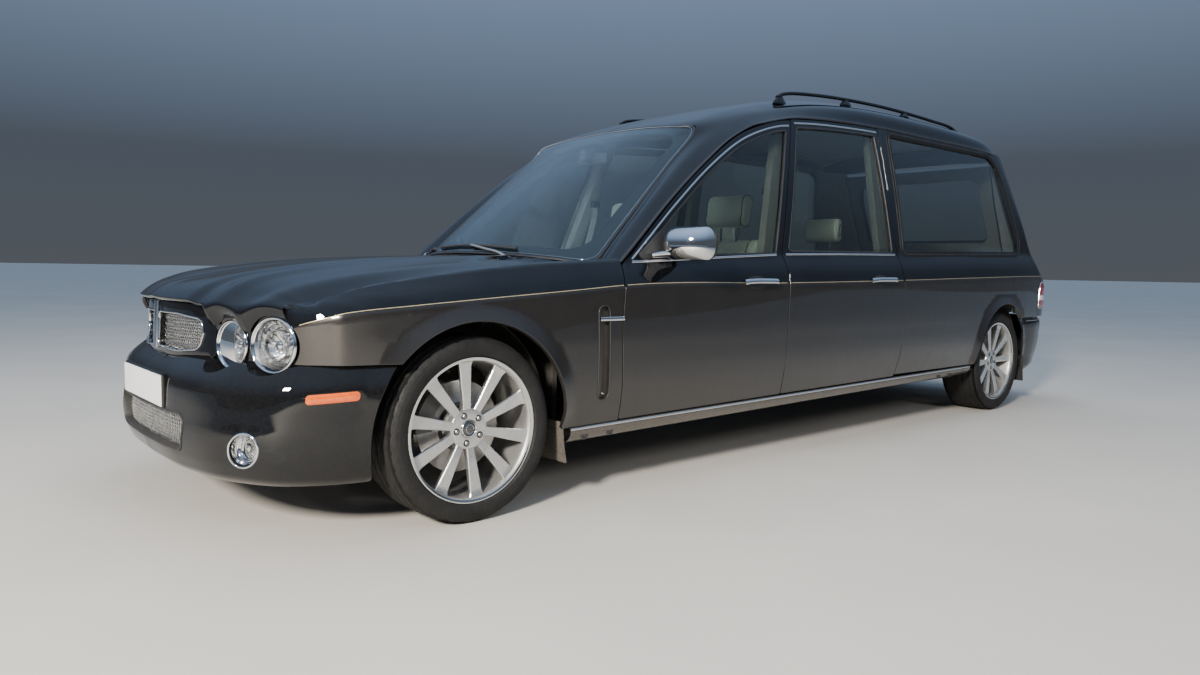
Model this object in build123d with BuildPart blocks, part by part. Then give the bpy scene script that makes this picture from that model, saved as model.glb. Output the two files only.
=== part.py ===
from build123d import *
import os
from math import cos, sin, hypot, radians

os.makedirs("parts", exist_ok=True)

# Four-door coachbuilt hearse. Millimetres, +Z up, the front faces -Y, +X is the car's left.
# Lengths along the car are given from the front axle, positive to the rear. Taking MID off them gives
# the part's own frame, whose origin is at mid length, mid width, on the ground.
LENGTH = 6220.0
FRONT_OVERHANG = 885.0
WHEELBASE = 4290.0
MID = LENGTH / 2 - FRONT_OVERHANG
Y_FRONT = -MID
Y_REAR = WHEELBASE - MID

TYRE_R = 343.5
RIM_R = 262.0
TYRE_W = 255.0
FRONT_X = 778.0
REAR_X = 773.0
KINGPIN_X = 690.0
ARCH_R = 400.0
HOUSING_R = 424.0
DOOR_T = 75.0
FRAME_T = 25.0
GAP = 10.0
HINGE_X = 935.0
FRONT_HINGE_Y = 700.0 - MID
REAR_HINGE_Y = 1815.0 - MID
FRAME_W = 42.0


def from_axle(points):
    """Moves (length, height) points from the axle's frame to the part's."""
    return [(a - MID, z) for a, z in points]


def offset_line(points, d):
    """The same open line moved d to its left, corner by corner."""
    out = []
    n = len(points)
    for i, (px, py) in enumerate(points):
        normals = []
        if i > 0:
            ax, ay = points[i - 1]
            l = hypot(px - ax, py - ay)
            normals.append((-(py - ay) / l, (px - ax) / l))
        if i < n - 1:
            bx, by = points[i + 1]
            l = hypot(bx - px, by - py)
            normals.append((-(by - py) / l, (bx - px) / l))
        if len(normals) == 1:
            nx, ny = normals[0]
            out.append((px + d * nx, py + d * ny))
        else:
            (ax, ay), (bx, by) = normals
            k = 1 + ax * bx + ay * by
            out.append((px + d * (ax + bx) / k, py + d * (ay + by) / k))
    return out


def lerp(a, b, t):
    return a + (b - a) * t


def at(table, a):
    """One row of a table sorted by its first column, read between rows."""
    if a <= table[0][0]:
        return table[0][1:]
    for lo, hi in zip(table, table[1:]):
        if a <= hi[0]:
            t = (a - lo[0]) / (hi[0] - lo[0])
            return tuple(lerp(p, q, t) for p, q in zip(lo[1:], hi[1:]))
    return table[-1][1:]


# Body side. length, z bottom, x bottom, z crease, x crease, z broad, x broad, z swage, x swage, z waist, x waist
SIDE = [
    (690, 313, 900, 430, 925, 620, 932, 866, 922, 960, 882),
    (1820, 326, 902, 440, 926, 625, 932, 879, 925, 1020, 880),
    (2930, 338, 902, 452, 926, 630, 932, 896, 926, 1046, 880),
    (4290, 352, 902, 465, 926, 640, 932, 924, 926, 1094, 872),
    (4900, 360, 880, 470, 905, 645, 908, 930, 898, 1100, 848),
]
GLASS_TOP_Z, GLASS_TOP_X = 1790.0, 727.0


def side_slab(a, lower_t, upper_t):
    """Closed section of the body side at one length: outside up, inside down."""
    zb, xb, zc, xc, zm, xm, zs, xs, zw, xw = at(SIDE, a)
    outside = [(xb, zb), (xc, zc), (xm, zm), (xs, zs), (xw, zw), (GLASS_TOP_X, GLASS_TOP_Z)]
    inside = [
        (GLASS_TOP_X - upper_t, GLASS_TOP_Z),
        (xw - upper_t, zw),
        (xb - lower_t, zw - 20),
        (xb - lower_t, zb),
    ]
    return outside + inside


def mirrored(points):
    return [(-x, z) for x, z in points]


# Door outlines seen from the side: length, height
FRONT_DOOR = [
    (706, 313), (697, 687), (722, 952), (792, 1000), (850, 1057), (1077, 1252), (1338, 1445),
    (1597, 1598), (1798, 1672), (1942, 1710), (2026, 1722), (1806, 1019), (1824, 931),
    (1819, 857), (1808, 690), (1793, 438), (1797, 327),
]
FRONT_WINDOW = [
    (872, 1010), (1100, 1207), (1352, 1394), (1606, 1540), (1800, 1610), (1905, 1640), (1962, 1650),
    (1756, 1040),
]
REAR_DOOR = [
    (1807, 328), (1803, 438), (1818, 690), (1829, 857), (1834, 931), (1817, 1019), (2038, 1730),
    (2242, 1750), (2705, 1776), (2880, 1782), (2905, 1044), (2928, 904), (2928, 658), (2894, 399),
    (2884, 339),
]
REAR_WINDOW = [(1874, 1052), (2076, 1684), (2242, 1702), (2705, 1728), (2838, 1734), (2858, 1064)]
QUARTER = [
    (2894, 345), (2904, 399), (2938, 658), (2938, 904), (2915, 1050), (2890, 1782), (4400, 1782), (4600, 1768),
    (4900, 1100), (4900, 362),
]
DECK_WINDOW = [(2994, 1078), (3006, 1750), (4300, 1757), (4400, 1712), (4455, 1600), (4612, 1135), (4590, 1108)]
WINDOW_PLAY = 1.0


def side_panel(outline, window, side, sections, lower_t, upper_t):
    """A panel of the body side, cut to its outline, with its window open."""
    with BuildPart() as panel:
        for a in sections:
            with BuildSketch(Plane.XZ.offset(-(a - MID))):
                with BuildLine():
                    pts = side_slab(a, lower_t, upper_t)
                    Polyline(*(pts if side > 0 else mirrored(pts)), close=True)
                make_face()
        loft(ruled=True)
        with BuildSketch(Plane.YZ.offset(side * 500)):
            with BuildLine():
                Polyline(*from_axle(outline), close=True)
            make_face()
        extrude(amount=side * 600, mode=Mode.INTERSECT)
        with BuildSketch(Plane.YZ.offset(side * 500)):
            with BuildLine():
                Polyline(*from_axle(window), close=True)
            make_face()
        extrude(amount=side * 600, mode=Mode.SUBTRACT)
    return panel.part


def side_glass(window, side, sections):
    """A pane 6 thick, in the middle of the frame around it."""
    with BuildPart() as pane:
        for a in sections:
            zw, xw = at(SIDE, a)[8:]
            with BuildSketch(Plane.XZ.offset(-(a - MID))):
                with BuildLine():
                    pts = [(xw - 9, zw - 15), (GLASS_TOP_X - 9, GLASS_TOP_Z), (GLASS_TOP_X - 15, GLASS_TOP_Z), (xw - 15, zw - 15)]
                    Polyline(*(pts if side > 0 else mirrored(pts)), close=True)
                make_face()
        loft(ruled=True)
        with BuildSketch(Plane.YZ.offset(side * 500)):
            with BuildLine():
                Polyline(*from_axle(window), close=True)
            make_face()
            offset(amount=-WINDOW_PLAY, kind=Kind.INTERSECTION, mode=Mode.REPLACE)
        extrude(amount=side * 600, mode=Mode.INTERSECT)
    return pane.part


front_doors = {}
for side, hand in ((1, "left"), (-1, "right")):
    part = side_panel(FRONT_DOOR, FRONT_WINDOW, side, (690, 2040), DOOR_T, FRAME_T)
    front_doors[hand] = part
    part.label = f"front_door_{hand}"
    export_step(part, f"parts/front_door_{hand}.step")
    part = side_panel(REAR_DOOR, REAR_WINDOW, side, (1800, 2940), DOOR_T, FRAME_T)
    part.label = f"rear_door_{hand}"
    export_step(part, f"parts/rear_door_{hand}.step")
    part = side_glass(FRONT_WINDOW, side, (690, 2040))
    part.label = f"front_door_glass_{hand}"
    export_step(part, f"parts/front_door_glass_{hand}.step")
    part = side_glass(REAR_WINDOW, side, (1800, 2940))
    part.label = f"rear_door_glass_{hand}"
    export_step(part, f"parts/rear_door_glass_{hand}.step")

with BuildPart() as deck_side_glass:
    add(side_glass(DECK_WINDOW, 1, (2930, 4290, 4700)))
    add(side_glass(DECK_WINDOW, -1, (2930, 4290, 4700)))
deck_side_glass.part.label = "deck_side_glass"
export_step(deck_side_glass.part, "parts/deck_side_glass.step")

# Rear corners, seen from above. z, x side, y side, y rear: the corner turns from the side to the rear face
# at x CORNER_X in four steps.
CORNER_X = 610.0
REAR_BUMPER_LINE = 641.0
CORNER = [
    (640, 880, 4880, 5190),
    (900, 872, 4880, 5196),
    (1040, 852, 4820, 5058),
    (1160, 836, 4760, 4950),
    (1450, 786, 4590, 4800),
    (1760, 724, 4440, 4665),
]
CORNER_T = 36.0


def corner_section(row, side):
    z, xs, ys, yr = row
    w = xs - CORNER_X
    outside = [(xs, ys), (xs - 0.04 * w, yr - 130), (xs - 0.18 * w, yr - 52), (xs - 0.48 * w, yr - 14), (CORNER_X, yr)]
    inside = offset_line(outside, CORNER_T)
    pts = outside + inside[::-1]
    return [(side * x, y - MID) for x, y in pts]


def quarter(side):
    with BuildPart() as q:
        add(side_panel(QUARTER, DECK_WINDOW, side, (2885, 4290, 4900), 42.0, 30.0))
        for lo, hi in zip(CORNER, CORNER[1:]):
            with BuildPart(mode=Mode.PRIVATE) as piece:
                for row in (lo, hi):
                    with BuildSketch(Plane.XY.offset(row[0])):
                        with BuildLine():
                            Polyline(*corner_section(row, side), close=True)
                        make_face()
                loft(ruled=True)
            add(piece.part)
        with Locations(Location((0, Y_REAR, TYRE_R), (0, 90, 0))):
            Cylinder(ARCH_R, 3000, mode=Mode.SUBTRACT)
        # the bumper wraps round below this line
        with Locations((side * 850, 4960 - MID, REAR_BUMPER_LINE - 250)):
            Box(500, 800, 500, mode=Mode.SUBTRACT)
        # tail lamp seat
        with Locations((side * 850, 5140 - MID, 800)):
            Box(150, 190, 196, mode=Mode.SUBTRACT)
    return q.part


with BuildPart() as rear_quarters:
    add(quarter(1))
    add(quarter(-1))
rear_quarters.part.label = "rear_quarters"
export_step(rear_quarters.part, "parts/rear_quarters.step")

with BuildPart() as tail_lamps:
    for side in (1, -1):
        with BuildSketch(Plane.XY.offset(706)):
            with BuildLine():
                Polyline(
                    *[(side * x, y - MID) for x, y in (
                        (780, 5050), (872, 5050), (868, 5092), (832, 5142), (780, 5172))],
                    close=True,
                )
            make_face()
        extrude(amount=188)
tail_lamps.part.label = "tail_lamps"
export_step(tail_lamps.part, "parts/tail_lamps.step")

# Roof. length, z centre, z at x 350, x shoulder, z shoulder, x side, z side, x edge, z edge
ROOF = [
    (1432, 1690, 1686, 560, 1668, 610, 1655, 662, 1620),
    (1800, 1800, 1796, 600, 1775, 680, 1745, 738, 1684),
    (2070, 1866, 1861, 610, 1845, 690, 1812, 738, 1742),
    (2700, 1945, 1940, 620, 1916, 700, 1880, 738, 1788),
    (3400, 1966, 1961, 620, 1930, 700, 1890, 738, 1792),
    (4100, 1958, 1953, 620, 1922, 700, 1880, 738, 1792),
    (4430, 1935, 1930, 620, 1902, 690, 1865, 735, 1792),
    (4660, 1862, 1857, 600, 1836, 670, 1808, 722, 1778),
]
ROOF_T = 26.0


def roof_section(row):
    a, z0, z1, x2, z2, x3, z3, x4, z4 = row
    half = [(350, z1), (x2, z2), (x3, z3), (x4, z4)]
    outside = [(-x, z) for x, z in half[::-1]] + [(0, z0)] + half
    inside = offset_line(outside, -ROOF_T)
    inside[0] = (-(x4 - 32), z4)
    inside[-1] = (x4 - 32, z4)
    return outside + inside[::-1]


# Windscreen pillar, seen from above. z, x and length of its front edge by the glass, of its middle, of its rear edge
# by the door
PILLAR = [
    (957, 710, 722, 800, 700, 872, 708),
    (1057, 696, 824, 782, 806, 860, 832),
    (1252, 674, 1032, 748, 1024, 823, 1060),
    (1445, 651, 1242, 722, 1250, 788, 1320),
    (1598, 634, 1412, 700, 1450, 758, 1574),
    (1640, 634, 1455, 700, 1510, 750, 1680),
    (1686, 655, 1500, 700, 1590, 737, 1790),
]


# Door posts from the sill up into the roof. z, length, x outside, half width along the car
POSTS = [
    [(366, 1812, 812, 60), (1040, 1812, 800, 50), (1735, 2030, 690, 45), (1790, 2036, 704, 40)],
    [(366, 2906, 812, 60), (1040, 2906, 800, 50), (1784, 2888, 690, 45), (1816, 2888, 718, 40)],
]


def pillar_section(row):
    z, xf, af, xm, am, xr, ar = row
    return [(xf, af), (xm, am), (xr, ar), (xr - 38, ar + 14), (xf + 22, af + 60)]

with BuildPart() as roof:
    for row in ROOF:
        with BuildSketch(Plane.XZ.offset(-(row[0] - MID))):
            with BuildLine():
                Polyline(*roof_section(row), close=True)
            make_face()
    loft(ruled=True)
    for side in (1, -1):
        for lo, hi in zip(PILLAR, PILLAR[1:]):
            with BuildPart(mode=Mode.PRIVATE) as piece:
                for row in (lo, hi):
                    with BuildSketch(Plane.XY.offset(row[0])):
                        with BuildLine():
                            Polyline(*[(side * x, a - MID) for x, a in pillar_section(row)], close=True)
                        make_face()
                loft(ruled=True)
            add(piece.part)
        # door posts, behind the doors' edges
        for rows in POSTS:
            with BuildPart(mode=Mode.PRIVATE) as post:
                for z, a, xo, w in rows:
                    with BuildSketch(Plane.XY.offset(z)):
                        with Locations((side * (xo - 22), a - MID)):
                            Rectangle(44, 2 * w)
                loft(ruled=True)
            add(post.part)
    # header over the tailgate
    with BuildSketch(Plane.XZ.offset(-(ROOF[-1][0] - MID))):
        with BuildLine():
            Polyline(*roof_section(ROOF[-1])[:9], close=True)
        make_face()
    extrude(amount=30)
roof.part.label = "roof"
export_step(roof.part, "parts/roof.step")

# Windscreen. x, base length, base z, top length, top z
SCREEN = [
    (-715, 724, 958, 1452, 1604),
    (-400, 555, 990, 1392, 1664),
    (0, 475, 1002, 1366, 1676),
    (400, 555, 990, 1392, 1664),
    (715, 724, 958, 1452, 1604),
]
with BuildPart() as windscreen:
    for x, ab, zb, at_, zt in SCREEN:
        with BuildSketch(Plane.YZ.offset(x)):
            with BuildLine():
                Polyline((ab - MID, zb), (at_ - MID, zt), (at_ - MID + 5, zt - 6), (ab - MID + 5, zb - 6), close=True)
            make_face()
    loft(ruled=True)
    with BuildSketch(Plane.XZ.offset(0)):
        with BuildLine():
            Polyline((-704, 900), (704, 900), (612, 1700), (-612, 1700), close=True)
        make_face()
    extrude(amount=3000, both=True, mode=Mode.INTERSECT)
windscreen.part.label = "windscreen"
export_step(windscreen.part, "parts/windscreen.step")

# Front wing. length, z bottom, x bottom, z broad, x broad, z swage, x swage, z shoulder, x shoulder, z top
WING = [
    (-610, 300, 780, 620, 812, 742, 812, 775, 785, 786),
    (-480, 300, 830, 620, 868, 776, 866, 812, 830, 828),
    (-250, 300, 880, 620, 908, 797, 902, 846, 860, 868),
    (100, 300, 900, 620, 926, 822, 914, 888, 870, 912),
    (450, 304, 900, 620, 930, 846, 920, 918, 876, 936),
    (685, 304, 900, 620, 932, 864, 922, 940, 882, 950),
]
WING_IN = 748.0
BUMPER_LINE = 606.0

# Lamp panel between the grille and the wing, seen from above: x, length of the front face
LAMP_PANEL = [(385, -728), (470, -702), (575, -672), (680, -640), (772, -596)]
# Lamps. x, length, z, radius, turned outwards by degrees
LAMPS = [(470, -712, 664, 75, 14), (680, -652, 674, 86, 26)]
FOG = (620, -738, 332, 55, 24)


def lamp_plane(side, x, a, z, turn):
    t = radians(turn)
    return Plane(
        origin=(side * x, a - MID, z),
        x_dir=(side * cos(t), sin(t), 0),
        z_dir=(side * sin(t), -cos(t), 0),
    )


def front_wing(side):
    with BuildPart() as w:
        for a, zb, xb, zm, xm, zs, xs, zh, xh, zt in WING:
            with BuildSketch(Plane.XZ.offset(-(a - MID))):
                with BuildLine():
                    pts = [(WING_IN, zb), (xb, zb), (xm, zm), (xs, zs), (xh, zh), (WING_IN, zt)]
                    Polyline(*[(side * x, z) for x, z in pts], close=True)
                make_face()
        loft(ruled=True)
        with Locations((side * 850, -600 - MID, BUMPER_LINE - 200)):
            Box(400, 800, 400, mode=Mode.SUBTRACT)
        with Locations(Location((0, Y_FRONT, TYRE_R), (0, 90, 0))):
            Cylinder(ARCH_R, 3000, mode=Mode.SUBTRACT)
        with BuildSketch(Plane.XY.offset(BUMPER_LINE)):
            with BuildLine():
                inside = offset_line(LAMP_PANEL, 40)
                Polyline(*[(side * x, a - MID) for x, a in LAMP_PANEL + inside[::-1]], close=True)
            make_face()
        extrude(amount=150)
        for x, a, z, r, turn in LAMPS:
            with BuildSketch(lamp_plane(side, x, a, z, turn)):
                Circle(r + 1)
            extrude(amount=120, both=True, mode=Mode.SUBTRACT)
    return w.part


with BuildPart() as front_wings:
    add(front_wing(1))
    add(front_wing(-1))
front_wings.part.label = "front_wings"
export_step(front_wings.part, "parts/front_wings.step")

with BuildPart() as headlamps:
    for side in (1, -1):
        for x, a, z, r, turn in LAMPS:
            with BuildSketch(lamp_plane(side, x, a, z, turn).offset(-60)):
                Circle(r)
            extrude(amount=74)
headlamps.part.label = "headlamps"
export_step(headlamps.part, "parts/headlamps.step")

# Bonnet. length, half width, z centre, z at 0.45, z at 0.8, z edge
BONNET = [
    (-822, 330, 808, 804, 796, 788),
    (-740, 500, 846, 848, 830, 794),
    (-640, 700, 872, 880, 846, 795),
    (-560, 736, 888, 896, 866, 803),
    (-250, 738, 930, 940, 912, 868),
    (150, 738, 962, 972, 948, 918),
    (620, 738, 990, 992, 974, 950),
]
BONNET_T = 25.0
BONNET_HINGE = (600.0, 922.0)
BONNET_REAR = [(738, 588), (400, 500), (0, 405)]

with BuildPart() as bonnet:
    for a, w, z0, z1, z2, z3 in BONNET:
        with BuildSketch(Plane.XZ.offset(-(a - MID))):
            with BuildLine():
                half = [(0.45 * w, z1), (0.8 * w, z2), (w, z3)]
                outside = [(-x, z) for x, z in half[::-1]] + [(0, z0)] + half
                inside = [(x, z - BONNET_T) for x, z in outside]
                Polyline(*(outside + inside[::-1]), close=True)
            make_face()
    loft(ruled=True)
    with BuildSketch(Plane.XY.offset(600)):
        with BuildLine():
            rear = [(x, a - MID) for x, a in BONNET_REAR]
            Polyline(*(rear + [(-x, y) for x, y in rear[::-1][1:]] + [(-738, -1000 - MID), (738, -1000 - MID)]), close=True)
        make_face()
    extrude(amount=600, mode=Mode.INTERSECT)
bonnet.part.label = "bonnet"
export_step(bonnet.part, "parts/bonnet.step")

# Bumpers, seen from above at each height. z, then the outside's (x, length) from the middle to the wheel arch
FRONT_BUMPER = [
    (215, [(0, -850), (340, -832), (580, -766), (740, -650), (822, -500), (850, -330)]),
    (330, [(0, -885), (360, -866), (620, -790), (782, -655), (852, -490), (884, -300)]),
    (450, [(0, -876), (360, -856), (620, -778), (796, -632), (866, -480), (902, -260)]),
    (600, [(0, -838), (350, -818), (600, -742), (768, -620), (850, -480), (904, -240)]),
]
REAR_BUMPER = [
    (250, [(0, 5220), (400, 5208), (680, 5140), (800, 5040), (846, 4920), (862, 4700)]),
    (420, [(0, 5318), (400, 5306), (700, 5230), (822, 5120), (868, 4960), (890, 4640)]),
    (600, [(0, 5335), (400, 5322), (700, 5246), (830, 5130), (884, 4960), (906, 4600)]),
    (632, [(0, 5290), (400, 5278), (690, 5200), (810, 5100), (866, 4950), (896, 4600)]),
]
BUMPER_T = 45.0


def bumper(rows, inner_sign):
    with BuildPart() as b:
        for lo, hi in zip(rows, rows[1:]):
            with BuildPart(mode=Mode.PRIVATE) as piece:
                for z, half in (lo, hi):
                    outside = [(-x, a) for x, a in half[::-1]] + half[1:]
                    inside = offset_line(outside, inner_sign * BUMPER_T)
                    with BuildSketch(Plane.XY.offset(z)):
                        with BuildLine():
                            Polyline(*[(x, a - MID) for x, a in outside + inside[::-1]], close=True)
                        make_face()
                loft(ruled=True)
            add(piece.part)
        for y in (Y_FRONT, Y_REAR):
            with Locations(Location((0, y, TYRE_R), (0, 90, 0))):
                Cylinder(ARCH_R + 4, 3000, mode=Mode.SUBTRACT)
                Cylinder(HOUSING_R + 10, 2 * 844, mode=Mode.SUBTRACT)
    return b.part


PLATE_W, PLATE_H = 520.0, 111.0
with BuildPart() as front_bumper:
    add(bumper(FRONT_BUMPER, 1))
    # plate mounting pad
    with Locations((0, -862 - MID, 484)):
        Box(PLATE_W + 20, 36, PLATE_H + 14)
    # lower air intake, right through
    with Locations((0, -850 - MID, 350)):
        Box(760, 200, 96, mode=Mode.SUBTRACT)
    for side in (1, -1):
        with BuildSketch(lamp_plane(side, *FOG[:3], FOG[4])):
            Circle(FOG[3] + 1)
        extrude(amount=150, both=True, mode=Mode.SUBTRACT)
        for x, a, z, r, turn in LAMPS:
            with BuildSketch(lamp_plane(side, x, a, z, turn)):
                Circle(r + 2)
            extrude(amount=120, both=True, mode=Mode.SUBTRACT)
    # towing eye socket on the car's right
    with Locations(Location((-520, -850 - MID, 500), (90, 0, 0))):
        Cylinder(8.5, 200, mode=Mode.SUBTRACT)
front_bumper.part.label = "front_bumper"
export_step(front_bumper.part, "parts/front_bumper.step")

with BuildPart() as fog_lamps:
    for side in (1, -1):
        with BuildSketch(lamp_plane(side, *FOG[:3], FOG[4]).offset(-50)):
            Circle(FOG[3])
        extrude(amount=60)
fog_lamps.part.label = "fog_lamps"
export_step(fog_lamps.part, "parts/fog_lamps.step")

with BuildPart() as rear_bumper:
    add(bumper(REAR_BUMPER, -1))
    # exhaust notches
    for x in (-520, 520):
        with Locations((x, 5250 - MID, 262)):
            Box(150, 260, 90, mode=Mode.SUBTRACT)
rear_bumper.part.label = "rear_bumper"
export_step(rear_bumper.part, "parts/rear_bumper.step")

# Grille: frame, centre bar and a plate that stands for the mesh
GRILLE_W, GRILLE_LOW, GRILLE_HIGH = 372.0, 606.0, 756.0
with BuildPart() as grille:
    with BuildSketch(Plane.XY.offset(GRILLE_LOW)):
        with BuildLine():
            front = [(-GRILLE_W, -742), (-180, -790), (0, -806), (180, -790), (GRILLE_W, -742)]
            back = [(x, a + 46) for x, a in front[::-1]]
            Polyline(*[(x, a - MID) for x, a in front + back], close=True)
        make_face()
    extrude(amount=GRILLE_HIGH - GRILLE_LOW)
    # the two mesh panels lie back in the frame
    with BuildSketch(Plane.XZ.offset(815 + MID)):
        for side in (1, -1):
            with Locations((side * 182, (GRILLE_LOW + GRILLE_HIGH) / 2)):
                RectangleRounded(312, 112, 30)
    extrude(amount=-50, mode=Mode.SUBTRACT)
grille.part.label = "grille"
export_step(grille.part, "parts/grille.step")

# Tailgate, seen from the side: length, z, outside from the top down
TAILGATE = [(4672, 1765), (4722, 1650), (4802, 1450), (4888, 1300), (4952, 1160), (5060, 1040), (5182, 944), (5206, 896), (5196, 640)]
TAILGATE_HALF = CORNER_X - GAP
TAILGATE_T = 45.0
TAILGATE_HINGE = (4664.0, 1774.0)
with BuildPart() as tailgate:
    with BuildSketch(Plane.YZ.offset(-TAILGATE_HALF)):
        with BuildLine():
            inside = offset_line(TAILGATE, -TAILGATE_T)
            Polyline(*from_axle(TAILGATE + inside[::-1]), close=True)
        make_face()
    extrude(amount=2 * TAILGATE_HALF)
    # window, straight through along the car
    with BuildSketch(Plane.XZ.offset(-(4600 - MID))):
        with Locations((0, 1430)):
            RectangleRounded(2 * TAILGATE_HALF - 150, 500, 60)
    extrude(amount=-700, mode=Mode.SUBTRACT)
tailgate.part.label = "tailgate"
export_step(tailgate.part, "parts/tailgate.step")

with BuildPart() as tailgate_glass:
    with BuildSketch(Plane.YZ.offset(-TAILGATE_HALF)):
        with BuildLine():
            outside = offset_line(TAILGATE[:5], -14)
            inside = offset_line(TAILGATE[:5], -20)
            Polyline(*from_axle(outside + inside[::-1]), close=True)
        make_face()
    extrude(amount=2 * TAILGATE_HALF)
    with BuildSketch(Plane.XZ.offset(-(4600 - MID))):
        with Locations((0, 1430)):
            RectangleRounded(2 * TAILGATE_HALF - 152, 498, 59)
    extrude(amount=-700, mode=Mode.INTERSECT)
tailgate_glass.part.label = "tailgate_glass"
export_step(tailgate_glass.part, "parts/tailgate_glass.step")

# Sills: section at the front and the rear. length, z bottom, z top
with BuildPart() as sills:
    for side in (1, -1):
        with BuildPart(mode=Mode.PRIVATE) as piece:
            for a, zb, zt in ((425, 236, 298), (3868, 280, 336)):
                with BuildSketch(Plane.XZ.offset(-(a - MID))):
                    with BuildLine():
                        pts = [(805, zt), (904, zt), (906, zt - 12), (866, zb), (805, zb)]
                        Polyline(*[(side * x, z) for x, z in pts], close=True)
                    make_face()
            loft(ruled=True)
        add(piece.part)
        with Locations((side * 800, (744 + 3868) / 2 - MID, 338)):
            Box(34, 3868 - 744, 50)
    # nothing of the sill stands in the wheel arches
    for y in (Y_FRONT, Y_REAR):
        with Locations(Location((0, y, TYRE_R), (0, 90, 0))):
            Cylinder(HOUSING_R + 10, 3000, mode=Mode.SUBTRACT)
sills.part.label = "sills"
export_step(sills.part, "parts/sills.step")

FLOOR_Z, FLOOR_T = 252.0, 22.0
# The floor kicks up over the rear axle: lengths where it rises and falls, half width there, height there
KICK_FROM, KICK_TO, KICK_X, KICK_Z = 3840.0, 4740.0, 494.0, 500.0
FLOOR_X, FLOOR_FROM, FLOOR_TO = 782.0, 448.0, 4890.0


def block(x0, x1, a0, a1, z0, z1, mode=Mode.ADD):
    with Locations(((x0 + x1) / 2, (a0 + a1) / 2 - MID, (z0 + z1) / 2)):
        Box(x1 - x0, a1 - a0, z1 - z0, mode=mode)


with BuildPart() as floor_pan:
    top = FLOOR_Z + FLOOR_T
    block(-FLOOR_X, FLOOR_X, FLOOR_FROM, KICK_FROM + FLOOR_T, FLOOR_Z, top)
    block(-FLOOR_X, FLOOR_X, KICK_TO - FLOOR_T, FLOOR_TO, FLOOR_Z, top)
    block(-560, 560, FLOOR_TO, 5080, FLOOR_Z, top)
    block(-KICK_X, KICK_X, KICK_FROM, KICK_FROM + FLOOR_T, FLOOR_Z, KICK_Z + FLOOR_T)
    block(-KICK_X, KICK_X, KICK_TO - FLOOR_T, KICK_TO, FLOOR_Z, KICK_Z + FLOOR_T)
    block(-KICK_X, KICK_X, KICK_FROM, KICK_TO, KICK_Z, KICK_Z + FLOOR_T)
    # the pan ends clear of the rear wheel housings
    for side in (1, -1):
        with Locations(Location((side * 700, Y_REAR, TYRE_R), (0, 90, 0))):
            Cylinder(HOUSING_R + 12, 2 * (700 - KICK_X - 2), mode=Mode.SUBTRACT)
    # front longitudinal rails that carry the bumper, the engine's subframe and the housings
    for x in (-392, 392):
        block(x - 35, x + 35, -775, 470, 395, 485)
        block(x - 35, x + 35, 448, 470, 260, 485)
    block(-430, 430, -775, -735, 395, 485)
floor_pan.part.label = "floor_pan"
export_step(floor_pan.part, "parts/floor_pan.step")

with BuildPart() as bulkhead:
    with Locations((0, 486 - MID, (276 + 890) / 2)):
        Box(2 * 742, 22, 890 - 276)
    with BuildSketch(Plane.XY.offset(890)):
        with BuildLine():
            front = [(742, 608), (400, 518), (0, 424)]
            pts = front + [(-x, a) for x, a in front[::-1][1:]] + [(-742, 735), (742, 735)]
            Polyline(*[(x, a - MID) for x, a in pts], close=True)
        make_face()
    extrude(amount=22)
bulkhead.part.label = "bulkhead"
export_step(bulkhead.part, "parts/bulkhead.step")

# Wheel housings: x inside, x outside, centre y
HOUSINGS = [("front", 436, WING_IN - 2, Y_FRONT), ("rear", 500, 836, Y_REAR)]
for place, x_in, x_out, y in HOUSINGS:
    with BuildPart() as housings:
        for side in (1, -1):
            with BuildPart(mode=Mode.PRIVATE) as drum:
                with BuildSketch(Plane.YZ.offset(side * x_in)):
                    with Locations((y, TYRE_R)):
                        Circle(HOUSING_R + 8)
                    with Locations((y, TYRE_R - 560)):
                        Rectangle(1200, 1000, mode=Mode.SUBTRACT)
                extrude(amount=side * (x_out - x_in))
                with BuildSketch(Plane.YZ.offset(side * (x_in + 8))):
                    with Locations((y, TYRE_R)):
                        Circle(HOUSING_R)
                extrude(amount=side * (x_out - x_in), mode=Mode.SUBTRACT)
            add(drum.part)
        # the front arms and the rear axle come through
        if place == "front":
            with Locations((0, y, 380)):
                Box(900, 150, 230, mode=Mode.SUBTRACT)
        else:
            with Locations(Location((0, y, TYRE_R), (0, 90, 0))):
                Cylinder(70, 1040, mode=Mode.SUBTRACT)
    housings.part.label = f"{place}_wheel_housings"
    export_step(housings.part, f"parts/{place}_wheel_housings.step")

# Deck that the coffin rides on, above the wheel housings
DECK_Z, DECK_T = 786.0, 30.0
with BuildPart() as coffin_deck:
    with Locations((0, (2960 + 4830) / 2 - MID, DECK_Z + DECK_T / 2)):
        Box(2 * 800, 4830 - 2960, DECK_T)
    # bearers, on the floor and on its kick-up
    for x in (-380, 380):
        block(x - 20, x + 20, 2960, KICK_FROM, FLOOR_Z + FLOOR_T, DECK_Z)
        block(x - 20, x + 20, KICK_FROM, KICK_TO, KICK_Z + FLOOR_T, DECK_Z)
coffin_deck.part.label = "coffin_deck"
export_step(coffin_deck.part, "parts/coffin_deck.step")

with BuildPart() as engine:
    with Locations((0, -80 - MID, 600)):
        Box(560, 760, 420)
engine.part.label = "engine"
export_step(engine.part, "parts/engine.step")

# Seats. Each is a cushion, a back and a head rest, leaned as a side outline: length, z
CUSHION = [(1330, 300), (1830, 300), (1850, 500), (1340, 560)]
BACK = [(1780, 505), (1905, 500), (2045, 1120), (1960, 1140)]
HEAD = [(1905, 1180), (1990, 1165), (2020, 1340), (1930, 1355)]
HEAD_POST = [(1955, 1120), (1975, 1120), (1975, 1185), (1955, 1185)]


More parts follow.
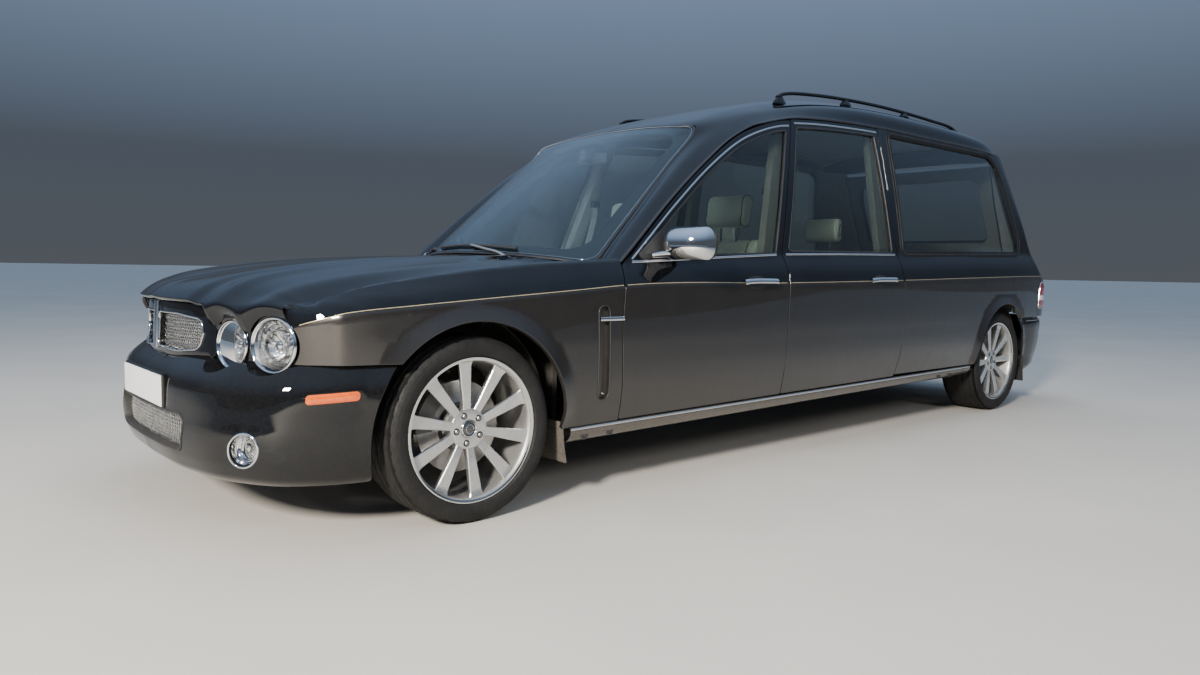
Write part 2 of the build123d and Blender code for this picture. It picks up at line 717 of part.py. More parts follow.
def seat_block(outline, x, width, shift=0.0):
    with BuildPart() as b:
        with BuildSketch(Plane.YZ.offset(x - width / 2)):
            with BuildLine():
                Polyline(*from_axle([(a + shift, z) for a, z in outline]), close=True)
            make_face()
        extrude(amount=width)
    return b.part


with BuildPart() as front_seats:
    for x in (400, -400):
        add(seat_block(CUSHION, x, 500))
        add(seat_block(BACK, x, 500))
        add(seat_block(HEAD_POST, x, 120))
        add(seat_block(HEAD, x, 280))
front_seats.part.label = "front_seats"
export_step(front_seats.part, "parts/front_seats.step")

REAR_SHIFT = 870.0
with BuildPart() as rear_seat:
    add(seat_block([(1480, 300), (1900, 300), (1900, 520), (1490, 560)], 0, 1380, REAR_SHIFT))
    add(seat_block([(1830, 520), (1960, 520), (2040, 1080), (1960, 1090)], 0, 1380, REAR_SHIFT))
    for x in (-400, 400):
        add(seat_block([(1975, 1070), (1995, 1070), (1995, 1140), (1975, 1140)], x, 120, REAR_SHIFT))
        add(seat_block([(1945, 1130), (2020, 1120), (2030, 1270), (1960, 1280)], x, 260, REAR_SHIFT))
rear_seat.part.label = "rear_seat"
export_step(rear_seat.part, "parts/rear_seat.step")

with BuildPart() as dashboard:
    with BuildSketch(Plane.YZ.offset(-700)):
        with BuildLine():
            Polyline(*from_axle([(760, 640), (980, 640), (1080, 720), (1090, 900), (1000, 965), (760, 940)]), close=True)
        make_face()
    extrude(amount=1400)
    # steering column
    with BuildSketch(Plane(origin=(-390, 1060 - MID, 850), x_dir=(1, 0, 0), z_dir=(0, cos(radians(24)), sin(radians(24))))):
        Circle(32)
    extrude(amount=70)
    # centre console down to the floor
    with Locations((0, 1150 - MID, 440)):
        Box(240, 700, 330)
dashboard.part.label = "dashboard"
export_step(dashboard.part, "parts/dashboard.step")

WHEEL_TILT = 24.0
COLUMN_TOP = (-390.0, 1060.0 + 80 * cos(radians(WHEEL_TILT)), 850.0 + 80 * sin(radians(WHEEL_TILT)))
with BuildPart() as steering_wheel:
    wheel_plane = Plane(
        origin=(COLUMN_TOP[0], COLUMN_TOP[1] - MID, COLUMN_TOP[2]),
        x_dir=(1, 0, 0),
        z_dir=(0, cos(radians(WHEEL_TILT)), sin(radians(WHEEL_TILT))),
    )
    with BuildSketch(wheel_plane):
        Circle(70)
        with PolarLocations(105, 4):
            Rectangle(170, 34)
        Circle(190)
        Circle(168, mode=Mode.SUBTRACT)
        Circle(72)
        with PolarLocations(120, 4):
            Rectangle(120, 34)
    extrude(amount=26)
steering_wheel.part.label = "steering_wheel"
export_step(steering_wheel.part, "parts/steering_wheel.step")

# Roof rails: length, z of the rail's underside; feet stand on the roof's shoulder
RAIL_X = 600.0
RAIL = [(2075, 1852), (2140, 1888), (3000, 1948), (3700, 1944), (4060, 1926)]
with BuildPart() as roof_rails:
    for side in (1, -1):
        with BuildPart(mode=Mode.PRIVATE) as rail:
            with BuildSketch(Plane.YZ.offset(side * RAIL_X - 13)):
                with BuildLine():
                    top = offset_line(RAIL, 20)
                    Polyline(*from_axle(RAIL + top[::-1]), close=True)
                make_face()
            extrude(amount=26)
            for a, z in ((2600, 1925), (3300, 1940), (3900, 1930)):
                with Locations((side * RAIL_X, a - MID, z)):
                    Box(22, 60, 50)
        add(rail.part)
    # the feet end on the roof's skin
    add(roof.part, mode=Mode.SUBTRACT)
roof_rails.part.label = "roof_rails"
export_step(roof_rails.part, "parts/roof_rails.step")

# Door mirrors, seen from above: the head's outline, and its size at each height
MIRROR_PLAN = [(905, 950), (1060, 985), (1092, 1050), (1085, 1100), (1050, 1104), (898, 1045)]
MIRROR_CENTRE = (995.0, 1035.0)
MIRROR_SIZE = [(976, 0.72), (1000, 0.92), (1050, 1.0), (1095, 0.93), (1122, 0.66)]

for side, hand in ((1, "left"), (-1, "right")):
    with BuildPart() as mirror:
        cx, cy = MIRROR_CENTRE
        for z, k in MIRROR_SIZE:
            with BuildSketch(Plane.XY.offset(z)):
                with BuildLine():
                    pts = [(cx + k * (x - cx), cy + k * (a - cy)) for x, a in MIRROR_PLAN]
                    Polyline(*[(side * x, a - MID) for x, a in pts], close=True)
                make_face()
        loft(ruled=True)
        # foot on the door's waist
        with Locations((side * 905, 1000 - MID, 992)):
            Box(60, 60, 34)
        add(front_doors[hand], mode=Mode.SUBTRACT)
    mirror.part.label = f"mirror_{hand}"
    export_step(mirror.part, f"parts/mirror_{hand}.step")

# Running gear
SPOKES = 10
for front, x_c, y_c, place in ((True, FRONT_X, Y_FRONT, "front"), (False, REAR_X, Y_REAR, "rear")):
    for side, hand in ((1, "left"), (-1, "right")):
        with BuildPart() as tyre:
            with BuildSketch(Plane.XY.offset(0)):
                with BuildLine():
                    h = TYRE_W / 2
                    pts = [
                        (x_c - h + 18, RIM_R + 0.5), (x_c - h, RIM_R + 25), (x_c - h, RIM_R + 52),
                        (x_c - h + 16, TYRE_R - 8), (x_c - h + 40, TYRE_R), (x_c + h - 40, TYRE_R),
                        (x_c + h - 16, TYRE_R - 8), (x_c + h, RIM_R + 52), (x_c + h, RIM_R + 25),
                        (x_c + h - 18, RIM_R + 0.5),
                    ]
                    Polyline(*[(side * x, r) for x, r in pts], close=True)
                make_face()
            revolve(axis=Axis.X)
        tyre_part = tyre.part.moved(Location((0, y_c, TYRE_R)))
        tyre_part.label = f"tyre_{place}_{hand}"
        export_step(tyre_part, f"parts/tyre_{place}_{hand}.step")

        with BuildPart() as rim:
            # barrel
            with BuildSketch(Plane.YZ.offset(side * (x_c - 112))):
                Circle(RIM_R)
                Circle(RIM_R - 16, mode=Mode.SUBTRACT)
            extrude(amount=side * 224)
            # spokes and hub
            with BuildSketch(Plane.YZ.offset(side * (x_c + 58))):
                Circle(72)
                for i in range(SPOKES):
                    with BuildLine(mode=Mode.PRIVATE) as spoke:
                        Polyline((40, -26), (250, -14), (250, 14), (40, 26), close=True)
                    make_face(spoke.edges().sort_by(Axis.X), mode=Mode.PRIVATE)
                with PolarLocations(150, SPOKES):
                    Rectangle(204, 30)
            extrude(amount=side * 32)
            # hub, and the brake disc on it
            with BuildSketch(Plane.YZ.offset(side * (x_c - 28))):
                Circle(60)
            extrude(amount=side * 90)
            with BuildSketch(Plane.YZ.offset(side * (x_c - 26))):
                Circle(172)
            extrude(amount=side * 28)
            # bearing bore, blind
            with BuildSketch(Plane.YZ.offset(side * (x_c - 40))):
                Circle(20.3)
            extrude(amount=side * 72, mode=Mode.SUBTRACT)
        rim_part = rim.part.moved(Location((0, y_c, TYRE_R)))
        rim_part.label = f"wheel_{place}_{hand}"
        export_step(rim_part, f"parts/wheel_{place}_{hand}.step")

for side, hand in ((1, "left"), (-1, "right")):
    with BuildPart() as knuckle:
        with Locations((side * KINGPIN_X, Y_FRONT, 345)):
            Cylinder(29, 230)
        with BuildSketch(Plane.YZ.offset(side * KINGPIN_X)):
            with Locations((Y_FRONT, TYRE_R)):
                Circle(20)
        extrude(amount=side * (FRONT_X + 26 - KINGPIN_X))
        with BuildSketch(Plane.YZ.offset(side * (KINGPIN_X - 10))):
            with Locations((Y_FRONT, TYRE_R)):
                Circle(48)
        extrude(amount=side * 50)
    knuckle.part.label = f"knuckle_{hand}"
    export_step(knuckle.part, f"parts/knuckle_{hand}.step")

with BuildPart() as front_subframe:
    with Locations((0, Y_FRONT, 245)):
        Box(860, 300, 70)
    for side in (1, -1):
        # lower arm, and the upper arm on the longitudinal rail
        with Locations((side * 500, Y_FRONT, 245)):
            Box(304, 90, 30)
        with Locations((side * (428 + 651) / 2, Y_FRONT, 440)):
            Box(651 - 428, 60, 24)
front_subframe.part.label = "front_subframe"
export_step(front_subframe.part, "parts/front_subframe.step")

with BuildPart() as rear_axle:
    with BuildSketch(Plane.YZ.offset(-720)):
        with Locations((Y_REAR, TYRE_R)):
            Circle(38)
    extrude(amount=1440)
    with BuildSketch(Plane.YZ.offset(-(REAR_X + 26))):
        with Locations((Y_REAR, TYRE_R)):
            Circle(20)
    extrude(amount=2 * (REAR_X + 26))
    with Locations((0, Y_REAR, TYRE_R)):
        Box(300, 260, 150)
    for side in (1, -1):
        with Locations((side * 440, Y_REAR, 315)):
            Box(70, 700, 60)
rear_axle.part.label = "rear_axle"
export_step(rear_axle.part, "parts/rear_axle.step")

# Exhaust: two pipes, silencers and tail pipes. x, length from, length to, z, width, height
with BuildPart() as exhaust:
    for side in (1, -1):
        with BuildSketch(Plane.XZ.offset(-(700 - MID))):
            with Locations((side * 170, 205)):
                Circle(28)
        extrude(amount=-(5150 - 700))
        for a, n in ((1900, 620), (4850, 420)):
            with Locations((side * 190, a - MID, 205)):
                Box(190, n, 76)
        with Locations((side * 330, 5090 - MID, 205)):
            Box(300, 46, 46)
        with BuildSketch(Plane.XZ.offset(-(5080 - MID))):
            with Locations((side * 470, 215)):
                Circle(32)
        extrude(amount=-160)
exhaust.part.label = "exhaust"
export_step(exhaust.part, "parts/exhaust.step")
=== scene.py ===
import bpy
import numpy as np
from math import atan2, cos, degrees, hypot, pi, radians, sin, sqrt, tan
from mathutils import Matrix, Vector
from mathutils.geometry import delaunay_2d_cdt


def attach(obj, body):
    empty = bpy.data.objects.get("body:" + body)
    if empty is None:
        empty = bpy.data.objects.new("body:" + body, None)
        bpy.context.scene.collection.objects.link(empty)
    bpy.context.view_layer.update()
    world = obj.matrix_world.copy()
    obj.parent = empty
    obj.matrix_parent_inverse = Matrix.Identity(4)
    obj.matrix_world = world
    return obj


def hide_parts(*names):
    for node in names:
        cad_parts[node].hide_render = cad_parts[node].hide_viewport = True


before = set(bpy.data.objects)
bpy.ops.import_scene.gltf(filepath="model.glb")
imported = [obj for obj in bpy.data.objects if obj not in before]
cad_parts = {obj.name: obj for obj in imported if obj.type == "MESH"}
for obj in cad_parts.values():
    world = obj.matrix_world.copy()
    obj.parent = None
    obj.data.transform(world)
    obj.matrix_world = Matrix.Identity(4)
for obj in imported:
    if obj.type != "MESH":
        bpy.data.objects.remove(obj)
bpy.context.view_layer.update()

# Metres, +Z up, front to -Y. Lengths along the car are read from the front axle, positive to the rear, as "ya".
MID = 2.225
WHEELBASE = 4.290
TYRE_R = 0.3435
SIDES = ((1, "left"), (-1, "right"))


# ---------------------------------------------------------------- smooth tables

def basis(xs, x):
    """Weights that read a smooth curve through knots xs at x: one row a query, one column a knot."""
    xs = np.asarray(xs, float)
    x = np.asarray(x, float).ravel()
    n = len(xs)
    d = np.diff(xs)
    tangent = np.zeros((n, n))
    for i in range(n):
        if i == 0:
            tangent[0, 0], tangent[0, 1] = -1 / d[0], 1 / d[0]
        elif i == n - 1:
            tangent[i, i - 1], tangent[i, i] = -1 / d[-1], 1 / d[-1]
        else:
            a, b = d[i - 1], d[i]
            tangent[i, i - 1] += -b / (a * (a + b))
            tangent[i, i] += b / (a * (a + b)) - a / (b * (a + b))
            tangent[i, i + 1] += a / (b * (a + b))
    xc = np.clip(x, xs[0], xs[-1])
    i = np.clip(np.searchsorted(xs, xc, side="right") - 1, 0, n - 2)
    t = (xc - xs[i]) / d[i]
    rows = np.arange(len(x))
    w = np.zeros((len(x), n))
    w[rows, i] += (1 + 2 * t) * (1 - t) ** 2
    w[rows, i + 1] += t * t * (3 - 2 * t)
    w += (t * (1 - t) ** 2 * d[i])[:, None] * tangent[i] + (t * t * (t - 1) * d[i])[:, None] * tangent[i + 1]
    over = x - xc
    w += np.where(over < 0, over, 0)[:, None] * tangent[0] + np.where(over > 0, over, 0)[:, None] * tangent[-1]
    return w


def table(rows, x):
    """Columns after the first of a table, read smoothly at x."""
    rows = np.asarray(rows, float)
    return basis(rows[:, 0], x) @ rows[:, 1:]


def along(zs, xs, z):
    """Smooth profile whose knots differ for each query: zs and xs are (query, knot)."""
    d = np.diff(zs, axis=1)
    s = np.diff(xs, axis=1) / d
    m = np.zeros_like(xs)
    m[:, 0], m[:, -1] = s[:, 0], s[:, -1]
    for k in range(1, zs.shape[1] - 1):
        a, b = d[:, k - 1], d[:, k]
        m[:, k] = (s[:, k - 1] * b + s[:, k] * a) / (a + b)
    rows = np.arange(len(z))
    k = np.clip((z[:, None] >= zs).sum(1) - 1, 0, zs.shape[1] - 2)
    t = np.clip((z - zs[rows, k]) / d[rows, k], 0, 1)
    h = d[rows, k]
    out = (1 + 2 * t) * (1 - t) ** 2 * xs[rows, k] + t * t * (3 - 2 * t) * xs[rows, k + 1]
    out += t * (1 - t) ** 2 * h * m[rows, k] + t * t * (t - 1) * h * m[rows, k + 1]
    below, above = np.minimum(z - zs[:, 0], 0), np.maximum(z - zs[:, -1], 0)
    return out + below * m[:, 0] + above * m[:, -1]


class Net:
    """A smooth surface through a net of points: us are its columns' knots, vs its rows'."""

    def __init__(self, us, vs, points):
        self.us, self.vs, self.p = us, vs, np.asarray(points, float)

    def __call__(self, u, v):
        return np.einsum("ni,nj,jik->nk", basis(self.us, u), basis(self.vs, v), self.p)


def smooth(t):
    t = np.clip(t, 0, 1)
    return t * t * (3 - 2 * t)


# ---------------------------------------------------------------- body side

# ya, z and x of: bottom, lower crease, broadest, swage, shoulder, waist
SIDE = [
    (-0.640, 0.300, 0.760, 0.430, 0.775, 0.620, 0.782, 0.738, 0.790, 0.760, 0.780, 0.790, 0.752),
    (-0.560, 0.300, 0.800, 0.430, 0.822, 0.620, 0.834, 0.760, 0.836, 0.792, 0.822, 0.820, 0.780),
    (-0.440, 0.300, 0.846, 0.430, 0.868, 0.620, 0.880, 0.780, 0.878, 0.815, 0.862, 0.850, 0.810),
    (-0.250, 0.300, 0.880, 0.430, 0.900, 0.620, 0.909, 0.797, 0.903, 0.835, 0.886, 0.880, 0.830),
    (0.100, 0.303, 0.898, 0.430, 0.918, 0.620, 0.926, 0.823, 0.914, 0.868, 0.896, 0.920, 0.860),
    (0.450, 0.307, 0.900, 0.430, 0.925, 0.620, 0.931, 0.848, 0.921, 0.896, 0.904, 0.948, 0.876),
    (0.690, 0.313, 0.900, 0.430, 0.925, 0.620, 0.932, 0.866, 0.922, 0.915, 0.905, 0.960, 0.882),
    (1.820, 0.326, 0.902, 0.440, 0.926, 0.625, 0.932, 0.879, 0.925, 0.950, 0.908, 1.020, 0.880),
    (2.930, 0.338, 0.902, 0.452, 0.926, 0.630, 0.932, 0.896, 0.926, 0.972, 0.908, 1.046, 0.880),
    (3.600, 0.345, 0.902, 0.459, 0.926, 0.635, 0.932, 0.910, 0.926, 0.990, 0.908, 1.070, 0.877),
    (4.290, 0.352, 0.900, 0.465, 0.924, 0.640, 0.930, 0.924, 0.924, 1.008, 0.904, 1.094, 0.872),
    (4.620, 0.356, 0.888, 0.468, 0.912, 0.643, 0.919, 0.930, 0.913, 1.014, 0.892, 1.098, 0.862),
    (4.950, 0.360, 0.860, 0.470, 0.888, 0.645, 0.897, 0.932, 0.890, 1.018, 0.866, 1.100, 0.838),
]
TOP_Z, TOP_X = 1.790, 0.727
ARCH_R = 0.402
FLARE_R = 0.458


def swage_z(ya):
    return table(SIDE, ya)[:, 6]


def side_x(ya, z):
    """Half width of the body side at a length and a height."""
    ya, z = np.asarray(ya, float).ravel(), np.asarray(z, float).ravel()
    r = table(SIDE, ya)
    zb, xb, zc, xc, zm, xm, zs, xs, zh, xh, zw, xw = r.T
    upper = along(np.stack([zs, zh, zw], 1), np.stack([xs, xh, xw], 1), z)
    lean = (xh - xs) / (zh - zs)
    # below the swage the side turns over from the shoulder's lean within 34 mm
    zt = zs - 0.034
    lower = along(np.stack([zb, zc, zm, zt], 1), np.stack([xb, xc, xm, xs + 0.0035], 1), z)
    t = np.clip((z - zt) / 0.034, 0, 1)
    m0 = (xs + 0.0035 - xm) / (zt - zm)
    turn = ((1 + 2 * t) * (1 - t) ** 2 * (xs + 0.0035) + t * t * (3 - 2 * t) * xs
            + 0.034 * (t * (1 - t) ** 2 * m0 + t * t * (t - 1) * lean))
    tg = np.clip((z - zw) / (TOP_Z - zw), 0, 1.1)
    glass = xw + (TOP_X - xw) * tg + 0.010 * np.sin(pi * np.clip(tg, 0, 1))
    x = np.where(z < zt, lower, np.where(z < zs, turn, np.where(z < zw, upper, glass)))
    # wheel arch flares
    for yc in (0.0, WHEELBASE):
        rr = np.hypot(ya - yc, z - TYRE_R)
        t = np.clip((FLARE_R - rr) / (FLARE_R - ARCH_R), 0, 1.3)
        x = x + 0.017 * t ** 1.15 * np.clip((z - 0.30) / 0.08, 0, 1)
    return x


def side_map(side):
    def f(uv):
        x = side_x(uv[:, 0], uv[:, 1])
        return np.stack([side * x, uv[:, 0] - MID, uv[:, 1]], 1)
    return f


# Rear corner. z, length where it leaves the side, length of the rear face at x CORNER_X
CORNER_X = 0.610
CORNER = [
    (0.300, 4.86, 5.185), (0.640, 4.88, 5.205), (0.800, 4.88, 5.215), (0.900, 4.87, 5.195), (0.960, 4.85, 5.130),
    (1.040, 4.82, 5.050), (1.160, 4.76, 4.950), (1.300, 4.68, 4.880), (1.450, 4.59, 4.800), (1.650, 4.49, 4.715),
    (1.790, 4.42, 4.660),
]
TURN_S, TURN_L = 4.40, 0.80


def quarter_map(side, push=0.0):
    """The body side and its turn round the rear corner: u is length up to TURN_S, then on round the corner."""
    def f(uv):
        u, z = uv[:, 0], uv[:, 1]
        ys, yr = table(CORNER, z).T
        l1 = ys - TURN_S
        xs = side_x(ys, z)
        l2 = 0.92 * (np.abs(xs - CORNER_X) + (yr - ys)) * 0.86
        d = (u - TURN_S) / TURN_L * (l1 + l2)
        w = np.clip((d - l1) / l2, 0, 1.2)
        p = np.clip(w, 0, 1) ** 1.25
        q = (1 - np.clip(w, 0, 1)) ** 1.25
        th = pi / 2 * p / (p + q)
        cx = CORNER_X + (xs - CORNER_X) * np.cos(th) ** 0.8 - np.maximum(w - 1, 0) * l2
        cy = ys + (yr - ys) * np.sin(th) ** 0.8
        y = np.where(u < TURN_S, u, TURN_S + d)
        x = side_x(np.minimum(y, 4.95), z)
        x = np.where((u < TURN_S) | (d < l1), x, cx)
        y = np.where((u < TURN_S) | (d < l1), y, cy)
        if push:
            x = x + push * np.where(d > l1, np.cos(th), 1.0)
            y = y + push * np.where(d > l1, np.sin(th), 0.0)
        return np.stack([side * x, y - MID, z], 1)
    return f


# ---------------------------------------------------------------- flat shapes

def rounded(points, radii, n=5):
    """A closed outline whose corners are rounded: radii is one number or one a corner."""
    pts = np.asarray(points, float)
    if np.isscalar(radii):
        radii = [radii] * len(pts)
    out = []
    for i, p in enumerate(pts):
        a, b = pts[i - 1] - p, pts[(i + 1) % len(pts)] - p
        la, lb = np.hypot(*a), np.hypot(*b)
        a, b = a / la, b / lb
        half = 0.5 * np.arccos(np.clip(a @ b, -1, 1))
        r = radii[i]
        cut = min(r / tan(half), 0.48 * la, 0.48 * lb) if r > 0 and half < pi / 2 - 0.02 else 0
        if cut <= 0:
            out.append(p)
            continue
        r = cut * tan(half)
        mid = (a + b) / np.hypot(*(a + b))
        c = p + mid * r / sin(half)
        s, e = p + a * cut - c, p + b * cut - c
        t0, t1 = atan2(s[1], s[0]), atan2(e[1], e[0])
        dt = (t1 - t0 + pi) % (2 * pi) - pi
        for k in range(n + 1):
            t = t0 + dt * k / n
            out.append(c + r * np.array([cos(t), sin(t)]))
    return np.array(out)


def dense(points, step, closed=True):
    """The same line with no stretch longer than step."""
    pts = np.asarray(points, float)
    out = []
    n = len(pts)
    for i in range(n if closed else n - 1):
        a, b = pts[i], pts[(i + 1) % n]
        k = max(1, int(np.ceil(np.linalg.norm(b - a) / step)))
        out += [a + (b - a) * j / k for j in range(k)]
    if not closed:
        out.append(pts[-1])
    out = np.array(out)
    keep = np.ones(len(out), bool)
    gap = np.linalg.norm(np.roll(out, -1, 0) - out, axis=1)
    keep[:-1] = gap[:-1] > 1e-4
    if closed:
        keep[-1] = gap[-1] > 1e-4
    return out[keep]


def curve(points, n=8, closed=False):
    """A smooth line through a few points."""
    pts = np.asarray(points, float)
    if closed:
        pts = np.vstack([pts[-2:], pts, pts[:3]])
    t = np.concatenate([[0], np.cumsum(np.linalg.norm(np.diff(pts, axis=0), axis=1) ** 0.75)])
    lo, hi = (t[2], t[-3]) if closed else (t[0], t[-1])
    q = np.linspace(lo, hi, n * len(points) + 1)
    out = basis(t, q) @ pts
    return out[:-1] if closed else out


def area(loop):
    x, y = loop[:, 0], loop[:, 1]
    return 0.5 * np.sum(x * np.roll(y, -1) - np.roll(x, -1) * y)


def inside(loop, p):
    a, b = loop, np.roll(loop, -1, 0)
    px, py = p[:, 0:1], p[:, 1:2]
    cross = (a[None, :, 1] > py) != (b[None, :, 1] > py)
    with np.errstate(divide="ignore", invalid="ignore"):
        xi = (b[None, :, 0] - a[None, :, 0]) * (py - a[None, :, 1]) / (b[None, :, 1] - a[None, :, 1]) + a[None, :, 0]
    return (cross & (px < xi)).sum(1) % 2 == 1


def far_from(loop, p, least, closed=True):
    a = loop if closed else loop[:-1]
    b = np.roll(loop, -1, 0) if closed else loop[1:]
    d = b - a
    l2 = np.maximum((d ** 2).sum(1), 1e-12)
    t = np.clip(((p[:, None, :] - a[None]) * d[None]).sum(2) / l2[None], 0, 1)
    near = a[None] + t[..., None] * d[None]
    return ((p[:, None, :] - near) ** 2).sum(2).min(1) > least ** 2


# ---------------------------------------------------------------- meshes

PIECES = {}


def as_object(name, verts, faces, mats, index=None, normals=None, flat=False):
    me = bpy.data.meshes.new(name)
    me.from_pydata([tuple(map(float, v)) for v in verts], [], [tuple(map(int, f)) for f in faces])
    for m in (mats if isinstance(mats, (list, tuple)) else [mats]):
        me.materials.append(m)
    me.polygons.foreach_set("use_smooth", [not flat] * len(me.polygons))
    if index is not None:
        me.polygons.foreach_set("material_index", [int(i) for i in index])
    me.update()
    if normals is not None:
        me.normals_split_custom_set_from_vertices([tuple(map(float, n)) for n in normals])
    ob = bpy.data.objects.new(name, me)
    bpy.context.scene.collection.objects.link(ob)
    PIECES[name] = ob
    return ob


def unit(v):
    return v / np.maximum(np.linalg.norm(v, axis=-1, keepdims=True), 1e-12)


def frame_at(f, uv, sign, e=0.0015):
    du, dv = np.array([[e, 0]]), np.array([[0, e]])
    pu, pv = f(uv + du) - f(uv - du), f(uv + dv) - f(uv - dv)
    return unit(np.cross(pu, pv)) * sign


def panel_data(f, outline, holes=(), step=0.03, edge=0.012, lines=(), depth=0.02, lip=0.0025, sign=1, zone=None, inner=1,
               rim=None):
    """A closed shell on the surface f, cut to an outline with rolled edges. zone gives each face's material."""
    loops = [dense(outline, edge)] + [dense(h, edge) for h in holes]
    if area(loops[0]) < 0:
        loops[0] = loops[0][::-1]
    for k in range(1, len(loops)):
        if area(loops[k]) > 0:
            loops[k] = loops[k][::-1]
    lo, hi = loops[0].min(0), loops[0].max(0)
    gx = np.arange(lo[0] + step / 2, hi[0], step)
    gy = np.arange(lo[1] + step / 2, hi[1], step * 0.87)
    grid = np.array([(x + (step / 2 if j % 2 else 0), y) for j, y in enumerate(gy) for x in gx])
    keep = inside(loops[0], grid) & far_from(loops[0], grid, 0.55 * step)
    for h in loops[1:]:
        keep &= ~inside(h, grid) & far_from(h, grid, 0.55 * step)
    feature_points, feature_edges = [], []
    base = sum(len(l) for l in loops)
    for line in lines:
        line = dense(np.asarray(line, float), step * 0.7, closed=False)
        ok = inside(loops[0], line) & far_from(loops[0], line, 0.25 * edge)
        for h in loops[1:]:
            ok &= ~inside(h, line) & far_from(h, line, 0.25 * edge)
        for i in range(len(line)):
            if ok[i]:
                if i and ok[i - 1]:
                    feature_edges.append((base + len(feature_points) - 1, base + len(feature_points)))
                feature_points.append(line[i])
        if len(grid):
            keep &= far_from(line, grid, 0.30 * step, closed=False)
    pts, edges = [], []
    for l in loops:
        n = len(l)
        edges += [(len(pts) + i, len(pts) + (i + 1) % n) for i in range(n)]
        pts += list(l)
    pts += feature_points
    edges += feature_edges
    pts += list(grid[keep]) if len(grid) else []
    co, _, tris, *_ = delaunay_2d_cdt([Vector((float(p[0]), float(p[1]))) for p in pts], edges, [], 0, 1e-6)
    uv = np.array([(c.x, c.y) for c in co])
    tris = np.array([t for t in tris if len(t) == 3])
    mid = uv[tris].mean(1)
    ok = inside(loops[0], mid)
    for h in loops[1:]:
        ok &= ~inside(h, mid)
    tris = tris[ok]
    a, b, c = uv[tris[:, 0]], uv[tris[:, 1]], uv[tris[:, 2]]
    turn = (b[:, 0] - a[:, 0]) * (c[:, 1] - a[:, 1]) - (b[:, 1] - a[:, 1]) * (c[:, 0] - a[:, 0])
    tris[turn < 0] = tris[turn < 0][:, ::-1]
    tris = tris[np.abs(turn) > 1e-10]
    if sign < 0:
        tris = tris[:, ::-1]
    p = f(uv)
    n = frame_at(f, uv, sign)
    deep = np.broadcast_to(depth(uv) if callable(depth) else depth, (len(uv),))
    verts, normals = [p], [n]
    faces = [tuple(t) for t in tris]
    mid = uv[tris].mean(1)
    index = list(zone(mid)) if zone is not None else [0] * len(tris)
    m = len(uv)
    if inner is not None:
        verts.append(p - n * deep[:, None])
        normals.append(-n)
        faces += [tuple(t[::-1] + m) for t in tris]
        index += [inner] * len(tris)
        m *= 2
    # rolled edges, by the loops' own points
    look = {tuple(np.round(q, 5)): i for i, q in enumerate(uv)}
    for l in loops:
        ids = []
        for q in l:
            i = look.get(tuple(np.round(q, 5)))
            if i is None:
                i = int(((uv - q) ** 2).sum(1).argmin())
            ids.append(i)
        ids = np.array([i for k, i in enumerate(ids) if i != ids[k - 1]])
        count = len(ids)
        pl, nl, dl = p[ids], n[ids], deep[ids]
        t = unit(np.roll(pl, -1, 0) - np.roll(pl, 1, 0))
        b = unit(np.cross(t, nl)) * sign
        rings = [ids]
        for ang in (pi / 5, 2 * pi / 5 * 0.9, pi / 2):
            verts.append(pl - nl * lip * (1 - cos(ang)) + b * lip * sin(ang))
            normals.append(nl * cos(ang) + b * sin(ang))
            rings.append(np.arange(m, m + count))
            m += count
        verts.append(pl + b * lip - nl * np.maximum(dl, lip)[:, None])
        normals.append(b)
        rings.append(np.arange(m, m + count))
        m += count
        if inner is not None:
            rings.append(ids + len(uv))
        zones = list(zone(uv[ids])) if zone is not None else [0] * count
        for k, (r0, r1) in enumerate(zip(rings, rings[1:])):
            for i in range(count):
                j = (i + 1) % count
                q = (r0[i], r1[i], r1[j], r0[j])
                faces.append(q if sign > 0 else q[::-1])
                index.append((inner if inner is not None else 0) if k == 4 else (zones[i] if rim is None or k < 3 else rim))
    return np.vstack(verts), faces, index, np.vstack(normals)


def panel(name, f, outline, mats, **kw):
    v, fa, ix, n = panel_data(f, outline, **kw)
    ix = [min(i, (len(mats) if isinstance(mats, (list, tuple)) else 1) - 1) for i in ix]
    return as_object(name, v, fa, mats, ix, n)


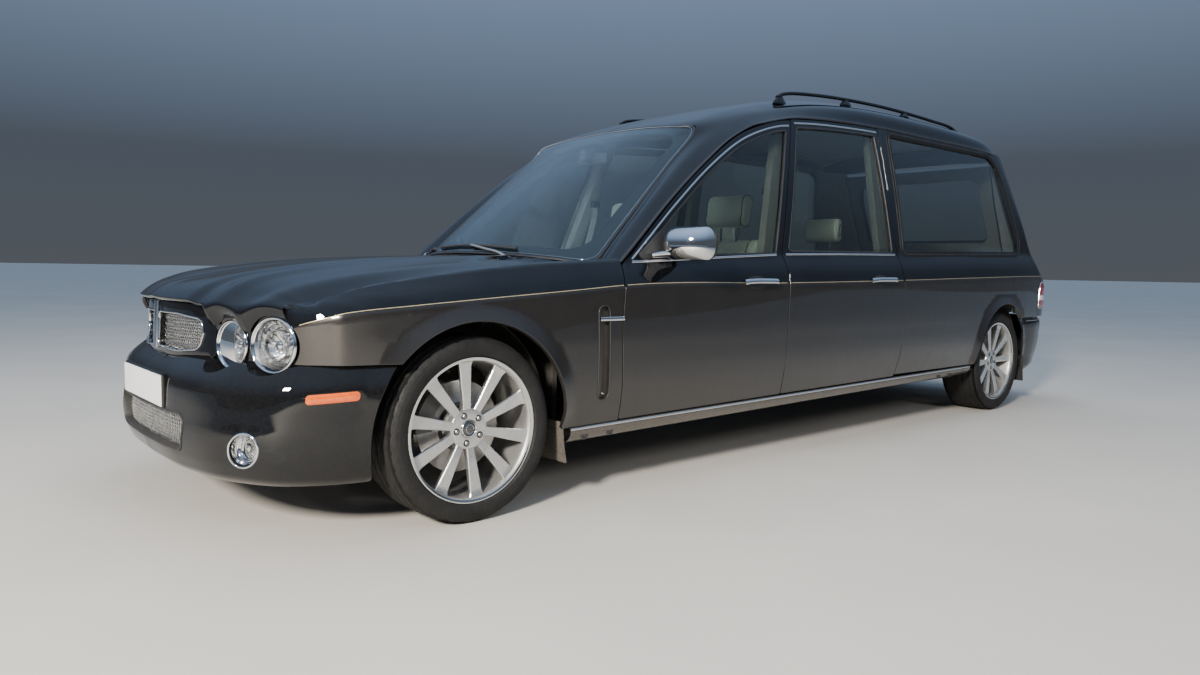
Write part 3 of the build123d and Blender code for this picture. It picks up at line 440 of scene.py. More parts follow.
def grid_data(p, depth=0.0, flip=False, closed_u=False, normals=None):
    """A surface from rows of points p[row][col], made a closed shell when depth is given."""
    p = np.asarray(p, float)
    r, c = p.shape[:2]
    if normals is None:
        if closed_u:
            pu = np.roll(p, -1, 1) - np.roll(p, 1, 1)
        else:
            pu = np.gradient(p, axis=1)
        pv = np.gradient(p, axis=0)
        normals = unit(np.cross(pu, pv))
    if flip:
        normals = -normals
    faces = []
    for i in range(r - 1):
        for j in range(c if closed_u else c - 1):
            k = (j + 1) % c
            q = (i * c + j, i * c + k, (i + 1) * c + k, (i + 1) * c + j)
            faces.append(q[::-1] if flip else q)
    verts, norms = [p.reshape(-1, 3)], [normals.reshape(-1, 3)]
    if depth:
        verts.append((p - normals * depth).reshape(-1, 3))
        norms.append(-normals.reshape(-1, 3))
        m = r * c
        faces += [tuple(i + m for i in q[::-1]) for q in list(faces)]
        loops = []
        if closed_u:
            loops = [list(range(c)), [(r - 1) * c + j for j in range(c)][::-1]]
        else:
            loops = [list(range(c)) + [i * c + c - 1 for i in range(1, r)] + [(r - 1) * c + j for j in range(c - 2, -1, -1)]
                     + [i * c for i in range(r - 2, 0, -1)]]
        extra_v, extra_n, base = [], [], 2 * m
        flatp, flatn = p.reshape(-1, 3), normals.reshape(-1, 3)
        for l in loops:
            k = len(l)
            a = flatp[l]
            t = unit(np.roll(a, -1, 0) - np.roll(a, 1, 0))
            b = unit(np.cross(t, flatn[l])) * (-1 if flip else 1)
            extra_v += [a, a - flatn[l] * depth]
            extra_n += [b, b]
            for i in range(k):
                j = (i + 1) % k
                q = (base + i, base + k + i, base + k + j, base + j)
                faces.append(q[::-1] if flip else q)
            base += 2 * k
        verts += extra_v
        norms += extra_n
    return np.vstack(verts), faces, np.vstack(norms)


def join_data(parts):
    """Several (verts, faces, normals) as one."""
    vs, fs, ns, base = [], [], [], 0
    for v, f, n in parts:
        vs.append(v)
        ns.append(n)
        fs += [tuple(i + base for i in q) for q in f]
        base += len(v)
    return np.vstack(vs), fs, np.vstack(ns)


def sweep_data(path, across, out, profile, closed=False, caps=True):
    """A profile of (across, out) points carried along a path. across and out are unit vectors at each path point."""
    path, across, out = (np.asarray(a, float) for a in (path, across, out))
    prof = np.asarray(profile, float)
    n, k = len(path), len(prof)
    p = path[:, None] + across[:, None] * prof[None, :, 0:1] + out[:, None] * prof[None, :, 1:2]
    t = np.roll(prof, -1, 0) - np.roll(prof, 1, 0)
    nn = np.stack([t[:, 1], -t[:, 0]], 1)
    nn = nn / np.maximum(np.linalg.norm(nn, axis=1, keepdims=True), 1e-9)
    if area(prof) < 0:
        nn = -nn
    norm = unit(across[:, None] * nn[None, :, 0:1] + out[:, None] * nn[None, :, 1:2])
    faces = []
    for i in range(n if closed else n - 1):
        a, b = i * k, ((i + 1) % n) * k
        for j in range(k):
            m = (j + 1) % k
            faces.append((a + j, a + m, b + m, b + j))
    verts, norms = [p.reshape(-1, 3)], [norm.reshape(-1, 3)]
    if caps and not closed:
        base = n * k
        for end, sgn in ((0, -1), (n - 1, 1)):
            d = path[min(end + 1, n - 1)] - path[max(end - 1, 0)]
            d = d / np.linalg.norm(d)
            verts.append(p[end])
            norms.append(np.repeat([d * sgn], k, 0))
            ring = tuple(range(base, base + k))
            faces.append(ring[::-1] if end == 0 else ring)
            base += k
    v, nv = np.vstack(verts), np.vstack(norms)
    # faces wind outwards
    f0 = faces[0]
    fn = np.cross(v[f0[1]] - v[f0[0]], v[f0[2]] - v[f0[0]])
    if fn @ nv[f0[0]] < 0:
        faces = [q[::-1] for q in faces]
    return v, faces, nv


def surface_line(f, uv, sign, closed=False):
    """A line on a surface with the unit vectors that lie across it and out of it."""
    uv = np.asarray(uv, float)
    p, n = f(uv), frame_at(f, uv, sign)
    if closed:
        t = unit(np.roll(p, -1, 0) - np.roll(p, 1, 0))
    else:
        t = unit(np.gradient(p, axis=0))
    return p, unit(np.cross(n, t)) * sign, n


def strip(name, f, uv, sign, mat, width, height, lift=0.0, closed=False, offset=0.0, parts=None):
    """A half-round strip along a line on a surface."""
    p, a, n = surface_line(f, uv, sign, closed)
    w = width / 2
    prof = [(-w, -0.002), (-w, height * 0.35), (-0.78 * w, height * 0.8), (-0.35 * w, height), (0.35 * w, height),
            (0.78 * w, height * 0.8), (w, height * 0.35), (w, -0.002)]
    prof = [(q + offset, h + lift) for q, h in prof]
    data = sweep_data(p, a, n, prof, closed)
    if parts is not None:
        parts.append(data)
        return None
    return as_object(name, data[0], data[1], mat, None, data[2])


def revolve_data(profile, n=96, centre=(0, 0, 0), side=1, a0=0.0, a1=2 * pi):
    """A profile of (x along the axle, radius) turned about X."""
    prof = np.asarray(profile, float)
    full = abs(a1 - a0 - 2 * pi) < 1e-6
    th = a0 + (a1 - a0) * np.arange(n if full else n + 1) / n
    p = np.zeros((len(prof), len(th), 3))
    p[..., 0] = side * prof[:, 0:1]
    p[..., 1] = prof[:, 1:2] * np.cos(th)
    p[..., 2] = prof[:, 1:2] * np.sin(th)
    t = np.gradient(prof, axis=0)
    nn = np.stack([-t[:, 1], t[:, 0]], 1)
    nn = nn / np.maximum(np.linalg.norm(nn, axis=1, keepdims=True), 1e-9)
    norm = np.zeros_like(p)
    norm[..., 0] = side * nn[:, 0:1]
    norm[..., 1] = nn[:, 1:2] * np.cos(th)
    norm[..., 2] = nn[:, 1:2] * np.sin(th)
    faces = []
    r, c = len(prof), len(th)
    for i in range(r - 1):
        for j in range(c if full else c - 1):
            k = (j + 1) % c
            q = (i * c + j, i * c + k, (i + 1) * c + k, (i + 1) * c + j)
            faces.append(q)
    v, nv = p.reshape(-1, 3) + np.asarray(centre), norm.reshape(-1, 3)
    f0 = faces[len(faces) // 2]
    fn = np.cross(v[f0[1]] - v[f0[0]], v[f0[3]] - v[f0[0]])
    if fn @ nv[f0[0]] < 0:
        faces = [q[::-1] for q in faces]
    return v, faces, nv


def box_data(lo, hi, bevel=0.0):
    """A box with its edges cut by bevel."""
    lo, hi = np.asarray(lo, float), np.asarray(hi, float)
    b = min(bevel, 0.45 * (hi - lo).min())
    if b <= 0:
        b = 1e-5
    verts, norms, faces = [], [], []
    c, h = (lo + hi) / 2, (hi - lo) / 2
    corner = {}
    for sx in (-1, 1):
        for sy in (-1, 1):
            for sz in (-1, 1):
                s = np.array([sx, sy, sz])
                for ax in range(3):
                    q = h - b
                    q = q.copy()
                    q[ax] = h[ax]
                    corner[(sx, sy, sz, ax)] = len(verts)
                    verts.append(c + s * q)
                    d = np.zeros(3)
                    d[ax] = s[ax]
                    norms.append(d)
    for ax in range(3):
        o = [i for i in range(3) if i != ax]
        for sg in (-1, 1):
            ring = []
            for s1, s2 in ((-1, -1), (1, -1), (1, 1), (-1, 1)):
                s = [0, 0, 0]
                s[ax], s[o[0]], s[o[1]] = sg, s1, s2
                ring.append(corner[(*s, ax)])
            faces.append(ring)
            for s1 in (-1, 1):
                # edge between ax and o[0], along o[1]
                s = [0, 0, 0]
                s[ax], s[o[0]] = sg, s1
                if ax < o[0]:
                    ring = []
                    for s2, which in ((-1, ax), (-1, o[0]), (1, o[0]), (1, ax)):
                        s[o[1]] = s2
                        ring.append(corner[(*s, which)])
                    faces.append(ring)
                s = [0, 0, 0]
                s[ax], s[o[1]] = sg, s1
                if ax < o[1]:
                    ring = []
                    for s2, which in ((-1, ax), (-1, o[1]), (1, o[1]), (1, ax)):
                        s[o[0]] = s2
                        ring.append(corner[(*s, which)])
                    faces.append(ring)
    for sx in (-1, 1):
        for sy in (-1, 1):
            for sz in (-1, 1):
                faces.append([corner[(sx, sy, sz, k)] for k in range(3)])
    v, nv = np.array(verts), np.array(norms)
    out = []
    for q in faces:
        fn = np.cross(v[q[1]] - v[q[0]], v[q[2]] - v[q[0]])
        out.append(tuple(q) if fn @ (v[q].mean(0) - c) > 0 else tuple(q[::-1]))
    return v, out, nv


def moved(data, matrix=None, shift=(0, 0, 0)):
    v, f, n = data
    if matrix is not None:
        m = np.asarray(matrix, float)
        v, n = v @ m.T, n @ m.T
        if np.linalg.det(m) < 0:
            f = [q[::-1] for q in f]
    return v + np.asarray(shift), f, n


def mirror_x(data):
    return moved(data, np.diag([-1.0, 1, 1]))


def both(data):
    return join_data([data, mirror_x(data)])


def make(name, data, mat, body, replaces=(), index=None, flat=False):
    ob = as_object(name, data[0], data[1], mat, index, data[2] if not flat else None, flat)
    return put(ob, body, replaces)


def put(ob, body, replaces=()):
    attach(ob, body)
    if replaces:
        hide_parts(*([replaces] if isinstance(replaces, str) else replaces))
    return ob


# ---------------------------------------------------------------- materials

def surface(name, colour, rough, metal=0.0, coat=0.0, coat_rough=0.03, ior=1.5, vary=0.08, vary_scale=5.0, detail=4.0,
            rough_vary=0.05, rough_scale=18.0, bump=0.0, bump_scale=200.0, bump_dist=0.0006, flake=0.0, dust=0.0,
            dust_top=0.75, sheen=0.0, colour2=None, stretch=None, spec=None, second_bump=None, aniso=0.0,
            dust_colour=(0.30, 0.25, 0.19)):
    """A finish whose colour, roughness and relief vary by noise in the car's own space."""
    m = bpy.data.materials.new(name)
    m.use_nodes = True
    nt = m.node_tree
    nt.nodes.clear()
    out = nt.nodes.new("ShaderNodeOutputMaterial")
    p = nt.nodes.new("ShaderNodeBsdfPrincipled")
    nt.links.new(p.outputs[0], out.inputs[0])
    p.inputs["Metallic"].default_value = metal
    p.inputs["IOR"].default_value = ior
    p.inputs["Coat Weight"].default_value = coat
    p.inputs["Coat Roughness"].default_value = coat_rough
    if spec is not None:
        p.inputs["Specular IOR Level"].default_value = spec
    if sheen:
        p.inputs["Sheen Weight"].default_value = sheen
        p.inputs["Sheen Roughness"].default_value = 0.4
    if aniso:
        p.inputs["Anisotropic"].default_value = aniso
    tc = nt.nodes.new("ShaderNodeTexCoord")
    where = tc.outputs["Object"]
    if stretch is not None:
        mp = nt.nodes.new("ShaderNodeMapping")
        mp.inputs["Scale"].default_value = stretch
        nt.links.new(where, mp.inputs["Vector"])
        where = mp.outputs[0]

    def noise(scale, det=3.0, vec=None):
        n = nt.nodes.new("ShaderNodeTexNoise")
        n.inputs["Scale"].default_value = scale
        n.inputs["Detail"].default_value = det
        nt.links.new(vec or where, n.inputs["Vector"])
        return n.outputs["Fac"]

    def span(value, lo, hi, f0=0.3, f1=0.7):
        r = nt.nodes.new("ShaderNodeMapRange")
        for k, x in (("From Min", f0), ("From Max", f1), ("To Min", lo), ("To Max", hi)):
            r.inputs[k].default_value = x
        nt.links.new(value, r.inputs["Value"])
        return r.outputs[0]

    def mix(fac, a, b):
        x = nt.nodes.new("ShaderNodeMix")
        x.data_type = "RGBA"
        for sock, v in ((x.inputs[0], fac), (x.inputs[6], a), (x.inputs[7], b)):
            if isinstance(v, (tuple, list)):
                sock.default_value = (*v[:3], 1)
            elif isinstance(v, float):
                sock.default_value = v
            else:
                nt.links.new(v, sock)
        return x.outputs[2]

    def maths(op, a, b):
        x = nt.nodes.new("ShaderNodeMath")
        x.operation = op
        for sock, v in ((x.inputs[0], a), (x.inputs[1], b)):
            if isinstance(v, float):
                sock.default_value = v
            else:
                nt.links.new(v, sock)
        return x.outputs[0]

    dark = tuple(c * (1 - vary) for c in colour)
    light = tuple(min(1, c * (1 + vary)) for c in (colour2 or colour))
    col = mix(span(noise(vary_scale, detail), 0.0, 1.0), dark, light)
    if flake:
        v = nt.nodes.new("ShaderNodeTexVoronoi")
        v.inputs["Scale"].default_value = 900
        nt.links.new(where, v.inputs["Vector"])
        fl = nt.nodes.new("ShaderNodeSeparateColor")
        nt.links.new(v.outputs["Color"], fl.inputs[0])
        col = mix(span(fl.outputs[0], 0.0, flake, 0.2, 1.0), col, tuple(min(1, c * 2.6 + 0.02) for c in colour))
    rg = span(noise(rough_scale, 3.0), max(0.0, rough - rough_vary), rough + rough_vary)
    if dust:
        geo = nt.nodes.new("ShaderNodeNewGeometry")
        sp = nt.nodes.new("ShaderNodeSeparateXYZ")
        nt.links.new(geo.outputs["Position"], sp.inputs[0])
        low = span(sp.outputs[2], 1.0, 0.12, 0.15, dust_top)
        speck = span(noise(140.0, 6.0, tc.outputs["Object"]), 0.0, 1.0, 0.42, 0.72)
        film = span(noise(7.0, 3.0, tc.outputs["Object"]), 0.25, 0.8)
        k = maths("MULTIPLY", maths("MULTIPLY", low, maths("ADD", maths("MULTIPLY", speck, 0.6), maths("MULTIPLY", film, 0.4))), dust)
        col = mix(k, col, dust_colour)
        rg = maths("ADD", rg, maths("MULTIPLY", k, 0.5))
    nt.links.new(col, p.inputs["Base Color"])
    nt.links.new(rg, p.inputs["Roughness"])
    if bump:
        b = nt.nodes.new("ShaderNodeBump")
        b.inputs["Strength"].default_value = bump
        b.inputs["Distance"].default_value = bump_dist
        nt.links.new(noise(bump_scale, 3.0), b.inputs["Height"])
        last = b
        if second_bump:
            kind, scale, strength, dist = second_bump
            b2 = nt.nodes.new("ShaderNodeBump")
            b2.inputs["Strength"].default_value = strength
            b2.inputs["Distance"].default_value = dist
            if kind == "voronoi":
                v = nt.nodes.new("ShaderNodeTexVoronoi")
                v.inputs["Scale"].default_value = scale
                nt.links.new(where, v.inputs["Vector"])
                nt.links.new(v.outputs["Distance"], b2.inputs["Height"])
            else:
                nt.links.new(noise(scale, 5.0), b2.inputs["Height"])
            nt.links.new(b.outputs[0], b2.inputs["Normal"])
            last = b2
        nt.links.new(last.outputs[0], p.inputs["Normal"])
    return m


def glass(name, tint, rough=0.0, ior=1.45):
    """Clear glass that lets the lamps' light through."""
    m = bpy.data.materials.new(name)
    m.use_nodes = True
    nt = m.node_tree
    nt.nodes.clear()
    out = nt.nodes.new("ShaderNodeOutputMaterial")
    p = nt.nodes.new("ShaderNodeBsdfPrincipled")
    p.inputs["Transmission Weight"].default_value = 1.0
    p.inputs["IOR"].default_value = ior
    tc = nt.nodes.new("ShaderNodeTexCoord")
    n = nt.nodes.new("ShaderNodeTexNoise")
    n.inputs["Scale"].default_value = 2.5
    nt.links.new(tc.outputs["Object"], n.inputs["Vector"])
    x = nt.nodes.new("ShaderNodeMix")
    x.data_type = "RGBA"
    x.inputs[6].default_value = (*(c * 0.96 for c in tint), 1)
    x.inputs[7].default_value = (*(min(1, c * 1.03) for c in tint), 1)
    nt.links.new(n.outputs["Fac"], x.inputs[0])
    nt.links.new(x.outputs[2], p.inputs["Base Color"])
    p.inputs["Roughness"].default_value = rough
    t = nt.nodes.new("ShaderNodeBsdfTransparent")
    t.inputs[0].default_value = (*tint, 1)
    lp = nt.nodes.new("ShaderNodeLightPath")
    mx = nt.nodes.new("ShaderNodeMixShader")
    nt.links.new(lp.outputs["Is Shadow Ray"], mx.inputs[0])
    nt.links.new(p.outputs[0], mx.inputs[1])
    nt.links.new(t.outputs[0], mx.inputs[2])
    nt.links.new(mx.outputs[0], out.inputs[0])
    return m


BLACK = surface("black_gloss_paint", (0.0030, 0.0034, 0.0045), 0.30, coat=1.0, coat_rough=0.012, vary=0.25, bump=0.02,
                bump_scale=320, bump_dist=0.0003, rough_vary=0.03, dust=0.02, dust_top=0.9, spec=0.0)
GRAPHITE = surface("graphite_metallic_paint", (0.027, 0.0238, 0.0213), 0.33, metal=0.72, coat=1.0, coat_rough=0.015, vary=0.06,
                   flake=0.25, bump=0.02, bump_scale=320, bump_dist=0.0003, dust=0.05, dust_top=0.8)
BUMPER_BLACK = surface("black_bumper_paint", (0.0030, 0.0034, 0.0042), 0.32, coat=0.9, coat_rough=0.020, vary=0.25, bump=0.02,
                       bump_scale=320, bump_dist=0.0003, rough_vary=0.04, dust=0.035, dust_top=0.85, spec=0.0)
CHROME = surface("bright_chrome", (0.78, 0.78, 0.79), 0.055, metal=1.0, vary=0.04, vary_scale=9, rough_vary=0.03, rough_scale=40,
                 bump=0.015, bump_scale=60)
ALLOY = surface("silver_lacquered_alloy", (0.60, 0.60, 0.58), 0.27, metal=0.9, coat=0.7, coat_rough=0.08, vary=0.07,
                vary_scale=12, flake=0.25, dust=0.22, dust_top=1.2, dust_colour=(0.16, 0.12, 0.09), bump=0.03, bump_scale=500)
ALLOY_DARK = surface("alloy_barrel_lacquer", (0.50, 0.49, 0.46), 0.36, metal=0.85, coat=0.4, coat_rough=0.15, vary=0.14,
                     vary_scale=9, dust=0.45, dust_top=1.2, dust_colour=(0.12, 0.09, 0.07), bump=0.05, bump_scale=300)
RUBBER = surface("tyre_rubber", (0.0095, 0.0095, 0.0095), 0.66, vary=0.25, vary_scale=14, rough_vary=0.1, bump=0.25,
                 bump_scale=420, bump_dist=0.0008, dust=0.10, dust_top=1.2, dust_colour=(0.13, 0.11, 0.09), spec=0.22)
GLASS_RUBBER = surface("glass_surround_rubber", (0.0055, 0.0055, 0.006), 0.58, vary=0.2, rough_vary=0.08, bump=0.08,
                       bump_scale=400, spec=0.28)
SEAL = surface("black_seal_rubber", (0.010, 0.010, 0.011), 0.42, vary=0.2, rough_vary=0.08, bump=0.12, bump_scale=500,
               coat=0.25, coat_rough=0.25)
TRIM = surface("black_moulded_trim", (0.014, 0.014, 0.015), 0.5, vary=0.2, rough_vary=0.08, bump=0.2, bump_scale=650,
               bump_dist=0.0004, dust=0.12)
LINER = surface("arch_liner_plastic", (0.012, 0.012, 0.012), 0.75, vary=0.3, bump=0.35, bump_scale=260, dust=0.4,
                dust_top=1.0)
STEEL = surface("brake_disc_steel", (0.34, 0.33, 0.32), 0.33, metal=1.0, vary=0.1, rough_vary=0.08, bump=0.08,
                bump_scale=90, dust=0.3, dust_top=1.0, dust_colour=(0.14, 0.09, 0.05))
CAST = surface("cast_suspension_metal", (0.075, 0.072, 0.068), 0.6, metal=0.6, vary=0.3, bump=0.3, bump_scale=180, dust=0.35,
               dust_top=1.0)
UNDER = surface("underbody_coating", (0.018, 0.018, 0.018), 0.8, vary=0.3, bump=0.5, bump_scale=160, bump_dist=0.0012,
                dust=0.35, dust_top=0.9)
EXHAUST = surface("exhaust_steel", (0.33, 0.31, 0.28), 0.35, metal=1.0, vary=0.2, bump=0.1, bump_scale=70, dust=0.25)
LEATHER = surface("seat_leather", (0.235, 0.252, 0.215), 0.48, vary=0.10, vary_scale=7, bump=0.35, bump_scale=900,
                  bump_dist=0.0005, second_bump=("voronoi", 420, 0.35, 0.0006), sheen=0.15)
PIPING = surface("black_piping", (0.012, 0.012, 0.012), 0.45, bump=0.2, bump_scale=900, vary=0.2)
DASH = surface("dash_leather", (0.020, 0.020, 0.021), 0.55, bump=0.35, bump_scale=900, vary=0.15,
               second_bump=("voronoi", 380, 0.35, 0.0006))
CARPET = surface("black_carpet", (0.018, 0.018, 0.019), 0.95, bump=0.9, bump_scale=1100, bump_dist=0.002, vary=0.35,
                 vary_scale=60, sheen=0.3)
LINING = surface("roof_lining_cloth", (0.17, 0.17, 0.155), 0.9, bump=0.5, bump_scale=1400, vary=0.08, vary_scale=30, sheen=0.25)
DOOR_CARD = surface("door_card_leather", (0.10, 0.105, 0.095), 0.5, bump=0.3, bump_scale=900, vary=0.1,
                    second_bump=("voronoi", 420, 0.3, 0.0005))
WOOD = surface("deck_veneer", (0.085, 0.032, 0.012), 0.28, coat=0.8, coat_rough=0.06, colour2=(0.20, 0.085, 0.032), vary=0.2,
               vary_scale=1.6, detail=9, stretch=(22.0, 0.9, 22.0), bump=0.05, bump_scale=60)
ORANGE = surface("amber_lens", (0.58, 0.085, 0.0015), 0.14, coat=1.0, coat_rough=0.03, vary=0.12, vary_scale=60, bump=0.3,
                 bump_scale=260, bump_dist=0.001)
RED = surface("red_lens", (0.26, 0.004, 0.005), 0.10, coat=1.0, coat_rough=0.02, vary=0.15, vary_scale=50, bump=0.25,
              bump_scale=220, bump_dist=0.001)
CLEAR_LENS = surface("white_lens", (0.62, 0.60, 0.58), 0.10, coat=1.0, coat_rough=0.02, vary=0.1, bump=0.3, bump_scale=240,
                     bump_dist=0.001)
PLATE = surface("blank_plate_white", (0.82, 0.82, 0.80), 0.35, coat=0.5, coat_rough=0.1, vary=0.03, bump=0.05, bump_scale=700,
                dust=0.12)
PLATE_YELLOW = surface("blank_plate_yellow", (0.80, 0.58, 0.03), 0.35, coat=0.5, coat_rough=0.1, vary=0.04, bump=0.05,
                       bump_scale=700, dust=0.12)
PIN = surface("coachline_gold", (0.42, 0.34, 0.20), 0.35, metal=0.4, coat=0.8, vary=0.1)
WINDOW = glass("cab_window_glass", (0.50, 0.545, 0.52))
DECK_WINDOW_GLASS = glass("deck_window_glass", (0.58, 0.62, 0.60))
SCREEN_GLASS = glass("windscreen_glass", (0.58, 0.68, 0.72))
LAMP_GLASS = glass("lamp_lens_glass", (0.96, 0.97, 0.98), ior=1.26)
MIRROR_GLASS = surface("mirror_glass", (0.85, 0.87, 0.88), 0.01, metal=1.0, vary=0.01, rough_vary=0.005)


# ---------------------------------------------------------------- side panels

def mm(points):
    return np.array(points, float) / 1000.0


FRONT_DOOR = mm([
    (706, 313), (697, 687), (722, 952), (792, 1000), (850, 1057), (1077, 1252), (1338, 1445),
    (1597, 1598), (1798, 1672), (1942, 1710), (2026, 1722), (1806, 1019), (1824, 931),
    (1819, 857), (1808, 690), (1793, 438), (1797, 327)])
FRONT_WINDOW = mm([
    (846, 1000), (1090, 1205), (1345, 1399), (1601, 1549), (1800, 1622), (1905, 1652), (1975, 1664),
    (1768, 1034), (1755, 1024)])
REAR_DOOR = mm([
    (1807, 328), (1803, 438), (1818, 690), (1829, 857), (1834, 931), (1817, 1019), (2038, 1730),
    (2242, 1750), (2705, 1776), (2880, 1782), (2905, 1044), (2928, 904), (2928, 658), (2894, 399), (2884, 339)])
REAR_WINDOW = mm([(1868, 1040), (2072, 1692), (2242, 1708), (2705, 1734), (2838, 1738), (2862, 1058)])
QUARTER_TOP = 1.775
QUARTER = mm([
    (2894, 347), (2904, 399), (2938, 658), (2938, 904), (2915, 1050), (2890, 1782), (3900, 1786), (4400, 1778)])
DECK_WINDOW = mm([(2986, 1062), (3000, 1760), (4310, 1764), (4400, 1724), (4464, 1612), (4622, 1170), (4600, 1108),
                  (4540, 1094)])


def smooth_outline(points, smooth_runs, closed=True, n=6):
    """An outline in which the named runs of points become curves."""
    pts = [np.array(p) for p in points]
    out, i = [], 0
    while i < len(pts):
        run = next((r for r in smooth_runs if r[0] == i), None)
        if run:
            out += list(curve(pts[run[0]:run[1] + 1], n))[:-1]
            i = run[1]
        else:
            out.append(pts[i])
            i += 1
    return np.array(out)


def fillet_ends(points, radius):
    return rounded(points, radius)


F_DOOR = rounded(smooth_outline(FRONT_DOOR, [(0, 2), (2, 3), (4, 10), (11, 15)]), 0.006, 3)
F_WIN = rounded(smooth_outline(FRONT_WINDOW, [(0, 6)]), 0.014, 4)
R_DOOR = rounded(smooth_outline(REAR_DOOR, [(0, 4), (6, 9), (10, 13)]), 0.006, 3)
R_WIN = rounded(smooth_outline(REAR_WINDOW, [(1, 4)]), 0.020, 5)
D_WIN = rounded(DECK_WINDOW, [0.03, 0.035, 0.06, 0.12, 0.20, 0.05, 0.04, 0.04], 7)
F_DOOR_GLASS, R_DOOR_GLASS = F_WIN, R_WIN


def rows_for(lo, hi):
    """Feature lines of the side between two lengths: the swage, its turn, the waist."""
    ya = np.linspace(lo, hi, int((hi - lo) / 0.03) + 2)
    r = table(SIDE, ya)
    out = []
    for col, dz in ((6, 0.0), (6, -0.007), (6, -0.016), (6, -0.034), (6, 0.006), (10, 0.0), (2, 0.0), (2, 0.02), (2, -0.02)):
        out.append(np.stack([ya, r[:, col] + dz], 1))
    return out


def colour_zone(uv):
    """Black above the swage, graphite below."""
    return (uv[:, 1] < swage_z(np.minimum(uv[:, 0], 4.95))).astype(int) * 2


def door_depth(uv):
    zw = table(SIDE, uv[:, 0])[:, 10]
    return 0.024 + (0.070 - 0.024) * smooth((zw - 0.004 - uv[:, 1]) / 0.02)


for side, hand in SIDES:
    f = side_map(side)
    for name, outline, hole in (("front_door", F_DOOR, F_WIN), ("rear_door", R_DOOR, R_WIN)):
        lo, hi = outline[:, 0].min(), outline[:, 0].max()
        ob = panel(f"{name}_{hand}_skin", f, outline, [BLACK, DOOR_CARD, GRAPHITE, TRIM], holes=[hole], step=0.030,
                   edge=0.016, lines=rows_for(lo, hi), depth=door_depth, sign=side, zone=colour_zone, inner=1)
        put(ob, f"{name}_{hand}", f"{name}_{hand}")


def glass_pane(name, f, outline, sign, material, body, replaces, inset=0.010, thick=0.004, step=0.06):
    def g(uv):
        return f(uv) - frame_at(f, uv, sign) * inset
    ob = panel(name, g, outline, material, step=step, edge=0.02, depth=thick, lip=0.001, sign=sign, inner=0)
    return put(ob, body, replaces)


for side, hand in SIDES:
    f = side_map(side)
    glass_pane(f"front_door_window_{hand}", f, F_WIN, side, WINDOW, f"front_door_{hand}", f"front_door_glass_{hand}")
    glass_pane(f"rear_door_window_{hand}", f, R_WIN, side, WINDOW, f"rear_door_{hand}", f"rear_door_glass_{hand}")


# ---------------------------------------------------------------- roof and windscreen pillars

# length, z centre, z at x 0.35, x and z of the shoulder, x and z of the side
ROOF = [
    (1.400, 1.660, 1.656, 0.605, 1.640, 0.660, 1.640),
    (1.600, 1.738, 1.733, 0.602, 1.708, 0.672, 1.690),
    (1.800, 1.800, 1.795, 0.604, 1.768, 0.680, 1.738),
    (2.070, 1.866, 1.861, 0.610, 1.836, 0.688, 1.798),
    (2.400, 1.914, 1.909, 0.616, 1.882, 0.694, 1.844),
    (2.700, 1.941, 1.936, 0.620, 1.909, 0.698, 1.870),
    (3.050, 1.958, 1.953, 0.621, 1.925, 0.699, 1.884),
    (3.400, 1.964, 1.959, 0.621, 1.929, 0.699, 1.888),
    (3.750, 1.963, 1.958, 0.621, 1.928, 0.699, 1.887),
    (4.100, 1.955, 1.950, 0.620, 1.920, 0.698, 1.879),
    (4.300, 1.944, 1.939, 0.619, 1.909, 0.696, 1.868),
]
DOOR_TOP = [(1.574, 1.586), (1.597, 1.598), (1.798, 1.672), (1.942, 1.710), (2.038, 1.726), (2.242, 1.750), (2.705, 1.776),
            (2.880, 1.782), (3.400, 1.784), (3.900, 1.786), (4.300, 1.783), (4.400, 1.778)]


def roof_row(ya_l, ya_m, ya_u, ya_c):
    """Edge, side, shoulder, x 0.35 and centre points, each at its own length."""
    zl = table(DOOR_TOP, [ya_l])[0, 0] + 0.013
    m, u, c = table(ROOF, [ya_m])[0], table(ROOF, [ya_u])[0], table(ROOF, [ya_c])[0]
    return [(float(side_x([ya_l], [zl])[0]) + 0.002, ya_l, zl), (m[4], ya_m, m[5]), (u[2], ya_u, u[3]), (0.35, ya_c, c[1]), (0, ya_c, c[0])]


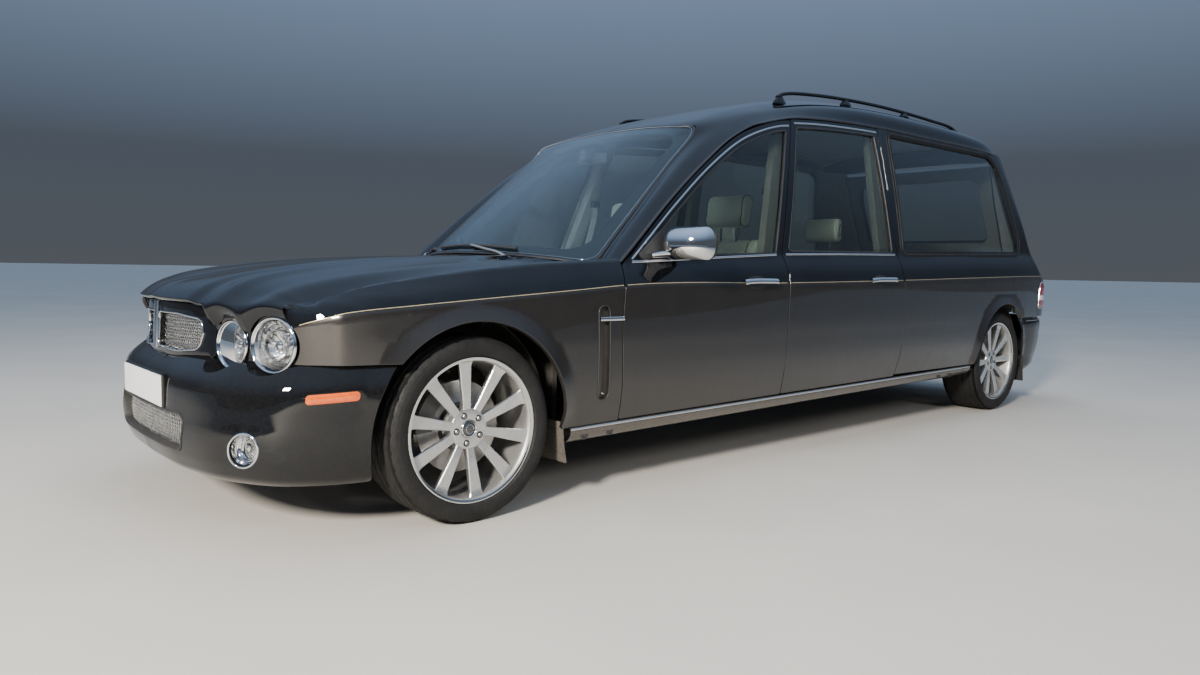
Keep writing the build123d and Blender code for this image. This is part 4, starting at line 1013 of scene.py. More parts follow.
# knot along the roof, then the points across
ROOF_NET = [
    (0.00, [(0.876, 0.700, 0.952), (0.806, 0.690, 0.960), (0.710, 0.722, 0.958), (0.45, 0.62, 0.975), (0.10, 0.56, 0.985)]),
    (0.13, [(0.864, 0.816, 1.052), (0.792, 0.800, 1.064), (0.696, 0.826, 1.058), (0.45, 0.74, 1.075), (0.10, 0.68, 1.085)]),
    (0.36, [(0.830, 1.052, 1.248), (0.762, 1.022, 1.262), (0.674, 1.034, 1.254), (0.44, 0.95, 1.27), (0.10, 0.90, 1.28)]),
    (0.62, [(0.796, 1.318, 1.445), (0.730, 1.262, 1.458), (0.651, 1.244, 1.447), (0.42, 1.17, 1.46), (0.10, 1.12, 1.47)]),
    (0.86, [(0.764, 1.560, 1.593), (0.700, 1.470, 1.598), (0.631, 1.405, 1.588), (0.40, 1.34, 1.605), (0.10, 1.31, 1.615)]),
    (0.96, [(0.756, 1.680, 1.648), (0.683, 1.560, 1.652), (0.611, 1.452, 1.642), (0.352, 1.400, 1.658), (0, 1.388, 1.664)]),
] + [(k, roof_row(l, m, u, c)) for k, l, m, u, c in (
    (1.12, 1.800, 1.740, 1.680, 1.640), (1.32, 2.000, 1.970, 1.940, 1.920), (1.62, 2.250, 2.250, 2.250, 2.250),
    (2.05, 2.700, 2.700, 2.700, 2.700), (2.40, 3.050, 3.050, 3.050, 3.050), (2.75, 3.400, 3.400, 3.400, 3.400),
    (3.10, 3.750, 3.750, 3.750, 3.750), (3.45, 4.100, 4.100, 4.100, 4.100), (3.65, 4.280, 4.290, 4.300, 4.300))] + [
    (3.86, [(0.7300, 4.395, 1.790), (0.690, 4.440, 1.842), (0.614, 4.475, 1.878), (0.35, 4.490, 1.913), (0, 4.492, 1.919)]),
    (3.98, [(0.7270, 4.440, 1.786), (0.682, 4.515, 1.814), (0.608, 4.570, 1.838), (0.35, 4.598, 1.868), (0, 4.603, 1.873)]),
    (4.06, [(0.7245, 4.458, 1.781), (0.674, 4.560, 1.788), (0.603, 4.628, 1.798), (0.35, 4.664, 1.818), (0, 4.670, 1.822)]),
    (4.11, [(0.7220, 4.466, 1.776), (0.668, 4.572, 1.772), (0.600, 4.644, 1.772), (0.35, 4.675, 1.779), (0, 4.681, 1.781)]),
]
ROOF_V = [0.0, 0.10, 0.195, 0.47, 0.82]
roof_net = Net([r[0] for r in ROOF_NET], ROOF_V, np.array([r[1] for r in ROOF_NET]).transpose(1, 0, 2) - [0, MID, 0])
ROOF_END = ROOF_NET[-1][0]


def net_grid(net, us, vs):
    u, v = np.meshgrid(us, vs)
    return net(u.ravel(), v.ravel()).reshape(len(vs), len(us), 3)


def net_normals(net, us, vs, sign=1, e=1e-3):
    u, v = (a.ravel() for a in np.meshgrid(us, vs))
    pu, pv = net(u + e, v) - net(u - e, v), net(u, v + e) - net(u, v - e)
    return (unit(np.cross(pu, pv)) * sign).reshape(len(vs), len(us), 3)


us_pillar = np.concatenate([np.linspace(0, 0.96, 34), np.linspace(0.96, ROOF_END, 60)[1:]])
us_roof = np.linspace(0.96, ROOF_END, 60)
vs_band = np.concatenate([np.linspace(0, 0.195, 22)])
vs_top = np.linspace(0.195, 0.82, 26)
parts = []
band = net_grid(roof_net, us_pillar, vs_band)
bn = net_normals(roof_net, us_pillar, vs_band, 1)
if bn[10, 60, 2] < 0:
    bn = -bn
    ROOF_FLIP = True
else:
    ROOF_FLIP = False
top = net_grid(roof_net, us_roof, vs_top)
tn = net_normals(roof_net, us_roof, vs_top, -1 if ROOF_FLIP else 1)
parts = [grid_data(band, depth=0.024, flip=False, normals=bn), grid_data(top, depth=0.024, normals=tn)]


def fix_winding(data):
    """Turns faces so that they agree with their normals."""
    v, f, n = data
    out = []
    for q in f:
        fn = np.cross(v[q[1]] - v[q[0]], v[q[2]] - v[q[1]])
        out.append(q if fn @ n[q[0]] >= 0 else q[::-1])
    return v, out, n


roof_half = fix_winding(join_data(parts))
roof_data = both(roof_half)
roof_shell = make("roof_shell", roof_data, [BLACK, LINING], "body", "roof",
                  index=[0] * len(roof_data[1]))


# ---------------------------------------------------------------- front wings and lamp faces

BONNET = [
    (-0.822, 0.330, 0.808, 0.804, 0.796, 0.788), (-0.740, 0.500, 0.846, 0.848, 0.830, 0.794),
    (-0.640, 0.700, 0.872, 0.880, 0.846, 0.795), (-0.560, 0.736, 0.888, 0.896, 0.866, 0.803),
    (-0.250, 0.738, 0.930, 0.940, 0.912, 0.868), (0.150, 0.738, 0.962, 0.972, 0.948, 0.918),
    (0.620, 0.738, 0.990, 0.992, 0.974, 0.950)]
EDGE_X = 0.748
FACE = [(-1.060, 0.372, -0.742), (-0.960, 0.470, -0.716), (-0.850, 0.575, -0.686), (-0.742, 0.680, -0.647),
        (-0.680, 0.736, -0.616), (-0.630, 0.779, -0.583), (-0.585, 0.814, -0.549), (-0.540, 0.842, -0.515)]
FACE += [(u, float(side_x([u], [0.62])[0]), u) for u in (-0.480, -0.430, -0.370, -0.300)]


def face_plan(u):
    r = table(FACE, u)
    far = smooth((u + 0.45) / 0.08)
    x = np.where(far > 0, far * side_x(u, np.full_like(u, 0.62)) + (1 - far) * r[:, 0], r[:, 0])
    y = far * u + (1 - far) * r[:, 1]
    return x, y


FACE_TURN = [(-1.06, 15), (-0.85, 21), (-0.734, 28), (-0.66, 37), (-0.60, 47), (-0.54, 59), (-0.48, 72), (-0.42, 83), (-0.36, 90), (0.0, 90)]


def wing_swage(u):
    """Height where the two colours meet, drawn down a little beside the lamp."""
    d = np.clip(u, -0.66, -0.44) + 0.44
    return swage_z(np.maximum(u, -0.44)) + 0.13 * d - 0.504 * d * d


def bonnet_edge_z(q):
    return table(BONNET, q)[:, 4]


def wing_raw(u, z):
    """Front wing at plan place u and height z up to the crest."""
    x, y = face_plan(u)
    turn = np.radians(np.interp(u, *zip(*FACE_TURN)))
    nx, ny = np.sin(turn), -np.cos(turn)
    q = np.maximum(y, -0.60)
    off_side = side_x(q, z) - side_x(q, np.full_like(q, 0.62))
    lean = np.interp(u, [-1.06, -0.96, -0.85, -0.742], [0.030, 0.028, 0.014, 0.002])
    off_face = lean * smooth((z - 0.70) / 0.09)
    w = smooth((u + 0.72) / 0.13)
    off = w * off_side + (1 - w) * off_face
    return np.stack([x + nx * off, y + ny * off, z], 1)


def crest_z(u):
    _, y = face_plan(u)
    zw = table(SIDE, np.maximum(y, -0.60))[:, 10]
    s = smooth((u + 0.74) / 0.14)
    return 0.797 * (1 - s) + zw * s


def over_width(u):
    p = wing_raw(u, crest_z(u))
    ze = bonnet_edge_z(np.maximum(p[:, 1], -0.56)) + 0.003
    w = np.hypot(np.maximum(p[:, 0] - EDGE_X, 0), np.maximum(p[:, 0] - EDGE_X, 0) * 0.1)
    return np.maximum(w * smooth((u + 0.70) / 0.05), 0.004)


def wing_map(side):
    def f(uv):
        u, v = uv[:, 0].astype(float), uv[:, 1].astype(float)
        zc = crest_z(u)
        p = wing_raw(u, np.minimum(v, zc))
        top = wing_raw(u, zc)
        below = wing_raw(u, zc - 0.012)
        w = over_width(u)
        t = (v - zc) / w
        end = top.copy()
        live = smooth((u + 0.70) / 0.05)
        end[:, 0] = np.where(live > 0, top[:, 0] + live * (np.minimum(EDGE_X - top[:, 0], -0.003)), top[:, 0])
        ze = bonnet_edge_z(np.maximum(top[:, 1], -0.56)) + 0.003
        end[:, 2] = np.where(live > 0, zc + live * (ze - zc), zc)
        t0 = unit(top - below) * w[:, None] * 1.15
        t1 = np.stack([-np.ones_like(u), np.zeros_like(u), np.full_like(u, -0.10)], 1) * w[:, None]
        s = np.clip(t, 0, 1.15)[:, None]
        herm = ((1 + 2 * s) * (1 - s) ** 2 * top + s * (1 - s) ** 2 * t0 + s * s * (3 - 2 * s) * end + s * s * (s - 1) * t1)
        p = np.where((v > zc)[:, None], herm, p)
        return np.stack([side * p[:, 0], p[:, 1] - MID, p[:, 2]], 1)
    return f


def arc_points(yc, zc, r, a0, a1, n=40):
    a = np.radians(np.linspace(a0, a1, n))
    return np.stack([yc + r * np.cos(a), zc + r * np.sin(a)], 1)


BUMPER_Z = 0.608
a_start = 180 - degrees(atan2(BUMPER_Z - TYRE_R, sqrt(ARCH_R ** 2 - (BUMPER_Z - TYRE_R) ** 2)))
a_end = -degrees(atan2(TYRE_R - 0.306, sqrt(ARCH_R ** 2 - (TYRE_R - 0.306) ** 2)))
top_u = np.linspace(0.712, -1.060, 90)
top_line = np.stack([top_u, crest_z(top_u) + over_width(top_u) * np.clip((top_u + 0.70) / 0.04, 0, 1)], 1)
WING_OUT = np.vstack([[(-1.060, BUMPER_Z)], arc_points(0, TYRE_R, ARCH_R, a_start, a_end, 60), [(0.6975, 0.306)],
                      curve(mm([(697.5, 306), (688.5, 687), (712.5, 952)]), 4)[1:], top_line])
LAMP_AT = [(-0.937, 0.657, 0.077), (-0.734, 0.667, 0.086)]
LAMP_TURN = [16.0, 27.0]
VENT = rounded(mm([(560, 405), (622, 405), (622, 790), (560, 790)]), 0.030, 6)


def circle(cu, cz, r, n=48):
    a = 2 * pi * np.arange(n) / n
    return np.stack([cu + r * np.cos(a), cz + r * np.sin(a)], 1)


def wing_zone(uv):
    line = wing_swage(uv[:, 0])
    return (~((uv[:, 1] > line) | (uv[:, 0] < -0.720))).astype(int) * 2


ya = np.linspace(-0.66, 0.70, 60)
rw = table(SIDE, np.maximum(ya, -0.62))
wing_lines = [np.stack([ya, wing_swage(ya) + dz], 1) for dz in (0.0, -0.007, -0.016, -0.034, 0.006)]
wing_lines += [np.stack([ya[4:], crest_z(ya[4:])], 1), np.stack([ya[12:], rw[12:, 2]], 1)]
wing_lines += [arc_points(0, TYRE_R, FLARE_R - 0.002, a_start - 3, a_end + 2, 50), arc_points(0, TYRE_R, 0.432, a_start - 2, a_end + 2, 50)]
for side, hand in SIDES:
    f = wing_map(side)
    holes = [circle(u, z, r + 0.0085) for u, z, r in LAMP_AT] + [VENT]
    ob = panel(f"front_wing_{hand}_skin", f, WING_OUT, [BLACK, LINER, GRAPHITE], holes=holes, step=0.026, edge=0.012,
               lines=wing_lines, depth=0.016, sign=side, zone=wing_zone, inner=1)
    put(ob, "body", "front_wings")


def turned(side, turn):
    """Axes of a lamp: x out along its axis, y across, z up."""
    t = radians(turn)
    ax = np.array([side * sin(t), -cos(t), 0.0])
    ac = np.array([side * cos(t), sin(t), 0.0])
    return np.stack([ax, ac, np.array([0, 0, 1.0])], 1)


def lamp_parts(side, centre, axis, r, dome=0.009, depth=0.055):
    """Bezel, lens and bowl of a round lamp. The axis is a unit vector outwards."""
    ax = unit(np.asarray(axis, float))
    ac = unit(np.cross([0, 0, 1.0], ax))
    rot = np.stack([ax, ac, np.cross(ax, ac)], 1)
    bezel = revolve_data([(0.001, r + 0.009), (0.006, r + 0.008), (0.0085, r + 0.0045), (0.007, r + 0.001), (0.002, r - 0.001),
                          (-0.010, r - 0.001)], 64)
    q = np.linspace(0, 1, 9)
    lens = revolve_data([(0.0 + dome * (1 - s ** 2.2) + 0.002, max(r * s, 1e-4)) for s in q], 56)
    back = revolve_data([(0.0 + dome * (1 - s ** 2.2) - 0.0015, max(r * s, 1e-4)) for s in q], 56)
    back = (back[0], [f_[::-1] for f_ in back[1]], -back[2])
    # the bowl is a mosaic of small flat mirrors
    bowl_p = [(-depth * (1 - s ** 2) - 0.004, max((r - 0.004) * s, 1e-4)) for s in np.linspace(0, 1, 9)]
    v, fa, n = revolve_data(bowl_p, 36)
    rad = np.hypot(v[:, 1], v[:, 2])
    dice = np.random.default_rng(7).uniform(-1, 1, len(v))
    v = np.stack([v[:, 0] + 0.0022 * dice * (rad < r * 0.93) * (rad > r * 0.15), v[:, 1], v[:, 2]], 1)
    bowl = (v, fa, n * np.where(n[:, 0:1] < 0, -1, 1))
    bulb = revolve_data([(-depth + 0.002, 0.017), (-depth + 0.030, 0.017), (-depth + 0.036, 0.013), (-depth + 0.038, 1e-4)], 32)
    ring = revolve_data([(-0.010, 0.56 * r), (-0.006, 0.57 * r), (-0.006, 0.60 * r), (-0.012, 0.61 * r), (-0.030, 0.62 * r)], 64)
    place = lambda d: moved(d, rot, centre)
    return place(bezel), join_data([place(lens), place(back)]), place(fix_winding(bowl)), place(bulb), place(ring)


LAMP_CLEAR = LAMP_GLASS
LAMP_BOWL = surface("lamp_reflector", (0.80, 0.80, 0.78), 0.10, metal=1.0, vary=0.05, bump=0.5, bump_scale=90, bump_dist=0.002)
bez, lens, bowl, bulb, rings = [], [], [], [], []
for side, hand in SIDES:
    f = wing_map(side)
    for (u, z, r), turn in zip(LAMP_AT, LAMP_TURN):
        uv = np.array([[u, z]])
        c, n = f(uv)[0], frame_at(f, uv, side)[0]
        c = c + n * 0.002
        n = unit(np.array([side * sin(radians(turn)), -cos(radians(turn)), 0.05]))
        b, l, w, bu, ri = lamp_parts(side, c, n, r)
        bez.append(b), lens.append(l), bowl.append(w), bulb.append(bu), rings.append(ri)
make("lamp_bezels", join_data(bez), CHROME, "body", "headlamps")
make("lamp_lenses", join_data(lens), LAMP_CLEAR, "body", "headlamps")
make("lamp_bowls", join_data(bowl), LAMP_BOWL, "body", "headlamps", flat=True)
make("lamp_bulb_caps", join_data(bulb + rings), CHROME, "body", "headlamps")

# wing vent: a recessed dark blade with a bright bar near its top
vent_parts = []
for side, hand in SIDES:
    f = wing_map(side)

    def sunk(uv, f=f, side=side):
        a = smooth((uv[:, 0:1] - 0.560) / 0.062)
        return f(uv) - frame_at(f, uv, side) * (0.004 + 0.012 * a)
    ob = panel(f"wing_vent_{hand}", sunk, rounded(mm([(561, 406), (621, 406), (621, 789), (561, 789)]), 0.029, 6),
               surface(f"vent_blade_{hand}", (0.05, 0.045, 0.04), 0.42, metal=0.5, coat=0.5, bump=0.15, bump_scale=300, dust=0.15),
               step=0.02, edge=0.01, depth=0.006, sign=side, inner=0)
    put(ob, "body")
    line = rounded(mm([(561, 406), (621, 406), (621, 789), (561, 789)]), 0.029, 8)
    strip(f"vent_rim_{hand}", f, dense(line, 0.012), side, TRIM, 0.005, 0.0035, closed=True, parts=vent_parts)
    bar = dense(mm([(566, 735), (696, 735)]), 0.01, closed=False)
    p, a, n = surface_line(f, bar, side)
    vent_parts_bar = sweep_data(p + n * 0.001, a, n, [(-0.009, -0.008), (-0.009, 0.003), (-0.006, 0.006), (0.006, 0.006), (0.009, 0.003), (0.009, -0.008)])
    make(f"vent_bar_{hand}", vent_parts_bar, CHROME, "body")
make("vent_rims", join_data(vent_parts), TRIM, "body")

# ---------------------------------------------------------------- bonnet

BONNET_S = [0.0, 0.25, 0.45, 0.62, 0.80, 0.93, 1.0]
nose = [(0, -0.838, 0.800), (0.19, -0.827, 0.799), (0.34, -0.798, 0.798), (0.47, -0.748, 0.797), (0.60, -0.700, 0.797),
        (0.695, -0.653, 0.797), (0.737, -0.624, 0.797)]
nose2 = [(0, -0.800, 0.829), (0.19, -0.789, 0.831), (0.34, -0.758, 0.830), (0.47, -0.713, 0.827), (0.60, -0.660, 0.822),
         (0.697, -0.608, 0.812), (0.739, -0.565, 0.803)]
under = [(x * 0.995, y + 0.006, z - 0.020) for x, y, z in nose]
cols = [under, [(x, y - 0.006, z - 0.008) for x, y, z in nose], nose, nose2]
for k, (yc, ye) in enumerate(((-0.670, -0.535), (-0.450, -0.400), (-0.150, -0.130), (0.150, 0.180))):
    col = []
    for s in BONNET_S:
        y = yc + (ye - yc) * s * s
        r = table(BONNET, [y])[0]
        z = float((basis([0, 0.45, 0.8, 1], [s]) @ r[1:5])[0])
        col.append((0.739 * s if k else (0.739 - 0.01 * (1 - s)) * s, y, z))
    cols.append(col)
col = []
for s in BONNET_S:
    x = 0.739 * s
    y = float(np.interp(x, [0, 0.4, 0.739], [0.405, 0.500, 0.588]))
    r = table(BONNET, [y])[0]
    col.append((x, y, float((basis([0, 0.45, 0.8, 1], [s]) @ r[1:5])[0])))
cols.append(col)
BONNET_U = [0.0, 0.25, 0.5, 1.0, 2.2, 3.6, 5.6, 7.6, 9.6]
bonnet_net = Net(BONNET_U, BONNET_S, np.array(cols).transpose(1, 0, 2) - [0, MID, 0])


def flutes(x, ya):
    t = np.clip((ya + 0.80) / 1.35, 0, 1)
    fade = 1 - 0.72 * smooth(t)
    g = lambda q: np.exp(-q * q)
    x = np.abs(x)
    c1, c2, cb = 0.678 - 0.10 * t, 0.470 - 0.12 * t, 0.345 - 0.12 * t
    h = 0.013 * g((x - c1) / 0.050) + 0.014 * g((x - c2) / 0.050) + 0.014 * smooth((cb - x) / 0.06 + 0.5)
    h += 0.004 * g(x / 0.035)
    return h * fade


face_line = np.linspace(-1.060, -0.560, 300)
face_line_x, face_line_y = face_plan(face_line)


def brow_z(x):
    """Lower edge of the bonnet: close over each lamp, and down between them."""
    u = np.interp(x, face_line_x, face_line)
    level = [np.full_like(x, 0.703)]
    for cu, cz, r in LAMP_AT:
        d = r + 0.0125
        level.append(cz + np.sqrt(np.maximum(d * d - (u - cu) ** 2, 0)) - 0.2 * (np.abs(u - cu) > d))
    soft = 0.006
    return soft * np.log(sum(np.exp((a - 0.7) / soft) for a in level)) + 0.7


def bonnet_top(u, v):
    p = bonnet_net(u, v)
    h = flutes(p[:, 0], p[:, 1] + MID) * smooth((1.0 - v) / 0.05 + 0.15)
    up_ = smooth(u / 0.8)
    p[:, 2] += h * (0.25 + 0.75 * up_)
    p[:, 1] -= h * 0.5 * (1 - up_)
    return p


def bonnet_f(u, v):
    """The bonnet, and below u 0.5 the brow that wraps down over the lamps."""
    p = bonnet_top(np.maximum(u, 0.5), v)
    step_ = bonnet_top(np.full_like(u, 0.56), v)
    q = np.clip((0.5 - u) / 0.5, 0, 1.1)[:, None]
    x = p[:, 0]
    k = smooth((0.428 - x) / 0.045)
    zb = np.minimum(brow_z(x), p[:, 2] - 0.010) * (1 - k) + (p[:, 2] - 0.012) * k
    proud = 0.0125 - 0.0095 * smooth((v - 0.88) / 0.12)
    yb = (np.interp(x, face_line_x, face_line_y) - proud - MID) * (1 - k) + (p[:, 1] + 0.006) * k
    foot = np.stack([x, yb, zb], 1)
    way = unit(p - step_)
    drop = np.maximum(p[:, 2] - zb, 0.004)[:, None]
    mid_ = p + way * drop * 0.45
    low = (1 - q) ** 2 * p + 2 * q * (1 - q) * mid_ + q * q * foot
    return np.where(u[:, None] < 0.5, low, p)


def half_grid(fn, us, vs, depth, e=2e-3):
    u, v = (a.ravel() for a in np.meshgrid(us, vs))
    p = fn(u, v).reshape(len(vs), len(us), 3)
    pu, pv = fn(u + e, v) - fn(u - e, v), fn(u, v + e * 0.2) - fn(u, np.maximum(v - e * 0.2, 0 if vs[0] == 0 else -9))
    n = unit(np.cross(pu, pv)).reshape(p.shape)
    if n[..., 2].mean() < 0:
        n = -n
    if vs[0] == 0 and abs(p[0, :, 0]).max() < 1e-6:
        n[0, :, 0] = 0
        n = unit(n)
    return fix_winding(grid_data(p, depth=depth, normals=n))


us = np.concatenate([np.linspace(0, 0.5, 14), np.linspace(0.5, 1.0, 9)[1:], np.linspace(1.0, 9.6, 50)[1:]])
vs_b = np.concatenate([np.linspace(0, 0.50, 21), np.linspace(0.50, 1.0, 62)[1:]])
data = both(half_grid(bonnet_f, us, vs_b, 0.010))
make("bonnet_skin", data, [BLACK], "bonnet", "bonnet")

# ---------------------------------------------------------------- grille

GRILLE_PLAN = [(0.0, -0.815), (0.10, -0.812), (0.20, -0.799), (0.30, -0.777), (0.372, -0.752), (0.430, -0.733), (0.48, -0.716)]


def grille_y(x):
    return table(GRILLE_PLAN, np.abs(x))[:, 0]


def grille_map(back=0.0, bulge=0.0):
    def f(uv):
        x, z = uv[:, 0], uv[:, 1]
        y = grille_y(x) + back + 0.10 * (z - 0.70) * 0.5
        return np.stack([x, y - MID, z], 1)
    return f


def grille_hole(sgn):
    pts = [(0.017, 0.628), (0.20, 0.618), (0.338, 0.632), (0.358, 0.690), (0.345, 0.738), (0.20, 0.752), (0.017, 0.752)]
    h = rounded(pts, [0.020, 0.30, 0.045, 0.06, 0.045, 0.30, 0.020], 6)
    return h * [sgn, 1] if sgn > 0 else (h * [sgn, 1])[::-1]


def surround_map(uv):
    """Gloss surround: full-bodied between its outer edge and the openings."""
    x, z = uv[:, 0], uv[:, 1]
    ax = np.abs(x)
    d_in = np.minimum(np.minimum(np.abs(ax - 0.352), np.abs(z - 0.748)), np.abs(z - 0.622))
    y = grille_y(x) + 0.05 * (z - 0.70)
    edge = np.minimum(np.minimum(0.402 - ax, z - 0.592), 0.812 - z)
    y = y - 0.012 * np.sqrt(np.clip(edge / 0.03, 0, 1)) + 0.006
    return np.stack([x, y - MID, z], 1)


S_OUT = rounded([(-0.402, 0.598), (0.402, 0.598), (0.400, 0.770), (0.330, 0.804), (0, 0.810), (-0.330, 0.804), (-0.400, 0.770)],
                [0.03, 0.03, 0.05, 0.10, 0.3, 0.10, 0.05], 6)
ob = panel("grille_surround", surround_map, S_OUT, BLACK, holes=[grille_hole(1), grille_hole(-1)], step=0.02, edge=0.008,
           depth=0.035, lip=0.004, sign=1, inner=0)
put(ob, "body", "grille")
g_front = grille_map(-0.008)
frames = []
for sgn in (1, -1):
    loop = dense(grille_hole(sgn), 0.008)
    if area(loop) < 0:
        loop = loop[::-1]
    p, a, n = surface_line(g_front, loop, 1, closed=True)
    frames.append(sweep_data(p, a, n, [(-0.004, -0.012), (-0.004, 0.001), (-0.002, 0.003), (0.001, 0.003), (0.003, 0.0), (0.003, -0.012)], closed=True))
make("grille_frames", join_data(frames), CHROME, "body")
gx, gz = np.arange(-0.352, 0.3521, 0.0135), np.arange(0.626, 0.750, 0.0115)
wires = []
g_mesh = grille_map(0.014)
ph = grille_hole(1)
for x in gx:
    zz = np.linspace(0.612, 0.760, 28)
    line = np.stack([np.full_like(zz, x), zz], 1)
    ok = inside(dense(ph, 0.01), np.abs(line * [1, 1]) if x >= 0 else line * [-1, 1])
    line = line[ok]
    if len(line) < 4:
        continue
    p, a, n = surface_line(g_mesh, line, 1)
    p = p + n * (0.0022 * np.sin(np.arange(len(p)) * pi * (zz[1] - zz[0]) / 0.0115))[:, None]
    wires.append(sweep_data(p, a, n, [(-0.0024, -0.001), (-0.0024, 0.0012), (0.0024, 0.0012), (0.0024, -0.001)]))
for z in gz:
    for sgn in (1, -1):
        xx = np.arange(0.012, 0.362, 0.0062)
        line = np.stack([xx, np.full_like(xx, z)], 1)
        line = line[inside(dense(ph, 0.01), line)]
        if len(line) < 4:
            continue
        line = line * [sgn, 1]
        p, a, n = surface_line(g_mesh, line, 1)
        p = p - n * (0.0022 * np.sin(np.abs(line[:, 0]) * pi / 0.0135))[:, None]
        wires.append(sweep_data(p, a, n, [(-0.0020, -0.001), (-0.0020, 0.0012), (0.0020, 0.0012), (0.0020, -0.001)]))
MESH_METAL = surface("bright_woven_mesh", (0.66, 0.65, 0.62), 0.22, metal=1.0, vary=0.1, vary_scale=40, bump=0.1, bump_scale=200, dust=0.3, dust_colour=(0.25, 0.2, 0.14))
make("grille_mesh", join_data(wires), MESH_METAL, "body", "grille")
bar = dense([(0.0, 0.616), (0.0, 0.790)], 0.01, closed=False)
p, a, n = surface_line(grille_map(-0.012), bar, 1)
make("grille_centre_bar", sweep_data(p, a, n, [(-0.011, -0.02), (-0.011, 0.002), (-0.006, 0.008), (0.006, 0.008), (0.011, 0.002), (0.011, -0.02)]),
     CHROME, "body")
ob = panel("grille_back", grille_map(0.045), rounded([(-0.40, 0.60), (0.40, 0.60), (0.40, 0.77), (-0.40, 0.77)], 0.02), LINER, step=0.06, edge=0.03,
           depth=0.004, sign=1, inner=0)
put(ob, "body")

# ---------------------------------------------------------------- front bumper

FB_U = [0.0, 0.36, 0.64, 0.86, 1.02, 1.22]
FB = [
    (0.196, [(0, -0.800), (0.340, -0.784), (0.566, -0.724), (0.715, -0.620), (0.792, -0.490), (0.825, -0.330)]),
    (0.214, [(0, -0.838), (0.345, -0.820), (0.580, -0.756), (0.737, -0.642), (0.816, -0.495), (0.848, -0.325)]),
    (0.260, [(0, -0.872), (0.352, -0.852), (0.600, -0.782), (0.762, -0.656), (0.838, -0.498), (0.866, -0.318)]),
    (0.330, [(0, -0.885), (0.360, -0.866), (0.620, -0.792), (0.782, -0.658), (0.854, -0.494), (0.884, -0.300)]),
    (0.430, [(0, -0.880), (0.360, -0.861), (0.620, -0.785), (0.794, -0.642), (0.864, -0.484), (0.900, -0.270)]),
    (0.500, [(0, -0.878), (0.358, -0.858), (0.617, -0.778), (0.796, -0.634), (0.868, -0.481), (0.906, -0.258)]),
    (0.535, [(0, -0.876), (0.358, -0.854), (0.614, -0.774), (0.794, -0.630), (0.867, -0.480), (0.908, -0.250)]),
    (0.552, [(0, -0.868), (0.355, -0.846), (0.608, -0.766), (0.788, -0.625), (0.862, -0.480), (0.906, -0.246)]),
    (0.575, [(0, -0.846), (0.350, -0.824), (0.600, -0.746), (0.776, -0.615), (0.852, -0.480), (0.902, -0.242)]),
    (0.598, [(0, -0.818), (0.348, -0.796), (0.592, -0.722), (0.764, -0.604), (0.842, -0.478), (0.897, -0.240)]),
]
fb_net = Net(FB_U, [r[0] for r in FB], np.array([[(x, a - MID, z) for x, a in half] for z, half in FB]))


def bumper_map(uv):
    u, z = uv[:, 0], uv[:, 1]
    p = fb_net(np.abs(u), z)
    rr = np.hypot(p[:, 1] + MID, z - TYRE_R)
    t = np.clip((FLARE_R - rr) / (FLARE_R - ARCH_R), 0, 1.3)
    x = p[:, 0] + 0.012 * t ** 1.15 * np.clip((z - 0.20) / 0.08, 0, 1) * (np.abs(u) > 0.8)
    # the arch flare is added only out at the sides, where u is over 0.8
    return np.stack([np.sign(u) * x, p[:, 1], p[:, 2]], 1)


def solve_u(fn, z, want, lo, hi):
    lo, hi = np.full(len(z), lo, float), np.full(len(z), hi, float)
    for _ in range(40):
        m = (lo + hi) / 2
        y = fn(np.stack([m, z], 1))[:, 1] + MID
        lo, hi = np.where(y < want, m, lo), np.where(y < want, hi, m)
    return (lo + hi) / 2


def bumper_top(u):
    """The bumper's upper edge, scooped under each lamp."""
    x = np.abs(bumper_map(np.stack([u, np.full_like(u, 0.59)], 1))[:, 0])
    level = [np.full_like(u, 0.602)]
    for (cu, cz, r), turn in zip(LAMP_AT, LAMP_TURN):
        cx = np.interp(cu, face_line, face_line_x)
        s = np.clip(np.abs(x - cx) / ((r + 0.020) * cos(radians(turn))), 0, 1)
        level.append(cz + 0.006 - (r + 0.018) * np.sqrt(1 - s * s) + 0.2 * (s >= 1))
    soft = 0.006
    return -soft * np.log(sum(np.exp(-(a - 0.6) / soft) for a in level)) + 0.6


zz = np.linspace(0.200, 0.602, 30)
ue = solve_u(bumper_map, zz, -np.sqrt(ARCH_R ** 2 - (zz - TYRE_R) ** 2), 0.8, 1.45)
right_edge = np.stack([ue, zz], 1)
B_OUT = np.vstack([[(-0.9, 0.198), (0.9, 0.198)], right_edge, (right_edge * [-1, 1])[::-1]])
top_u = np.linspace(right_edge[-1, 0], -right_edge[-1, 0], 260)[1:-1]
B_OUT = np.vstack([dense([(-0.9, 0.199), (0.9, 0.199)], 0.03, False), right_edge, np.stack([top_u, bumper_top(top_u)], 1), (right_edge * [-1, 1])[::-1]])
FOG_UV = [(0.722, 0.328), (-0.722, 0.328)]
FOG_R = 0.057
INTAKE = rounded([(-0.395, 0.292), (0.395, 0.292), (0.425, 0.420), (-0.425, 0.420)], [0.03, 0.03, 0.04, 0.04], 5)
MARK = rounded([(0.905, 0.482), (1.062, 0.491), (1.062, 0.522), (0.905, 0.513)], 0.012, 5)
holes = [circle(u, z, FOG_R) for u, z in FOG_UV] + [INTAKE, MARK, (MARK * [-1, 1])[::-1]]
b_lines = [np.stack([np.linspace(-1.1, 1.1, 90), np.full(90, z)], 1) for z in (0.214, 0.535, 0.552, 0.575)]
ob = panel("front_bumper_skin", bumper_map, B_OUT, [BUMPER_BLACK, TRIM], holes=holes, step=0.03, edge=0.014, lines=b_lines,
           depth=0.012, sign=1, inner=1)
put(ob, "body", "front_bumper")

